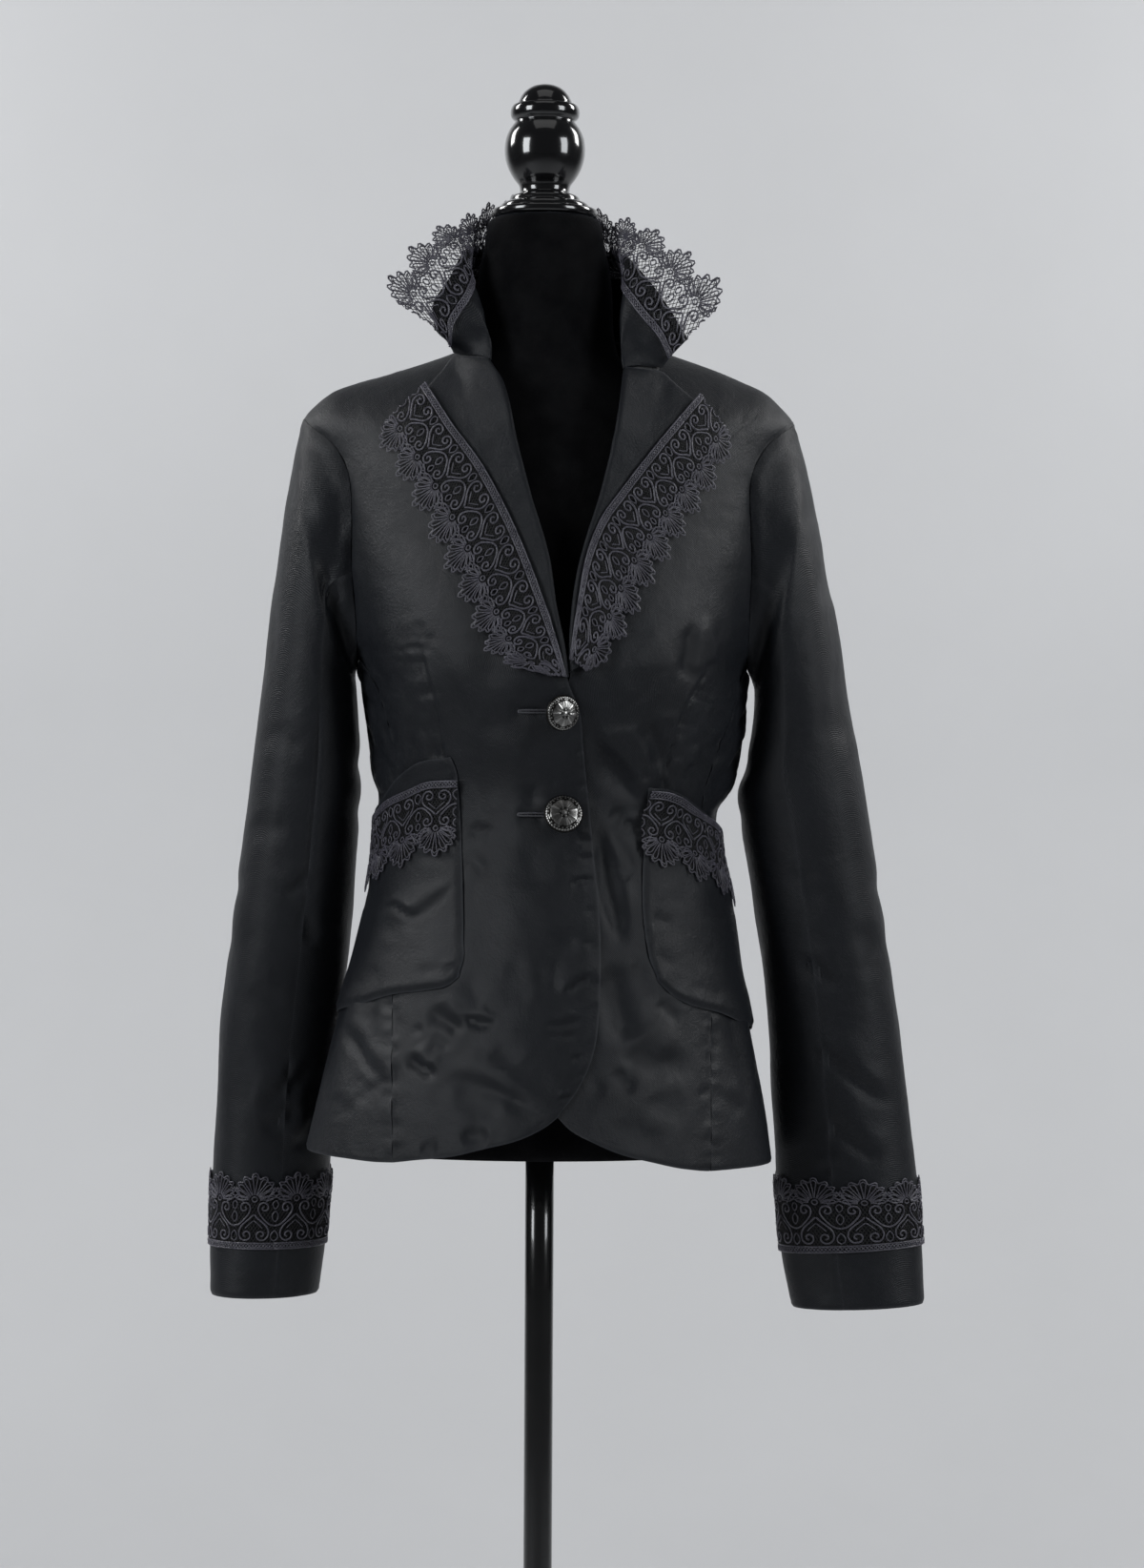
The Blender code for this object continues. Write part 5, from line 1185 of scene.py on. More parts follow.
def front(side, who):
    rows, cols = 301, 79
    G = refine(panel(side, front_inner, seam_front, top_shoulder, ROWS, ACROSS), rows, cols)
    N = normals(G, (0, -1, 0))
    P = drawn(G)
    left, right, low, high = edges(G)
    z = G[..., 2]
    d_edge, d_seam = left, right
    h = body_noise(P, 11 if side < 0 else 23)
    h += 1.4 * drape(P, FOLDS[side])
    dart = DART[side]
    h += seam_line(side, P, 3, 7, dart, 31 + side, out=-1 if side < 0 else 1)
    # blotchy strain between the dart and the side
    dx = side * (P[..., 0] - np.interp(P[..., 1], [p[1] for p in reversed(dart)], [p[0] for p in reversed(dart)]))
    mask = band(dx, 3, 60, 8) * band(P[..., 1], 1092, 1178, 26)
    h += mask * (1.5 * np.minimum(0, dents(P, 9.5, 41 + side)) - 0.9 * np.abs(dents(P * (1, 0.8), 6.0, 47 + side)) + 0.5)
    # the seam to the side panel, puckered below the pocket and under the arm
    where = band(z, 800, 925, 10) + band(z, 1080, 1175, 20)
    h += -0.3 * np.exp(-(d_seam / 1.1) ** 2)
    h += where * stitched(d_seam, low, 2.2, 0.5, 51 + side, 0.75, 8.0, 5.0)
    h += where * -0.7 * np.maximum(0, wave(low, 9, 57 + side)) * np.exp(-((d_seam - 5) / 4.5) ** 2)
    # armhole and shoulder seams
    arm = band(z, 1178, 1400, 10)
    h += arm * stitched(d_seam, low, 2.0, 0.25, 61 + side, 0.22, 9.0, 6.0)
    h += -0.5 * np.exp(-(high / 1.3) ** 2) + band(high, 0, 12, 4) * 0.18 * wave(left, 7, 66)
    # front edge: turned, topstitched at 3 mm, with short pulled dents
    turned_part = band(z, 800, BREAK[side] - 6, 10)
    h += turned_part * (-0.8 * np.exp(-(d_edge / 0.9) ** 2) + stitched(d_edge, low, 3.2, 0.32, 71 + side, 0.34, 6.5, 4.0))
    # hem
    h += -0.8 * np.exp(-(low / 0.9) ** 2) + stitched(low, left, 3.6, 0.25, 81 + side, 0.25, 9.0, 5.0)
    # it lies flat under the lapel and stays below the pocket and the lace
    u_under = np.zeros_like(h)
    t_lapel = band(z, BREAK[side] + 8, 1400, 12)
    x_edge = np.interp(P[..., 1], [1150, 1178, 1210, 1240, 1269, 1298, 1325, 1352, 1400],
                       [side * 14] * 9)
    edge_x = np.interp(P[..., 1], sorted(LAPEL[side].col["edge_z"]), [v for _, v in sorted(zip(LAPEL[side].col["edge_z"], LAPEL[side].col["edge_x"]))])
    under = t_lapel * np.clip(side * (edge_x - P[..., 0]) / 6 + 1, 0, 1)
    h = np.where(under > 0, h * (1 - 0.85 * under) - 0.2 * under, h)
    h = np.minimum(h, 1.6)
    t = np.clip((G[..., 0] + 48) / 34, 0, 1) * np.clip((1205 - z) / 28, 0, 1)
    lift = LAP * t * t * (3 - 2 * t) if side < 0 else 0.0
    if side > 0:
        # the left front stays under the right one
        covered = np.clip((44 - P[..., 0]) / 10, 0, 1) * band(z, 830, 1150, 10)
        h = h * (1 - covered) - 0.25 * covered
    G = G + N * (h + lift)[..., None]
    # tint: paler front edge and hem, partly wear and partly painted sheen
    tint = 0.55 * np.exp(-(np.minimum(np.minimum(d_edge, low), 50) / 0.9) ** 2) * band(z, 800, BREAK[side], 5) 
    return cloth(f"front_{who}_cloth", G, normals(G, (0, -1, 0)), CLOTH, SATEEN, f"front_{who}", tint=tint)


def seam_shape(d, L, seed, z, places):
    """A plain seam: the edge turns in, and the cloth gathers a little along the stitches."""
    where = sum(band(z, a, b, s) for a, b, s in places)
    h = -0.3 * np.exp(-(d / 1.1) ** 2) + 0.12 * wave(L, 9, seed + 3) * np.exp(-(d / 6) ** 2)
    h += where * (stitched(d, L, 2.2, 0.45, seed, 0.7, 8.0, 5.5) - 0.7 * np.maximum(0, wave(L, 9, seed + 5)) * np.exp(-((d - 5) / 4.5) ** 2))
    return h


# Folds of the sides and the back: (x, z) for the back, (distance from the front seam, z) for the sides.
SIDE_FOLDS = {
    -1: [([(6, 1092), (34, 1104), (60, 1128)], 6, 1.6, 0.5), ([(10, 1062), (44, 1070), (84, 1066)], 7, 1.9, 0.5),
         ([(30, 1040), (64, 1046), (96, 1038)], 6, 1.3, 0.5), ([(8, 1130), (30, 1142), (48, 1160)], 5, 1.4, 0.4),
         ([(14, 930), (30, 892), (52, 850)], 9, 2.0, 0.5), ([(60, 960), (70, 900), (84, 840)], 11, 1.6, -0.5),
         ([(4, 872), (20, 858), (38, 852)], 5, 1.4, 0.4), ([(50, 1010), (70, 1000), (92, 1006)], 6, 1.0, 0.4)],
    1: [([(6, 1080), (36, 1092), (62, 1116)], 7, 2.2, 0.5), ([(12, 1052), (46, 1060), (84, 1056)], 7, 1.8, 0.5),
        ([(26, 1030), (60, 1034), (94, 1030)], 6, 1.3, 0.5), ([(10, 1118), (32, 1130), (50, 1150)], 5, 1.5, 0.4),
        ([(10, 940), (26, 900), (44, 846)], 9, 1.7, 0.5), ([(56, 950), (70, 890), (82, 836)], 11, 1.6, -0.5),
        ([(4, 862), (22, 850), (40, 846)], 5, 1.2, 0.4), ([(40, 1004), (66, 996), (90, 1000)], 6, 1.0, 0.4)],
}
BACK_FOLDS = [
    ([(-104, 1176), (-80, 1200), (-62, 1232)], 9, 1.8, 0.5), ([(104, 1172), (82, 1198), (66, 1236)], 9, 1.9, -0.5),
    ([(-118, 1098), (-84, 1104), (-44, 1096)], 8, 1.9, 0.5), ([(114, 1090), (80, 1100), (40, 1094)], 8, 1.7, 0.5),
    ([(-110, 1066), (-70, 1062), (-24, 1070)], 7, 1.6, 0.5), ([(112, 1058), (66, 1058), (22, 1066)], 7, 1.7, 0.5),
    ([(-96, 1040), (-60, 1030), (-26, 1036)], 7, 1.2, 0.4), ([(94, 1034), (62, 1028), (30, 1032)], 6, 1.1, 0.4),
    ([(-60, 1002), (-70, 930), (-84, 850)], 13, 2.6, 0.5), ([(58, 1004), (72, 920), (82, 844)], 13, 2.4, -0.5),
    ([(-22, 990), (-28, 910), (-34, 836)], 12, 1.8, 0.4), ([(24, 986), (30, 912), (36, 838)], 12, 2.0, -0.4),
    ([(-110, 1010), (-124, 930), (-138, 846)], 12, 1.8, 0.5), ([(112, 1006), (128, 930), (142, 850)], 12, 1.8, -0.5),
    ([(-70, 1352), (-84, 1310), (-90, 1262)], 10, 1.4, 0.4), ([(74, 1350), (86, 1312), (94, 1266)], 10, 1.3, -0.4),
    ([(-40, 1388), (0, 1378), (44, 1387)], 6, 1.1, -0.5), ([(-30, 1150), (-10, 1140), (-4, 1120)], 8, 0.9), ([(8, 1240), (16, 1200), (12, 1160)], 10, 0.8),
]


def side_part(side, who):
    top_z = SIDE_SEAM_TOP[side]
    a, b = abs(seam_front(side, top_z)), abs(seam_back(side, top_z))

    def edge_z(s):
        u = a + (b - a) * s
        if s < 1e-6 or s > 1 - 1e-6:
            return armhole(side, psi_at(side, top_z), s > 0.5)[1] - SEAM / 2
        psi = psi_of_angle(u)
        return armhole(side, psi, u > 90)[1] - SEAM / 2

    cache = {}

    def top(_, s, q, x):
        if q <= 1118:
            return q
        if s not in cache:
            cache[s] = edge_z(s)
        return 1118 + (q - 1118) / (top_z - 1118) * (cache[s] - 1118)

    rows = [q for q in ROWS if q < top_z - 4] + [top_z]
    across = (0, 0.08, 0.17, 0.26, 0.35, 0.44, 0.53, 0.62, 0.71, 0.8, 0.88, 0.94, 1)
    G = refine(panel(side, lambda d, z: seam_front(d, min(z, SIDE_SEAM_TOP[d])), lambda d, z: seam_back(d, min(z, SIDE_SEAM_TOP[d])),
                     top, rows, across), 166, 52)
    N = normals(G, (side, 0, 0))
    left, right, low, high = edges(G)
    z = G[..., 2]
    P = np.stack([left, z], axis=-1)
    h = body_noise(P, 111 + side) * 1.2
    for points, width, depth, lip in SIDE_FOLDS[side]:
        h += fold(P, points, width, depth, lip)
    if side < 0:
        h += drape(drawn(G), [(((358, 1070), (370, 1094), (384, 1118), (408, 1142)), 4.5, 2.2, 0.5), (((372, 1130), (392, 1150)), 6, 1.2),
                              (((350, 1150), (366, 1176)), 7, 1.2)]) * band(left, 0, 60, 10)
    mask = band(z, 1062, 1160, 20) * band(left, 0, 46, 14)
    h += mask * (1.3 * np.minimum(0, dents(P, 10, 141 + side)) - 0.7 * np.abs(dents(P * (0.8, 1), 6.5, 147 + side)) + 0.4)
    places = [(800, 925, 10), (1075, 1175, 18)]
    h += seam_shape(left, low, 151 + side, z, places) + seam_shape(right, low, 161 + side, z, [])
    h += -0.6 * np.exp(-(high / 1.5) ** 2) - 0.8 * np.exp(-(low / 0.9) ** 2) + stitched(low, left, 3.6, 0.25, 171, 0.25, 9.0, 5.0)
    h = np.minimum(h, 1.6)
    G = G + N * h[..., None]
    # tint: paler hem and seam edge, partly wear and partly painted sheen
    tint = 0.5 * np.exp(-(low / 0.9) ** 2) + 0.15 * np.exp(-(left / 0.8) ** 2)
    return cloth(f"side_{who}_cloth", G, normals(G, (side, 0, 0)), CLOTH, SATEEN, f"side_{who}", tint=tint)


def back_part(side, who):
    def top(_, s, q, x):
        return q if q <= HIGH else HIGH + (q - HIGH) / (TOP - HIGH) * (min(ridge(x), back_neck(x)) - HIGH)

    across = (0, 0.08, 0.17, 0.26, 0.35, 0.44, 0.53, 0.62, 0.71, 0.8, 0.88, 0.94, 1)
    G = refine(panel(side, lambda d, z: side * 180.0, lambda d, z: seam_back(-d, z), top, ROWS, across, flip=-1), 202, 49)
    N = normals(G, (0, 1, 0))
    left, right, low, high = edges(G)
    z = G[..., 2]
    P = G[..., [0, 2]]
    h = body_noise(P, 211)
    for points, width, depth, lip in [(f + (0.0,))[:4] for f in BACK_FOLDS]:
        h += fold(P, points, width, depth, lip)
    h += seam_shape(left, low, 251, z, [(800, 980, 30), (1020, 1100, 20)]) * 0.8 + seam_shape(right, low, 261 + side, z, [(1040, 1180, 20)])
    # back darts through the waist
    h += seam_line(side, P, 5, 5, ((side * 64, 1190), (side * 60, 1110), (side * 56, 1050), (side * 60, 970), (side * 66, 920)), 271 + side, out=side)
    h += -0.5 * np.exp(-(high / 1.3) ** 2) - 0.8 * np.exp(-(low / 0.9) ** 2) + stitched(low, left, 3.6, 0.25, 281, 0.25, 9.0, 5.0)
    h = np.minimum(h, 1.8)
    G = G + N * h[..., None]
    # tint: paler hem and seam edge, partly wear and partly painted sheen
    tint = 0.5 * np.exp(-(low / 0.9) ** 2) + 0.12 * np.exp(-(left / 0.8) ** 2)
    return cloth(f"back_{who}_cloth", G, normals(G, (0, 1, 0)), CLOTH, SATEEN, f"back_{who}", tint=tint)


# ================================================================ sleeves
SLEEVE_FOLDS = {
    -1: [(((316, 452), (312, 500), (318, 548)), 8, 1.4, 0.5), (((352, 470), (350, 520), (344, 560)), 6, 1.1, -0.4)],
    1: [(((870, 560), (872, 600), (862, 640)), 7, 2.2, 0.5), (((846, 470), (850, 520), (846, 566)), 8, 1.2, 0.4)],
}


def sleeve(side, who, which, phis, cols):
    ks = [0, 0.5, 1, 1.6, 2.3, 3, 3.7, 4.4, 5.2, 6, 6.8, 7.6, 8.4, 9.2, 10, 10.8, 11.6, 12.4, 13.2, 14, 14.6, 15]
    stations = [0, 1, 2, 3, 4, 5, 6, 7, 8, 9, 10, 11, 12, 13, 14, 15]
    lo, hi = phis
    n = max(24, int((hi - lo) / 6))
    angles = np.linspace(lo, hi, n)
    C = np.array([[sleeve_point(side, k, phi) for phi in angles] for k in stations])
    gap = 0.04 / np.linalg.norm(C[8, 1] - C[8, 0]) * (angles[1] - angles[0])
    angles = np.linspace(lo + gap, hi - gap, n)
    C = np.array([[sleeve_point(side, k, phi) for phi in angles] for k in stations])
    G = refine(C, 232, cols)
    out = (side, 0, 0) if which == "top" else (-side, 0, 0)
    N = normals(G, out)
    # make sure that they point away from the sleeve's own axis
    axis = np.array([sum(sleeve_point(side, k, a) for a in (0, 90, 180, 270)) / 4 for k in stations])[8]
    m = (116, cols // 2)
    if np.dot(N[m], G[m] - axis) < 0:
        N = -N
    left, right, low, high = edges(G)                # low: from the armhole; high: from the cuff
    P = np.stack([left, high], axis=-1)
    h = 0.28 * dents(P, 19, 311 + side) + 0.12 * dents(P, 8, 313) + 0.04 * dents(P, 3.6, 315)
    for points, width, depth, lip in SLEEVE_PLAN[(side, which)]:
        h += fold(P, points, width, depth, lip)
    facing = np.clip(0.35 - 2.2 * N[..., 1], 0, 1)
    h = h * (1 - 0.6 * facing) + facing * drape(drawn(G), SLEEVE_DRAWN[side])
    h += 0.45 * dents(P * (1, 0.55), 24, 371 + side)
    h *= np.clip(np.minimum(left, right) / 3.5, 0, 1)
    h += -0.05 * np.exp(-(np.minimum(left, right) / 1.1) ** 2)
    # the head is eased into the armhole
    h += -0.25 * np.exp(-(low / 1.2) ** 2) + 0.6 * np.exp(-((low - 6) / 4) ** 2) + 0.3 * wave(left, 8, 351 + side) * np.exp(-(low / 10) ** 2)
    # cuff: turned hem, stitched at 4 mm
    h += -0.9 * np.exp(-(high / 0.9) ** 2) + stitched(high, left, 4.0, 0.3, 361, 0.3, 8, 5)
    h = np.minimum(h, 2.2)
    G = G + N * h[..., None]
    M = normals(G, out)
    if np.sum(M[m] * N[m]) < 0:
        M = -M
    # tint: paler cuff, seams and armhole edge, partly wear and partly painted sheen
    tint = 0.5 * np.exp(-(high / 0.9) ** 2) + 0.2 * np.exp(-(np.minimum(left, right) / 0.8) ** 2) + 0.1 * np.exp(-(low / 0.8) ** 2)
    return cloth(f"sleeve_{who}_{which}_cloth", G, M, CLOTH, SATEEN, f"sleeve_{who}_{which}", tint=tint)


# Creases of the sleeves where the picture shows them.
SLEEVE_DRAWN = {
    -1: [(((341, 590), (346, 620), (352, 650)), 5, 2.6, 0.5), (((296, 944), (312, 934), (330, 918)), 4.5, 2.2, 0.5),
         (((316, 955), (321, 976), (329, 998)), 5, 2.2, 0.4), (((262, 1171), (285, 1158), (307, 1143), (330, 1114)), 5.5, 2.8, 0.6),
         (((270, 1192), (292, 1180), (318, 1163)), 6, 2.3, 0.5), (((306, 1212), (322, 1196), (336, 1176)), 5, 1.8, 0.4),
         (((348, 700), (346, 800), (336, 900), (330, 1010)), 10, -2.2), (((302, 470), (310, 520), (330, 560)), 8, 1.7, 0.4),
         (((356, 505), (358, 540), (352, 580)), 6, 2.0, 0.5), (((282, 760), (300, 780), (322, 790)), 8, 1.3, 0.4),
         (((262, 860), (284, 872), (306, 870)), 8, 1.4, 0.4), (((256, 1040), (276, 1052), (300, 1046)), 8, 1.5, 0.4),
         (((336, 1120), (330, 1160), (334, 1200)), 6, 1.6, -0.5), (((250, 1100), (256, 1140), (252, 1180)), 7, 1.2, 0.4)],
    1: [(((854, 533), (857, 620), (855, 700), (853, 800)), 9, -2.2), (((836, 998), (860, 1020), (882, 1038)), 5.5, 2.4, 0.5),
        (((846, 1092), (870, 1108), (891, 1127), (915, 1145), (940, 1159)), 6, 3.0, 0.6), (((858, 1168), (882, 1186), (900, 1200), (929, 1217)), 6, 2.5, 0.5),
        (((870, 560), (872, 600), (862, 640)), 7, 2.4, 0.5), (((836, 900), (850, 930), (872, 946)), 8, 1.5, 0.4),
        (((880, 690), (884, 740), (880, 790)), 9, 1.3, 0.4), (((866, 1315), (865, 1345), (864, 1371)), 1.6, 1.0, 0.4),
        (((838, 480), (846, 520), (846, 560)), 7, 1.6, 0.5), (((900, 960), (912, 990), (914, 1030)), 8, 1.3, 0.4),
        (((852, 1220), (872, 1226), (900, 1224)), 5, 1.5, 0.4)],
}

# Folds of the sleeves: (distance across from the piece's first seam, height above the cuff edge), width, depth, lip.
SLEEVE_PLAN = {
    (-1, "top"): [([(60, 560), (66, 500), (60, 430)], 10, 1.8, 0.5), ([(120, 540), (116, 470), (122, 400)], 9, 1.4, -0.5),
                  ([(30, 330), (70, 310), (110, 322)], 8, 1.6, 0.5), ([(50, 280), (90, 268), (130, 286)], 8, 1.3, 0.5),
                  ([(40, 240), (60, 170), (56, 110)], 9, 1.3, 0.4), ([(110, 250), (104, 170), (108, 100)], 9, 1.2, -0.4)],
    (-1, "under"): [([(20, 420), (60, 400), (100, 415)], 8, 1.8, 0.5), ([(16, 380), (56, 366), (104, 380)], 8, 1.5, 0.5),
                    ([(30, 320), (60, 240), (56, 160)], 10, 1.3, 0.4)],
    (1, "top"): [([(60, 560), (66, 500), (60, 430)], 10, 1.8, 0.5), ([(120, 540), (116, 470), (122, 400)], 9, 1.4, -0.5),
                 ([(30, 330), (70, 310), (110, 322)], 8, 1.6, 0.5), ([(50, 280), (90, 268), (130, 286)], 8, 1.3, 0.5),
                 ([(40, 240), (60, 170), (56, 110)], 9, 1.3, 0.4), ([(110, 250), (104, 170), (108, 100)], 9, 1.2, -0.4)],
    (1, "under"): [([(20, 420), (60, 400), (100, 415)], 8, 1.8, 0.5), ([(16, 380), (56, 366), (104, 380)], 8, 1.5, 0.5),
                   ([(30, 320), (60, 240), (56, 160)], 10, 1.3, 0.4)],
}


# ================================================================ lapels, collar, pockets
def lapel_piece(side, who):
    ts = (0, 0.035, 0.07, 0.12, 0.18, 0.26, 0.34, 0.42, 0.5, 0.58, 0.66, 0.74, 0.82, 0.9, 0.96, 1.0)
    ss = (0, 0.06, 0.13, 0.22, 0.32, 0.42, 0.52, 0.64, 0.76, 0.88, 1)
    g = np.array(NOTCH[side]) - (0, 1.5)
    grid = []
    for t in ts:
        a, b = roll_line(side, t), lapel_line(side, t, "edge")
        points = []
        for s in ss:
            p = a + (b - a) * s
            corner = a + (g - a) * s / 0.42 if s < 0.42 else g + (b - g) * (s - 0.42) / 0.58
            p = p + (corner - p) * max(0.0, 1 - t / 0.07)
            rise = lapel_rise(s) + 0.6 * max(0.0, 1 - t / 0.2)
            points.append((p, rise))
        # the roll: the cloth turns round over the front's own edge
        p0, rise0 = points[0]
        top, n = on_front(side, p0[0], p0[1], rise0)
        nxt, _ = on_front(side, points[2][0][0], points[2][0][1], points[2][1])
        d = top - nxt
        d = d - n * np.dot(d, n)
        d /= np.linalg.norm(d)
        r = rise0 / 2 - 0.1
        row = [top - n * r + d * (r * math.sin(a)) * 0.9 + n * r * math.cos(a) for a in (3.0, 2.4, 1.8, 1.2, 0.6)]
        row += [on_front(side, p[0], p[1], rise)[0] for p, rise in points]
        grid.append(row)
    G = refine(np.array(grid), 127, 43)
    N = normals(G, (0, -1, 0))
    left, right, low, high = edges(G)
    P = drawn(G)
    h = 0.3 * dents(P, 26, 401 + side) + 0.12 * dents(P, 9, 403)
    h += -0.9 * np.exp(-(right / 1.6) ** 2) - 0.5 * np.exp(-(low / 1.2) ** 2)
    h += stitched(right, low, 3.0, 0.22, 411, 0.12, 8, 4) * band(left, 12, 400, 4)
    if side < 0:
        h += drape(P, [(((516, 380), (540, 376), (560, 370)), 7, -0.7), (((505, 430), (530, 470), (560, 540)), 9, -0.5),
                       (((468, 388), (484, 396), (496, 404)), 4, 0.6, 0.4)])
    else:
        h += drape(P, [(((660, 400), (650, 450), (632, 520)), 9, -0.5), (((690, 402), (706, 408)), 5, 0.6, 0.4)])
    G = G + N * h[..., None]
    # tint: paler lapel edges, partly wear and partly painted sheen
    tint = 0.5 * np.exp(-(np.minimum(right, low) / 0.9) ** 2)
    return cloth(f"lapel_{who}_cloth", G, normals(G, (0, -1, 0)), CLOTH, SATEEN, f"lapel_{who}", tint=tint)


def collar_path(step):
    right = [(1, w) for w in np.arange(0, COLLAR_END[1] + 1e-6, step)] + ([(1, COLLAR_END[1])] if COLLAR_END[1] % step > 1e-3 else [])
    left = [(-1, w) for w in np.arange(step, COLLAR_END[-1] + 1e-6, step)] + ([(-1, COLLAR_END[-1])] if COLLAR_END[-1] % step > 1e-3 else [])
    return right[::-1] + left


def collar_piece():
    path = collar_path(0.2)
    heights = (0, 0.12, 0.25, 0.38, 0.5, 0.62, 0.75, 0.88, 1)
    C = np.array([[collar_point(s, w, v) for s, w in path] for v in heights])
    G = refine(C, 49, 229)
    N = normals(G, -collar_normal(1, 0.3, 0.5))
    left, right, low, high = edges(G)
    G = G + N * (COLLAR_WALL / 2)
    P = np.stack([left, low], axis=-1)
    h = 0.35 * dents(P, 22, 421) + 0.14 * dents(P, 9, 423)
    d = np.minimum(left, right)
    h += -0.5 * np.exp(-(np.minimum(d, high) / 1.1) ** 2)
    for points, width, depth, lip in ([(18, 10), (30, 24), (34, 40)], 5, 1.2, 0.4), ([(46, 6), (54, 20), (60, 34)], 7, 0.9, 0.4), \
            ([(8, 22), (16, 34), (26, 42)], 4, 0.7, 0.4):
        h += fold(np.stack([left, low], axis=-1), points, width, depth, lip)
        h += fold(np.stack([right, low], axis=-1), points, width * 0.9, depth, lip)
    G = G + N * h[..., None]
    # tint: paler collar edges, partly wear and partly painted sheen
    tint = 0.55 * np.exp(-(np.minimum(d, high) / 0.9) ** 2)
    M = normals(G, N[24, 114])
    return cloth("collar_cloth", G, M, COLLAR_WALL, SATEEN, "collar", tint=tint)


def pocket_point(side, s, t):
    z = 1000.0
    for _ in range(10):
        u_in = pocket_inner(side, z)
        u = u_in + (side * POCKET_BACK[side] - u_in) * s
        low = drawn_z(POCKET_LOW, side, u, 925) + pocket_drop(side, u, True)
        high = drawn_z(POCKET_HIGH, side, u, 1070) + pocket_drop(side, u, False)
        z = low + (high - low) * t
    return skin(u, z)


POCKET_FOLDS = {
    -1: [(((402, 966), (416, 953), (431, 963), (453, 953), (480, 926)), 3.0, 1.9, 0.7), (((464, 1016), (474, 1017), (484, 1008)), 1.8, 1.2, 0.6),
         (((400, 984), (420, 974), (446, 968)), 6, 1.0, 0.4), (((372, 1040), (390, 1026), (404, 1018)), 5, 0.8), (((440, 900), (462, 902), (480, 900)), 3, 0.9),
         (((436, 1030), (450, 1022), (468, 1020)), 4, 0.6, 0.4), (((374, 960), (384, 940), (398, 926)), 6, 0.8, 0.4)],
    1: [(((682, 958), (694, 966), (708, 968)), 4, 0.9, 0.4), (((684, 996), (694, 1006), (706, 1014)), 4, 0.8, 0.4), (((744, 930), (752, 950), (758, 970)), 7, 1.0, 0.4),
        (((700, 900), (712, 930), (716, 960)), 8, 0.7, 0.4), (((720, 1030), (742, 1040), (760, 1046)), 5, 0.8, 0.3), (((740, 905), (748, 918)), 3, 0.8)],
}


def pocket_piece(side, who):
    ts = (0, 0.03, 0.08, 0.15, 0.24, 0.34, 0.45, 0.56, 0.67, 0.78, 0.88, 0.95, 1.0)
    ss = (0, 0.04, 0.1, 0.18, 0.28, 0.4, 0.52, 0.64, 0.76, 0.88, 1.0)
    C = np.array([[pocket_point(side, s, t) for s in ss] for t in ts])
    G = refine(C, 100, 70)
    N = normals(G, (side * 0.5, -1, 0))
    left, right, low, high = edges(G)
    P = drawn(G)
    sewn = np.minimum(np.minimum(left, right), low)
    rise = POCKET_LIE + CLOTH - 2.3 * np.exp(-(sewn / 2.6) ** 2) - 0.4 * np.exp(-(high / 2.0) ** 2)
    h = rise + 0.35 * dents(P, 24, 441 + side) + 0.12 * dents(P, 9, 443) + drape(P, POCKET_FOLDS[side])
    along_edge = np.where(sewn == low, left, low)
    h += stitched(sewn, along_edge, 3.2, 0.3, 451 + side, 0.38, 7.0, 4.0)
    h += stitched(high, left, 9.0, 0.25, 461, 0.15, 8.0, 4.0)
    G = G + N * np.maximum(h, 0.75)[..., None]
    # tint: paler pocket edges, partly wear and partly painted sheen
    tint = 0.6 * np.exp(-(np.minimum(sewn, high) / 1.0) ** 2)
    return cloth(f"pocket_{who}_cloth", G, normals(G, (side * 0.5, -1, 0)), 0.9, SATEEN, f"pocket_{who}", tint=tint)


# ================================================================ seam allowances
def strip(name, rows, who, node=None):
    """A thin strip of cloth behind a seam, from three or more lines of points."""
    rows = np.asarray(rows, float)
    R, C = rows.shape[:2]
    r, c = np.meshgrid(np.arange(R - 1), np.arange(C - 1), indexing="ij")
    f = np.stack([r * C + c, r * C + c + 1, (r + 1) * C + c + 1, (r + 1) * C + c], axis=-1).reshape(-1, 4)
    n = R * C
    N = normals(rows, (0, -1, 0))
    back = rows - N * 0.5
    faces = f.tolist() + (f[:, ::-1] + n).tolist()
    rim = [(0, j, 0, j + 1) for j in range(C - 1)] + [(R - 1, j + 1, R - 1, j) for j in range(C - 1, -1, -1) if j + 1 < C]
    rim += [(j + 1, 0, j, 0) for j in range(R - 1)] + [(j, C - 1, j + 1, C - 1) for j in range(R - 1)]
    for a, b, d, e in rim:
        p, q = a * C + b, d * C + e
        faces.append((q, p, p + n, q + n))
    ob = link(name, np.concatenate([rows.reshape(-1, 3), back.reshape(-1, 3)]), faces, SATEEN)
    TRIMS.setdefault(node, []).append(ob)
    return ob


def armhole_strip(side, who):
    """The sewn-in allowance of the armhole, inside the sleeve head and the body."""
    phis = np.linspace(0, 360, 73)
    ring0 = np.array([sleeve_point(side, 0, a) for a in phis])
    ring1 = np.array([sleeve_point(side, 0.35, a) for a in phis])
    centre = ring0[:-1].mean(axis=0)
    away = unit(ring1 - ring0)
    rows = []
    for t, inward in ((6.0, 3.4), (2.0, 2.9), (-2.0, 3.0), (-6.0, 3.6)):
        base = ring0 + away * t
        rows.append(base + unit(centre - ring0) * inward)
    return strip(f"armhole_allowance_{who}", rows, who, f"sleeve_{who}_top_cloth")


def sleeve_strip(side, who, phi, label):
    ks = np.linspace(0.15, 14.93, 90)
    rows = []
    for d in (-5.0, 0.0, 5.0):
        line = []
        for k in ks:
            p, q = sleeve_point(side, k, phi), sleeve_point(side, k, phi + 4)
            per = 4 / max(1e-6, np.linalg.norm(q - p))
            a = phi + d * per
            line.append(sleeve_point(side, k, a) - sleeve_normal(side, k, a) * (CLOTH + 0.5))
        rows.append(line)
    return strip(f"sleeve_allowance_{who}_{label}", rows, who, f"sleeve_{who}_{'top' if label == 'front' else 'under'}_cloth")


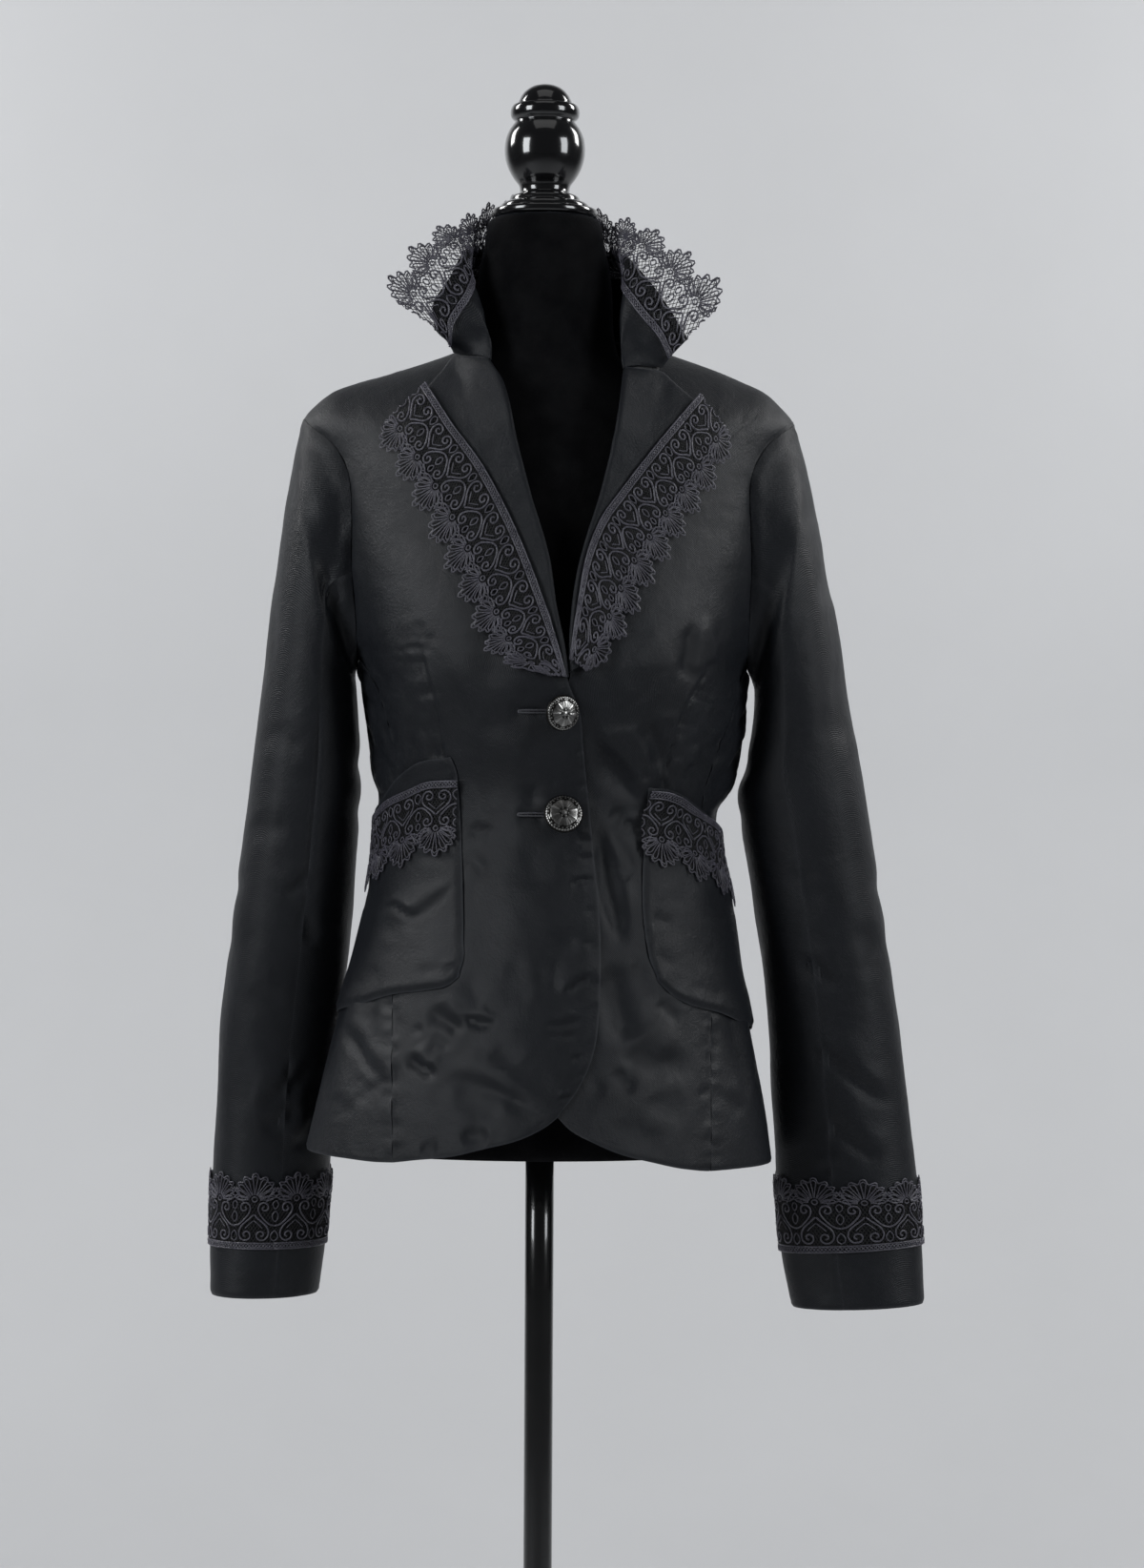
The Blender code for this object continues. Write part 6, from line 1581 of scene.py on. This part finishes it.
# ================================================================ form and stand
def turned_piece(name, outline, steps, mat, node, fine=3, sharp=50):
    """An outline from the axis, down the outer side and back to the axis, turned about z."""
    p = np.array(outline, float)
    pts = [p[0]]
    for i in range(len(p) - 1):
        a, b = p[i], p[i + 1]
        before, after = p[max(0, i - 1)], p[min(len(p) - 1, i + 2)]
        L = np.linalg.norm(b - a)
        m0 = unit(b - before) * L if i else (b - a)
        m1 = unit(after - a) * L if i + 2 < len(p) else (b - a)
        if np.dot(unit(b - a), unit(b - before)) < 0.72 or i == 0:
            m0 = b - a
        if np.dot(unit(b - a), unit(after - a)) < 0.72:
            m1 = b - a
        n = fine if L > 1.0 else 1
        for k in range(1, n + 1):
            t = k / n
            pts.append((1 + 2 * t) * (1 - t) ** 2 * a + t * (1 - t) ** 2 * m0 + t * t * (3 - 2 * t) * b + t * t * (t - 1) * m1)
    pts = np.array(pts)
    pts[:, 0] = np.maximum(pts[:, 0], 0)
    ring = pts[1:-1]
    ang = np.linspace(0, math.tau, steps, endpoint=False)
    verts = [(0, 0, pts[0, 1])] + [(r * math.cos(a), r * math.sin(a), z) for r, z in ring for a in ang] + [(0, 0, pts[-1, 1])]
    faces = []
    for i in range(steps):
        j = (i + 1) % steps
        faces.append((0, 1 + i, 1 + j))
        for k in range(len(ring) - 1):
            a = 1 + k * steps
            faces.append((a + i, a + steps + i, a + steps + j, a + j))
        last = 1 + (len(ring) - 1) * steps
        faces.append((last + j, last + i, len(verts) - 1))
    return link(name, verts, faces, mat, node, sharp=sharp)


def torso():
    steps = 120
    zs = np.concatenate([[812, 812.6, 814, 816, 820, 828], np.arange(840, 1480, 8.0), [1482, 1486, 1489, 1491, 1492.4, 1493]])
    verts, faces = [], []
    for z in zs:
        for i in range(steps):
            t = math.tau * i / steps
            reach = FORM.at("front", z) if math.cos(t) > 0 else FORM.at("back", z)
            x, y = FORM.at("wide", z) * math.sin(t), FORM.at("mid", z) - reach * math.cos(t)
            if z > 1250:
                x *= 1 + 0.004 * math.sin(3 * t + z * 0.02)
            verts.append((x, y, z))
    n = len(zs)
    for j in range(n - 1):
        for i in range(steps):
            a, b = j * steps + i, j * steps + (i + 1) % steps
            faces.append((a, b, b + steps, a + steps))
    c0, c1 = len(verts), len(verts) + 1
    verts += [(0, -5, 812), (0, 0, 1493)]
    last = (n - 1) * steps
    for i in range(steps):
        faces.append((c0, (i + 1) % steps, i))
        faces.append((c1, last + i, last + (i + 1) % steps))
    return link("form_velvet", verts, faces, VELVET, "form_torso", sharp=60)


# ================================================================ buttons
def button_piece(name, node, X, Z, radius, turn, lean, raised):
    """A domed metal button: a roped rim, and a plain generic rosette of leaves and beads inside."""
    rings, steps = 46, 144
    point, n = on_front(-1, X, Z, 1.2)
    point = point + n * raised
    # a shank button never sits quite square: lean is how far its face turns, as x and z
    face = Vector(tuple(unit(n + np.array((lean[0], 0.0, lean[1])))))
    q = Vector((0, 0, 1)).rotation_difference(face)
    verts, tint = [], []
    for j in range(rings + 1):
        f = j / rings
        r = radius * math.sin(f * math.pi / 2) if f < 1 else radius
        f = r / radius
        for i in range(steps):
            a = math.tau * i / steps + turn
            dome = 1.6 + 4.9 * math.sqrt(max(0.0, 1 - (f * 0.965) ** 2))
            relief = 0.0
            # roped rim
            rope = math.exp(-((f - 0.90) / 0.045) ** 2) * (0.62 + 0.38 * math.sin(40 * a + 9 * f))
            # a ring of eight leaves with ribs, and one of beads
            lobe = abs(math.sin(4 * a))
            leaf_r = 0.66 + 0.13 * lobe
            leaf = 1 / (1 + math.exp((f - leaf_r) * 46)) * 1 / (1 + math.exp((0.27 - f) * 46))
            rib = 0.55 + 0.45 * math.cos(8 * a) ** 2 * (0.6 + 0.4 * math.cos(30 * a))
            bead = math.exp(-((f - 0.80) / 0.026) ** 2) * max(0.0, math.cos(24 * a)) ** 0.6
            heart = math.exp(-(f / 0.13) ** 2) + 0.65 * math.exp(-((f - 0.21) / 0.03) ** 2) * max(0.0, math.cos(6 * a + 0.5)) ** 0.5
            relief = 0.50 * rope + 0.42 * leaf * rib * (0.6 + 0.4 * lobe) + 0.34 * bead + 0.45 * heart
            relief -= 0.25 * math.exp(-((f - 0.735) / 0.02) ** 2)
            z = dome + relief * 0.95 - 0.35
            p = Vector((r * math.cos(a), r * math.sin(a), z))
            verts.append(tuple(Vector(point) + q @ p))
            tint.append(min(1.0, max(0.0, 0.12 + relief * 1.45)))
    top = rings * steps
    # edge and underside
    extra = ((radius, 1.2), (radius - 0.4, 0.7), (radius - 2.0, 0.4), (3.0, 0.35), (2.6, -0.6))
    for r, z in extra:
        for i in range(steps):
            a = math.tau * i / steps + turn
            verts.append(tuple(Vector(point) + q @ Vector((r * math.cos(a), r * math.sin(a), z))))
            tint.append(0.4)
    faces = []
    total = rings + len(extra)
    for j in range(total):
        for i in range(steps):
            a, b = j * steps + i, j * steps + (i + 1) % steps
            if j == 0:
                continue
            faces.append((a, a + steps, b + steps, b))
    c0 = len(verts)
    verts.append(tuple(Vector(point) + q @ Vector((0, 0, 1.6 + 4.9 + 0.42 - 0.35))))
    tint.append(0.8)
    for i in range(steps):
        faces.append((c0, steps + i, steps + (i + 1) % steps))
    last = total * steps
    faces.append(tuple(last + i for i in range(steps))[::-1][::1])
    # the first ring of points is unused: it lies on the axis
    keep = [k for k in range(len(verts)) if k >= steps]
    new = {k: i for i, k in enumerate(keep)}
    faces = [tuple(new[k] for k in f) for f in faces]
    verts, tint = [verts[k] for k in keep], [tint[k] for k in keep]
    ob = link(name, verts, faces, SILVER, node, tint=tint)
    bm = bmesh.new()
    bm.from_mesh(ob.data)
    bmesh.ops.recalc_face_normals(bm, faces=bm.faces)
    bm.to_mesh(ob.data)
    bm.free()
    return ob


def buttonhole(name, Z, x0, x1):
    """A horizontal worked buttonhole with a round end by the button; a near-black sheet in its slit is painted shade.
    """
    path = []
    for a in np.linspace(0, math.tau, 64, endpoint=False):
        c = math.cos(a)
        eye = 0.7 * math.exp(-((c - 0.86) / 0.2) ** 2)
        path.append(((x0 + x1) / 2 + (x1 - x0) / 2 * c, Z + (1.0 + eye) * math.copysign(abs(math.sin(a)) ** 0.35, math.sin(a))))
    rows = []
    for k, (x, z) in enumerate(path):
        rows.append(on_front(-1, x, z, 0.75)[0])
    line = np.array(rows)[None]
    n = np.broadcast_to(on_front(-1, (x0 + x1) / 2, Z, 0)[1], line.shape)
    r = 0.62 * (1 + 0.22 * np.sin(np.arange(64) * 2.6))
    v, f = tubes(line, n, r, sides=6, flat=0.7, closed=True)
    ob = link(name, v, f, STITCH)
    TRIMS.setdefault("front_right_cloth", []).append(ob)
    # a thin sheet in the velvet's near-black colour laid in the slit: painted shade of the cut
    dark = [on_front(-1, x0 + (x1 - x0) * t, Z + s * 0.6, 0.55)[0] for s in (-1, 1) for t in np.linspace(0.03, 0.97, 24)]
    faces = [(i, i + 1, 25 + i, 24 + i) for i in range(23)]
    low = [p + n[0, 0] * -0.4 for p in dark]
    m = len(dark)
    faces2 = [tuple(m + i for i in f[::-1]) for f in faces]
    rim = [(i + 1, i, m + i, m + i + 1) for i in range(23)] + [(24 + i, 25 + i, m + 25 + i, m + 24 + i) for i in range(23)]
    rim += [(0, 24, m + 24, m), (47, 23, m + 23, m + 47)]
    TRIMS["front_right_cloth"].append(link(name + "_slit_shade", np.array(dark + low), faces + faces2 + rim, VELVET))
    return ob


# ================================================================ lace
def tubes(lines, normal, radius, sides=6, flat=0.8, closed=False):
    """Cords swept along many lines at once: lines is (count, points, 3). Returns verts and faces."""
    L, n, _ = lines.shape
    if closed:
        t = np.roll(lines, -1, axis=1) - np.roll(lines, 1, axis=1)
    else:
        t = np.gradient(lines, axis=1)
    t = unit(t)
    nn = unit(normal - (normal * t).sum(axis=2, keepdims=True) * t)
    s = np.cross(t, nn)
    r = np.asarray(radius, float)
    if r.ndim == 0:
        r = np.full(n, float(r))
    a = np.arange(sides) * math.tau / sides
    ring = (lines[:, :, None, :] + r[None, :, None, None] * (np.cos(a)[None, None, :, None] * s[:, :, None, :]
            + flat * np.sin(a)[None, None, :, None] * nn[:, :, None, :]))
    verts = ring.reshape(-1, 3)
    base = (np.arange(L) * n * sides)[:, None, None]
    k = np.arange(n if closed else n - 1)[None, :, None]
    i = np.arange(sides)[None, None, :]
    k1, i1 = (k + 1) % n, (i + 1) % sides
    f = np.stack(np.broadcast_arrays(base + k * sides + i, base + k * sides + i1, base + k1 * sides + i1, base + k1 * sides + i), axis=-1).reshape(-1, 4)
    faces = f.tolist()
    if not closed:
        for b in (np.arange(L) * n * sides):
            faces.append(tuple(int(b + j) for j in range(sides))[::-1])
            faces.append(tuple(int(b + (n - 1) * sides + j) for j in range(sides)))
    return verts, faces


def curve(points, n):
    """A smooth line through a few charted points."""
    return polyline(points, n - 1)


def spiral(cx, cy, r0, r1, a0, turns, n=18):
    t = np.linspace(0, 1, n)
    a = math.radians(a0) + turns * math.tau * t
    r = r0 + (r1 - r0) * t
    return [(cx + q * math.cos(b), cy + q * math.sin(b)) for q, b in zip(r, a)]


WIDE, HALF = LACE_WIDE, LACE_REPEAT / 2
FAN = (0.0, 35.3)
PETALS = ((0, 19.2), (22, 17.2), (-22, 17.2), (43, 15.2), (-43, 15.2), (63, 13.4), (-63, 13.4), (82, 11.8), (-82, 11.8))


def fan_reach(deg):
    """Reach of the fan's outline from its base at an angle from the tip, scalloped between the petals."""
    d = abs(deg)
    smooth = np.interp(d, [0, 8, 22, 43, 63, 82, 104], [20.4, 17.6, 17.6, 15.3, 13.7, 12.4, 9.2])
    petals = np.array([p[0] for p in PETALS])
    off = np.min(np.abs(petals - deg))
    return smooth + max(-1.7, 2.0 - 0.38 * off) if d > 4 else smooth + 1.2


def chart():
    """One repeat of the border as drawn: x along it, -13.5 to 13.5, y from the braid to the tips.
    Each cord is (points, radius, closed, height)."""
    cords = []
    # heart: from its point up each side to a scroll that turns inwards
    for m in (-1, 1):
        side_line = [(0.4, 25.5), (3.6, 22.2), (7.6, 18.6), (9.7, 14.4), (9.0, 10.0), (6.4, 7.9), (3.4, 8.6), (2.1, 11.4), (3.5, 13.9),
                     (6.0, 13.6), (6.6, 11.4), (5.0, 10.6)]
        cords.append(([(m * x, y) for x, y in side_line], 0.66, False, 0.55, 40))
        # inner leaf of the heart
        cords.append(([(m * x, y) for x, y in [(0.2, 21.5), (3.0, 19.0), (5.6, 16.4)]], 0.4, False, 0.35, 8))
        # arch over the valley, from the middle of the next arch to a scroll beside the fan's base
        arch = [(13.5, 18.0), (10.6, 18.8), (7.2, 21.6), (4.2, 25.2), (2.6, 29.0), (3.8, 32.6), (6.9, 33.4), (8.9, 31.2), (8.3, 28.6),
                (6.2, 28.2), (5.2, 29.8), (6.4, 30.8)]
        cords.append(([(m * x, y) for x, y in arch], 0.66, False, 0.55, 42))
        # drop below the arch, leaf and ring in the valley
        cords.append(([(m * x, y) for x, y in [(13.5, 20.6), (11.8, 22.8), (11.9, 25.8), (13.5, 27.8)]], 0.45, False, 0.4, 9))
        cords.append(([(m * x, y) for x, y in [(13.5, 34.8), (12.0, 33.4), (12.2, 30.6), (13.5, 29.2)]], 0.45, False, 0.4, 9))
        cords.append(([(m * x, y) for x, y in [(13.5, 14.9), (11.6, 12.4), (11.4, 9.2), (13.5, 7.2)]], 0.45, False, 0.35, 9))
    # petals: narrow loops from the fan's base
    for deg, reach in PETALS:
        a = math.radians(deg)
        ux, uy = math.sin(a), math.cos(a)
        w = 1.5 if abs(deg) < 70 else 1.2
        loop = [(3.6, 0.2), (reach * 0.55, w * 0.55), (reach * 0.84, w), (reach * 0.97, w * 0.7), (reach, 0.0),
                (reach * 0.97, -w * 0.7), (reach * 0.84, -w), (reach * 0.55, -w * 0.55), (3.6, -0.2)]
        pts = [(FAN[0] + r * ux + s * uy, FAN[1] + r * uy - s * ux) for r, s in loop]
        cords.append((pts, 0.44, False, 0.9, 19))
    # the fan's base
    cords.append(([(1.7 * math.cos(a), FAN[1] + 0.6 + 1.7 * math.sin(a)) for a in np.linspace(0, math.tau, 9)[:-1]], 0.5, True, 0.6, 12))
    # scalloped outline, down to the valleys, with a small spike between two fans
    out = [(-13.5, 42.6), (-12.6, 44.8), (-11.8, 42.4)]
    for deg in np.arange(-104, 104.1, 4.0):
        r = fan_reach(deg)
        out.append((FAN[0] + r * math.sin(math.radians(deg)), FAN[1] + 0.6 + r * math.cos(math.radians(deg))))
    out += [(11.8, 42.4), (12.6, 44.8), (13.5, 42.6)]
    cords.append((out, 0.56, False, 0.55, 0))
    # braid along the sewn edge: two cords with a twist between them
    for y, r in ((0.9, 0.62), (5.4, 0.55)):
        cords.append(([(-13.5, y), (-4.5, y), (4.5, y), (13.5, y)], r, False, 0.55, 8))
    zig = [(-13.5 + 27 * i / 24, 3.15 + 1.55 * math.sin(math.tau * i / 4)) for i in range(25)]
    cords.append((zig, 0.5, False, 0.45, 0))
    zig = [(-13.5 + 27 * i / 24, 3.15 - 1.55 * math.sin(math.tau * i / 4)) for i in range(25)]
    cords.append((zig, 0.5, False, 0.6, 0))
    return cords


def inside_border(x, y):
    """True where the net is: between the braid and the scalloped outline."""
    if y < 0.6:
        return False
    x = (x + HALF) % LACE_REPEAT - HALF
    if y < 41.5:
        return True
    deg = math.degrees(math.atan2(x, y - FAN[1] - 0.6))
    r = math.hypot(x, y - FAN[1] - 0.6)
    return r < fan_reach(deg) - 0.2 and abs(deg) < 104


def net_lines(pitch):
    """Diamond net of one repeat, as short straight runs: pairs of (x, y)."""
    runs = []
    n = max(1, round(LACE_REPEAT / pitch))
    step = LACE_REPEAT / n
    for slope in (-1, 1):
        for i in range(-60, 60):
            x0 = -HALF + i * step
            pts = []
            y = 0.6
            while y < WIDE:
                x = x0 + slope * y * 0.62
                if -HALF - 1e-6 <= x <= HALF + 1e-6 and inside_border(x, y):
                    pts.append((x, y))
                else:
                    if len(pts) > 1:
                        runs.append(pts)
                    pts = []
                y += step * 0.9
            if len(pts) > 1:
                runs.append(pts)
    return runs


CHART = chart()


class Border:
    """A lace border on a surface: point(a, b) with a in repeats along it and b in mm from the braid."""

    def __init__(self, grid, a, b, ref, ring=False):
        self.G, self.a, self.b = np.asarray(grid, float), np.asarray(a, float), np.asarray(b, float)
        self.ref, self.ring = ref, ring
        self.N = normals(self.G, ref, ring)

    def read(self, A, B):
        """Points and normals at arrays of a and b, smooth between the grid's own."""
        def weights(x, v):
            i = np.clip(np.searchsorted(x, v) - 1, 0, len(x) - 2)
            t = (v - x[i]) / (x[i + 1] - x[i])
            return i, t
        ia, ta = weights(self.a, A)
        ib, tb = weights(self.b, B)
        ta, tb = ta[..., None], tb[..., None]

        def mix(F):
            return ((F[ib, ia] * (1 - ta) + F[ib, ia + 1] * ta) * (1 - tb) + (F[ib + 1, ia] * (1 - ta) + F[ib + 1, ia + 1] * ta) * tb)
        return mix(self.G), unit(mix(self.N))


def lace(name, node, border, repeats, base, pitch=2.2, spread=None, rests=(), thick=0.42, heavy=1.0, start=0.0):
    """Cords and net of the border, repeats times along it; spread gives each repeat's start and end."""
    spread = spread or [(start + i, start + i + 1) for i in range(repeats)]
    V, F, off = [], [], 0

    def to_surface(x, y):
        A = np.array([lo + (hi - lo) * (x / LACE_REPEAT + 0.5) for lo, hi in spread])
        B = np.broadcast_to(y, A.shape)
        return border.read(A, np.clip(B, 0, WIDE)), A, B

    for k, (pts, radius, closed, height, n) in enumerate(CHART):
        line = np.array(pts, float)
        if n:
            if closed:
                line = np.concatenate([line, line[:1]])
                line = curve(line, n + 1)[:-1]
            else:
                line = curve(line, n)
        (p, nn), A, B = to_surface(line[:, 0], line[:, 1])
        wob = 0.10 * np.sin(A * 37 + B * 1.7 + k)
        p = p + nn * (height + wob)[..., None] if isinstance(height, np.ndarray) else p + nn * (height + wob[..., None])
        r = heavy * radius * (1 + 0.10 * np.sin(np.arange(len(line)) * 1.3 + k))
        v, f = tubes(p, nn, r, sides=5, flat=0.85, closed=closed)
        V.append(v)
        F += [tuple(i + off for i in q) for q in f]
        off += len(v)
    cords = link(name, np.concatenate(V), F, CORD, node)
    V, F, off = [], [], 0
    by_length = {}
    for run in net_lines(pitch):
        by_length.setdefault(len(run), []).append(run)
    for n, runs in sorted(by_length.items()):
        for run in runs:
            line = np.array(run)
            (p, nn), A, B = to_surface(line[:, 0], line[:, 1])
            v, f = tubes(p, nn, thick, sides=3, flat=0.55)
            V.append(v)
            F += [tuple(i + off for i in q) for q in f]
            off += len(v)
    net = link(name + "_net", np.concatenate(V), F, NET)
    TRIMS.setdefault(base, []).extend([cords, net])
    return cords, net


def lapel_border(side):
    a = np.linspace(0, 9, 55)
    fs = (0, 0.15, 0.3, 0.45, 0.6, 0.75, 0.88, 1.0)
    grid = []
    for f in fs:
        row = []
        for t in a / 9:
            p0, p1 = lapel_line(side, t, "lace"), lapel_line(side, t, "tip")
            p = p0 + (p1 - p0) * f
            over = lapel_rise(0.5) + 0.5 + 0.6 * max(0.0, 1 - t / 0.2) + 1.4 * max(0.0, 1 - f / 0.3) * (0.3 + 0.7 * t)
            past = 2.3
            k = min(1.0, max(0.0, (f - 0.5) / 0.35))
            row.append(on_front(side, p[0], p[1], over + (past - over) * k * k * (3 - 2 * k) + 0.9)[0])
        grid.append(row)
    return Border(grid, a, np.array(fs) * WIDE, (0, -1, 0))


def pocket_border(side):
    a = np.linspace(0, 4, 33)
    fs = np.linspace(0, 1, 8)
    u0 = pocket_inner(side, 1070.0)
    grid = [[None] * len(a) for _ in fs]
    for i, v in enumerate(a):
        u = u0 + (side * POCKET_LACE_BACK[side] - u0) * v / 4
        top = drawn_z(POCKET_LACE, side, u, 1070) + pocket_drop(side, u, False) - 1.0
        for j, f in enumerate(fs):
            z = top - (LACE_WIDE - 1.5) * f
            lift = POCKET_LIE + CLOTH + 0.9 + 0.8 * f * math.cos(math.radians(min(90.0, abs(u))))
            grid[j][i] = skin(u, z) + skin_normal(u, z) * lift
    return Border(grid, a, fs * WIDE, (side * 0.4, -1, 0))


def cuff_border(side):
    a = np.linspace(0, 9, 73)
    fs = np.linspace(0, 1, 8)
    grid = []
    for f in fs:
        k = 14.0 - 1.1 * f
        grid.append([sleeve_point(side, k, 360.0 * v / 9 - 60) + sleeve_normal(side, k, 360.0 * v / 9 - 60) * (1.0 + 0.4 * f) for v in a])
    G = np.array(grid)
    b = Border(G, a, fs * WIDE, (0, -1, 0))
    centre = G[:, :-1].mean(axis=1)[4]
    if np.dot(b.N[4, 10], G[4, 10] - centre) < 0:
        b.N = -b.N
    # close the ring's normals
    b.N[:, 0] = b.N[:, -1] = unit(b.N[:, 1] + b.N[:, -2])
    return b


def collar_border(side):
    end = COLLAR_END[side]
    a = np.linspace(0, end, 45)
    fs = (0, 0.12, 0.24, 0.351, 0.48, 0.6, 0.73, 0.86, 1.0)
    grid = []
    for f in fs:
        row = []
        for w in a:
            height = max(30.0, np.linalg.norm(collar_point(side, w, 1) - collar_point(side, w, 0.5)) * 2)
            v0 = 1 - LACE_ON_EDGE / height
            v = v0 + (1 - v0) * f / 0.351 if f < 0.351 else 1 + (f - 0.351) / 0.649
            row.append(collar_point(side, w, v) - collar_normal(side, w, v) * (COLLAR_WALL / 2 + 0.9))
        grid.append(row)
    return Border(grid, a, np.array(fs) * WIDE, -collar_normal(side, 3.0, 1.2))


# ================================================================ build
def build():
    for side, who in ((-1, "right"), (1, "left")):
        front(side, who)
        side_part(side, who)
        back_part(side, who)
        sleeve(side, who, "top", (-85, 105), 70)
        sleeve(side, who, "under", (105, 275), 46)
        lapel_piece(side, who)
        pocket_piece(side, who)
        armhole_strip(side, who)
        for phi, label in ((-85, "front"), (105, "back")):
            sleeve_strip(side, who, phi, label)
        foot = []
        for d in (-8.0, -3.5, 1.0, 5.5):
            row = []
            for w in np.linspace(0.0, COLLAR_END[side] - 0.15, 64):
                p = collar_foot(side, w)
                towards = unit(np.array((side * 4.0 - p[0], 10.0 - p[1], 0.0))) * 2.0
                k = min(1.0, max(0.0, (w - 4.0) / 0.8))
                row.append(p + towards * (1 - k) + np.array((0, 2.6 + 0.1 * d, 0)) * k + (0, 0, d))
            foot.append(row)
        strip(f"neckline_allowance_{who}", foot, who, "collar_cloth")
    collar_piece()
    torso()
    turned_piece("cap_turned", CAP[::-1] if CAP[0][1] < CAP[-1][1] else CAP, 112, LACQUER, "form_cap", fine=2)
    turned_piece("base_turned", FOOT, 128, BASE, "form_base", fine=2)
    turned_piece("pole_turned", ((0.0, 811.7), (9.8, 811.7), (POLE_R, 811.0), (POLE_R, 700.0), (POLE_R, 400.0), (POLE_R, 60.0), (POLE_R, 30.3), (0.0, 30.3)), 96, POLE, "form_pole", fine=1)
    for (name, X, Z, r), turn, lean, hole in zip(BUTTONS, (0.3, 1.1), ((0.5, 0.08), (0.05, 0.42)), ((-17.0, 8.0), (-17.0, 6.0))):
        button_piece(name + "_metal", name, X, Z, r + 0.3, turn, lean, 4.2)
        buttonhole(name.replace("button", "buttonhole"), Z - 0.3, *hole)
    for side, who in ((-1, "right"), (1, "left")):
        lace(f"lace_lapel_{who}_cords", f"lace_lapel_{who}", lapel_border(side), 9, f"lapel_{who}_cloth")
        lace(f"lace_pocket_{who}_cords", f"lace_pocket_{who}", pocket_border(side), 4, f"pocket_{who}_cloth")
        lace(f"lace_cuff_{who}_cords", f"lace_cuff_{who}", cuff_border(side), 9, f"sleeve_{who}_top_cloth")
    first = True
    for side in (-1, 1):
        end = COLLAR_END[side]
        n = 7
        first_wide = 0.9
        rest = (end - first_wide) / 6
        spread = [(0, first_wide)] + [(first_wide + i * rest, first_wide + (i + 1) * rest) for i in range(6)]
        who = "right" if side < 0 else "left"
        lace(f"lace_collar_{who}_cords", "lace_collar" if first else None, collar_border(side), n, "collar_cloth", pitch=2.7, spread=spread, thick=0.32, heavy=1.25)
        first = False


def stage():
    pale = plain_mat("stage_pale", (0.5, 0.505, 0.515), 0.95)
    verts, faces = [], []
    profile = [(-6.0, 0.0), (1.6, 0.0)] + [(1.6 + 1.2 * math.sin(a), 1.2 - 1.2 * math.cos(a)) for a in np.linspace(0, math.pi / 2, 20)[1:]] + [(2.8, 6.0)]
    for x in (-7, 7):
        verts += [(x, y, z) for y, z in profile]
    n = len(profile)
    faces = [(i, i + n, i + n + 1, i + 1) for i in range(n - 1)]
    mesh = bpy.data.meshes.new("stage_floor")
    mesh.from_pydata(verts, [], faces)
    mesh.shade_smooth()
    ob = bpy.data.objects.new("stage_floor", mesh)
    bpy.context.scene.collection.objects.link(ob)
    mesh.materials.append(pale)
    ob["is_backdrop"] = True

    def lamp(name, place_at, aim, size, size_y, power, colour=(1, 1, 1)):
        data = bpy.data.lights.new(name, "AREA")
        data.shape = "RECTANGLE"
        data.size, data.size_y, data.energy, data.color = size, size_y, power, colour
        lamp_ob = bpy.data.objects.new(name, data)
        bpy.context.scene.collection.objects.link(lamp_ob)
        lamp_ob.location = place_at
        lamp_ob.rotation_euler = (Vector(aim) - Vector(place_at)).to_track_quat("-Z", "Y").to_euler()
        return lamp_ob

    lamp("key_left", (-2.15, -1.55, 1.9), (0, 0, 1.2), 0.9, 1.5, 42, (0.94, 0.97, 1.0))
    lamp("key_right", (2.2, -1.4, 1.9), (0, 0, 1.2), 0.9, 1.5, 32, (0.94, 0.97, 1.0))
    lamp("top_soft", (0.0, -0.6, 3.4), (0, 0, 1.2), 1.6, 1.2, 3)
    lamp("backdrop_wash_left", (-2.2, 0.9, 2.6), (-0.5, 2.8, 1.2), 1.2, 1.2, 55)
    lamp("backdrop_wash_right", (2.2, 0.9, 2.6), (0.5, 2.8, 1.2), 1.2, 1.2, 55)
    world = bpy.data.worlds.new("studio")
    world.use_nodes = True
    world.node_tree.nodes["Background"].inputs["Color"].default_value = (0.86, 0.88, 0.92, 1)
    world.node_tree.nodes["Background"].inputs["Strength"].default_value = 0.06
    scene = bpy.context.scene
    scene.world = world
    scene.view_settings.view_transform = "Standard"
    scene.view_settings.look = "None"
    cam = bpy.data.cameras.new("camera")
    cam.sensor_fit = "VERTICAL"
    cam.sensor_height = 24
    cam.lens = 24 * 3714 / 1645
    cam.clip_start, cam.clip_end = 0.05, 50
    cam.dof.use_dof = False
    cam_ob = bpy.data.objects.new("camera", cam)
    bpy.context.scene.collection.objects.link(cam_ob)
    cam_ob.location = (0.0223, -2.6, 1.0782)
    cam_ob.rotation_euler = (math.pi / 2, -0.0052, 0)
    scene.camera = cam_ob


build()
stage()
VISUAL_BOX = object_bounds()


def plain(v):
    if isinstance(v, dict):
        return {k: plain(x) for k, x in v.items()}
    if isinstance(v, (int, float)):
        return round(float(v), 6)
    return [plain(x) for x in v]


{"cad": plain(CAD_BOX), "visual": plain(VISUAL_BOX)}
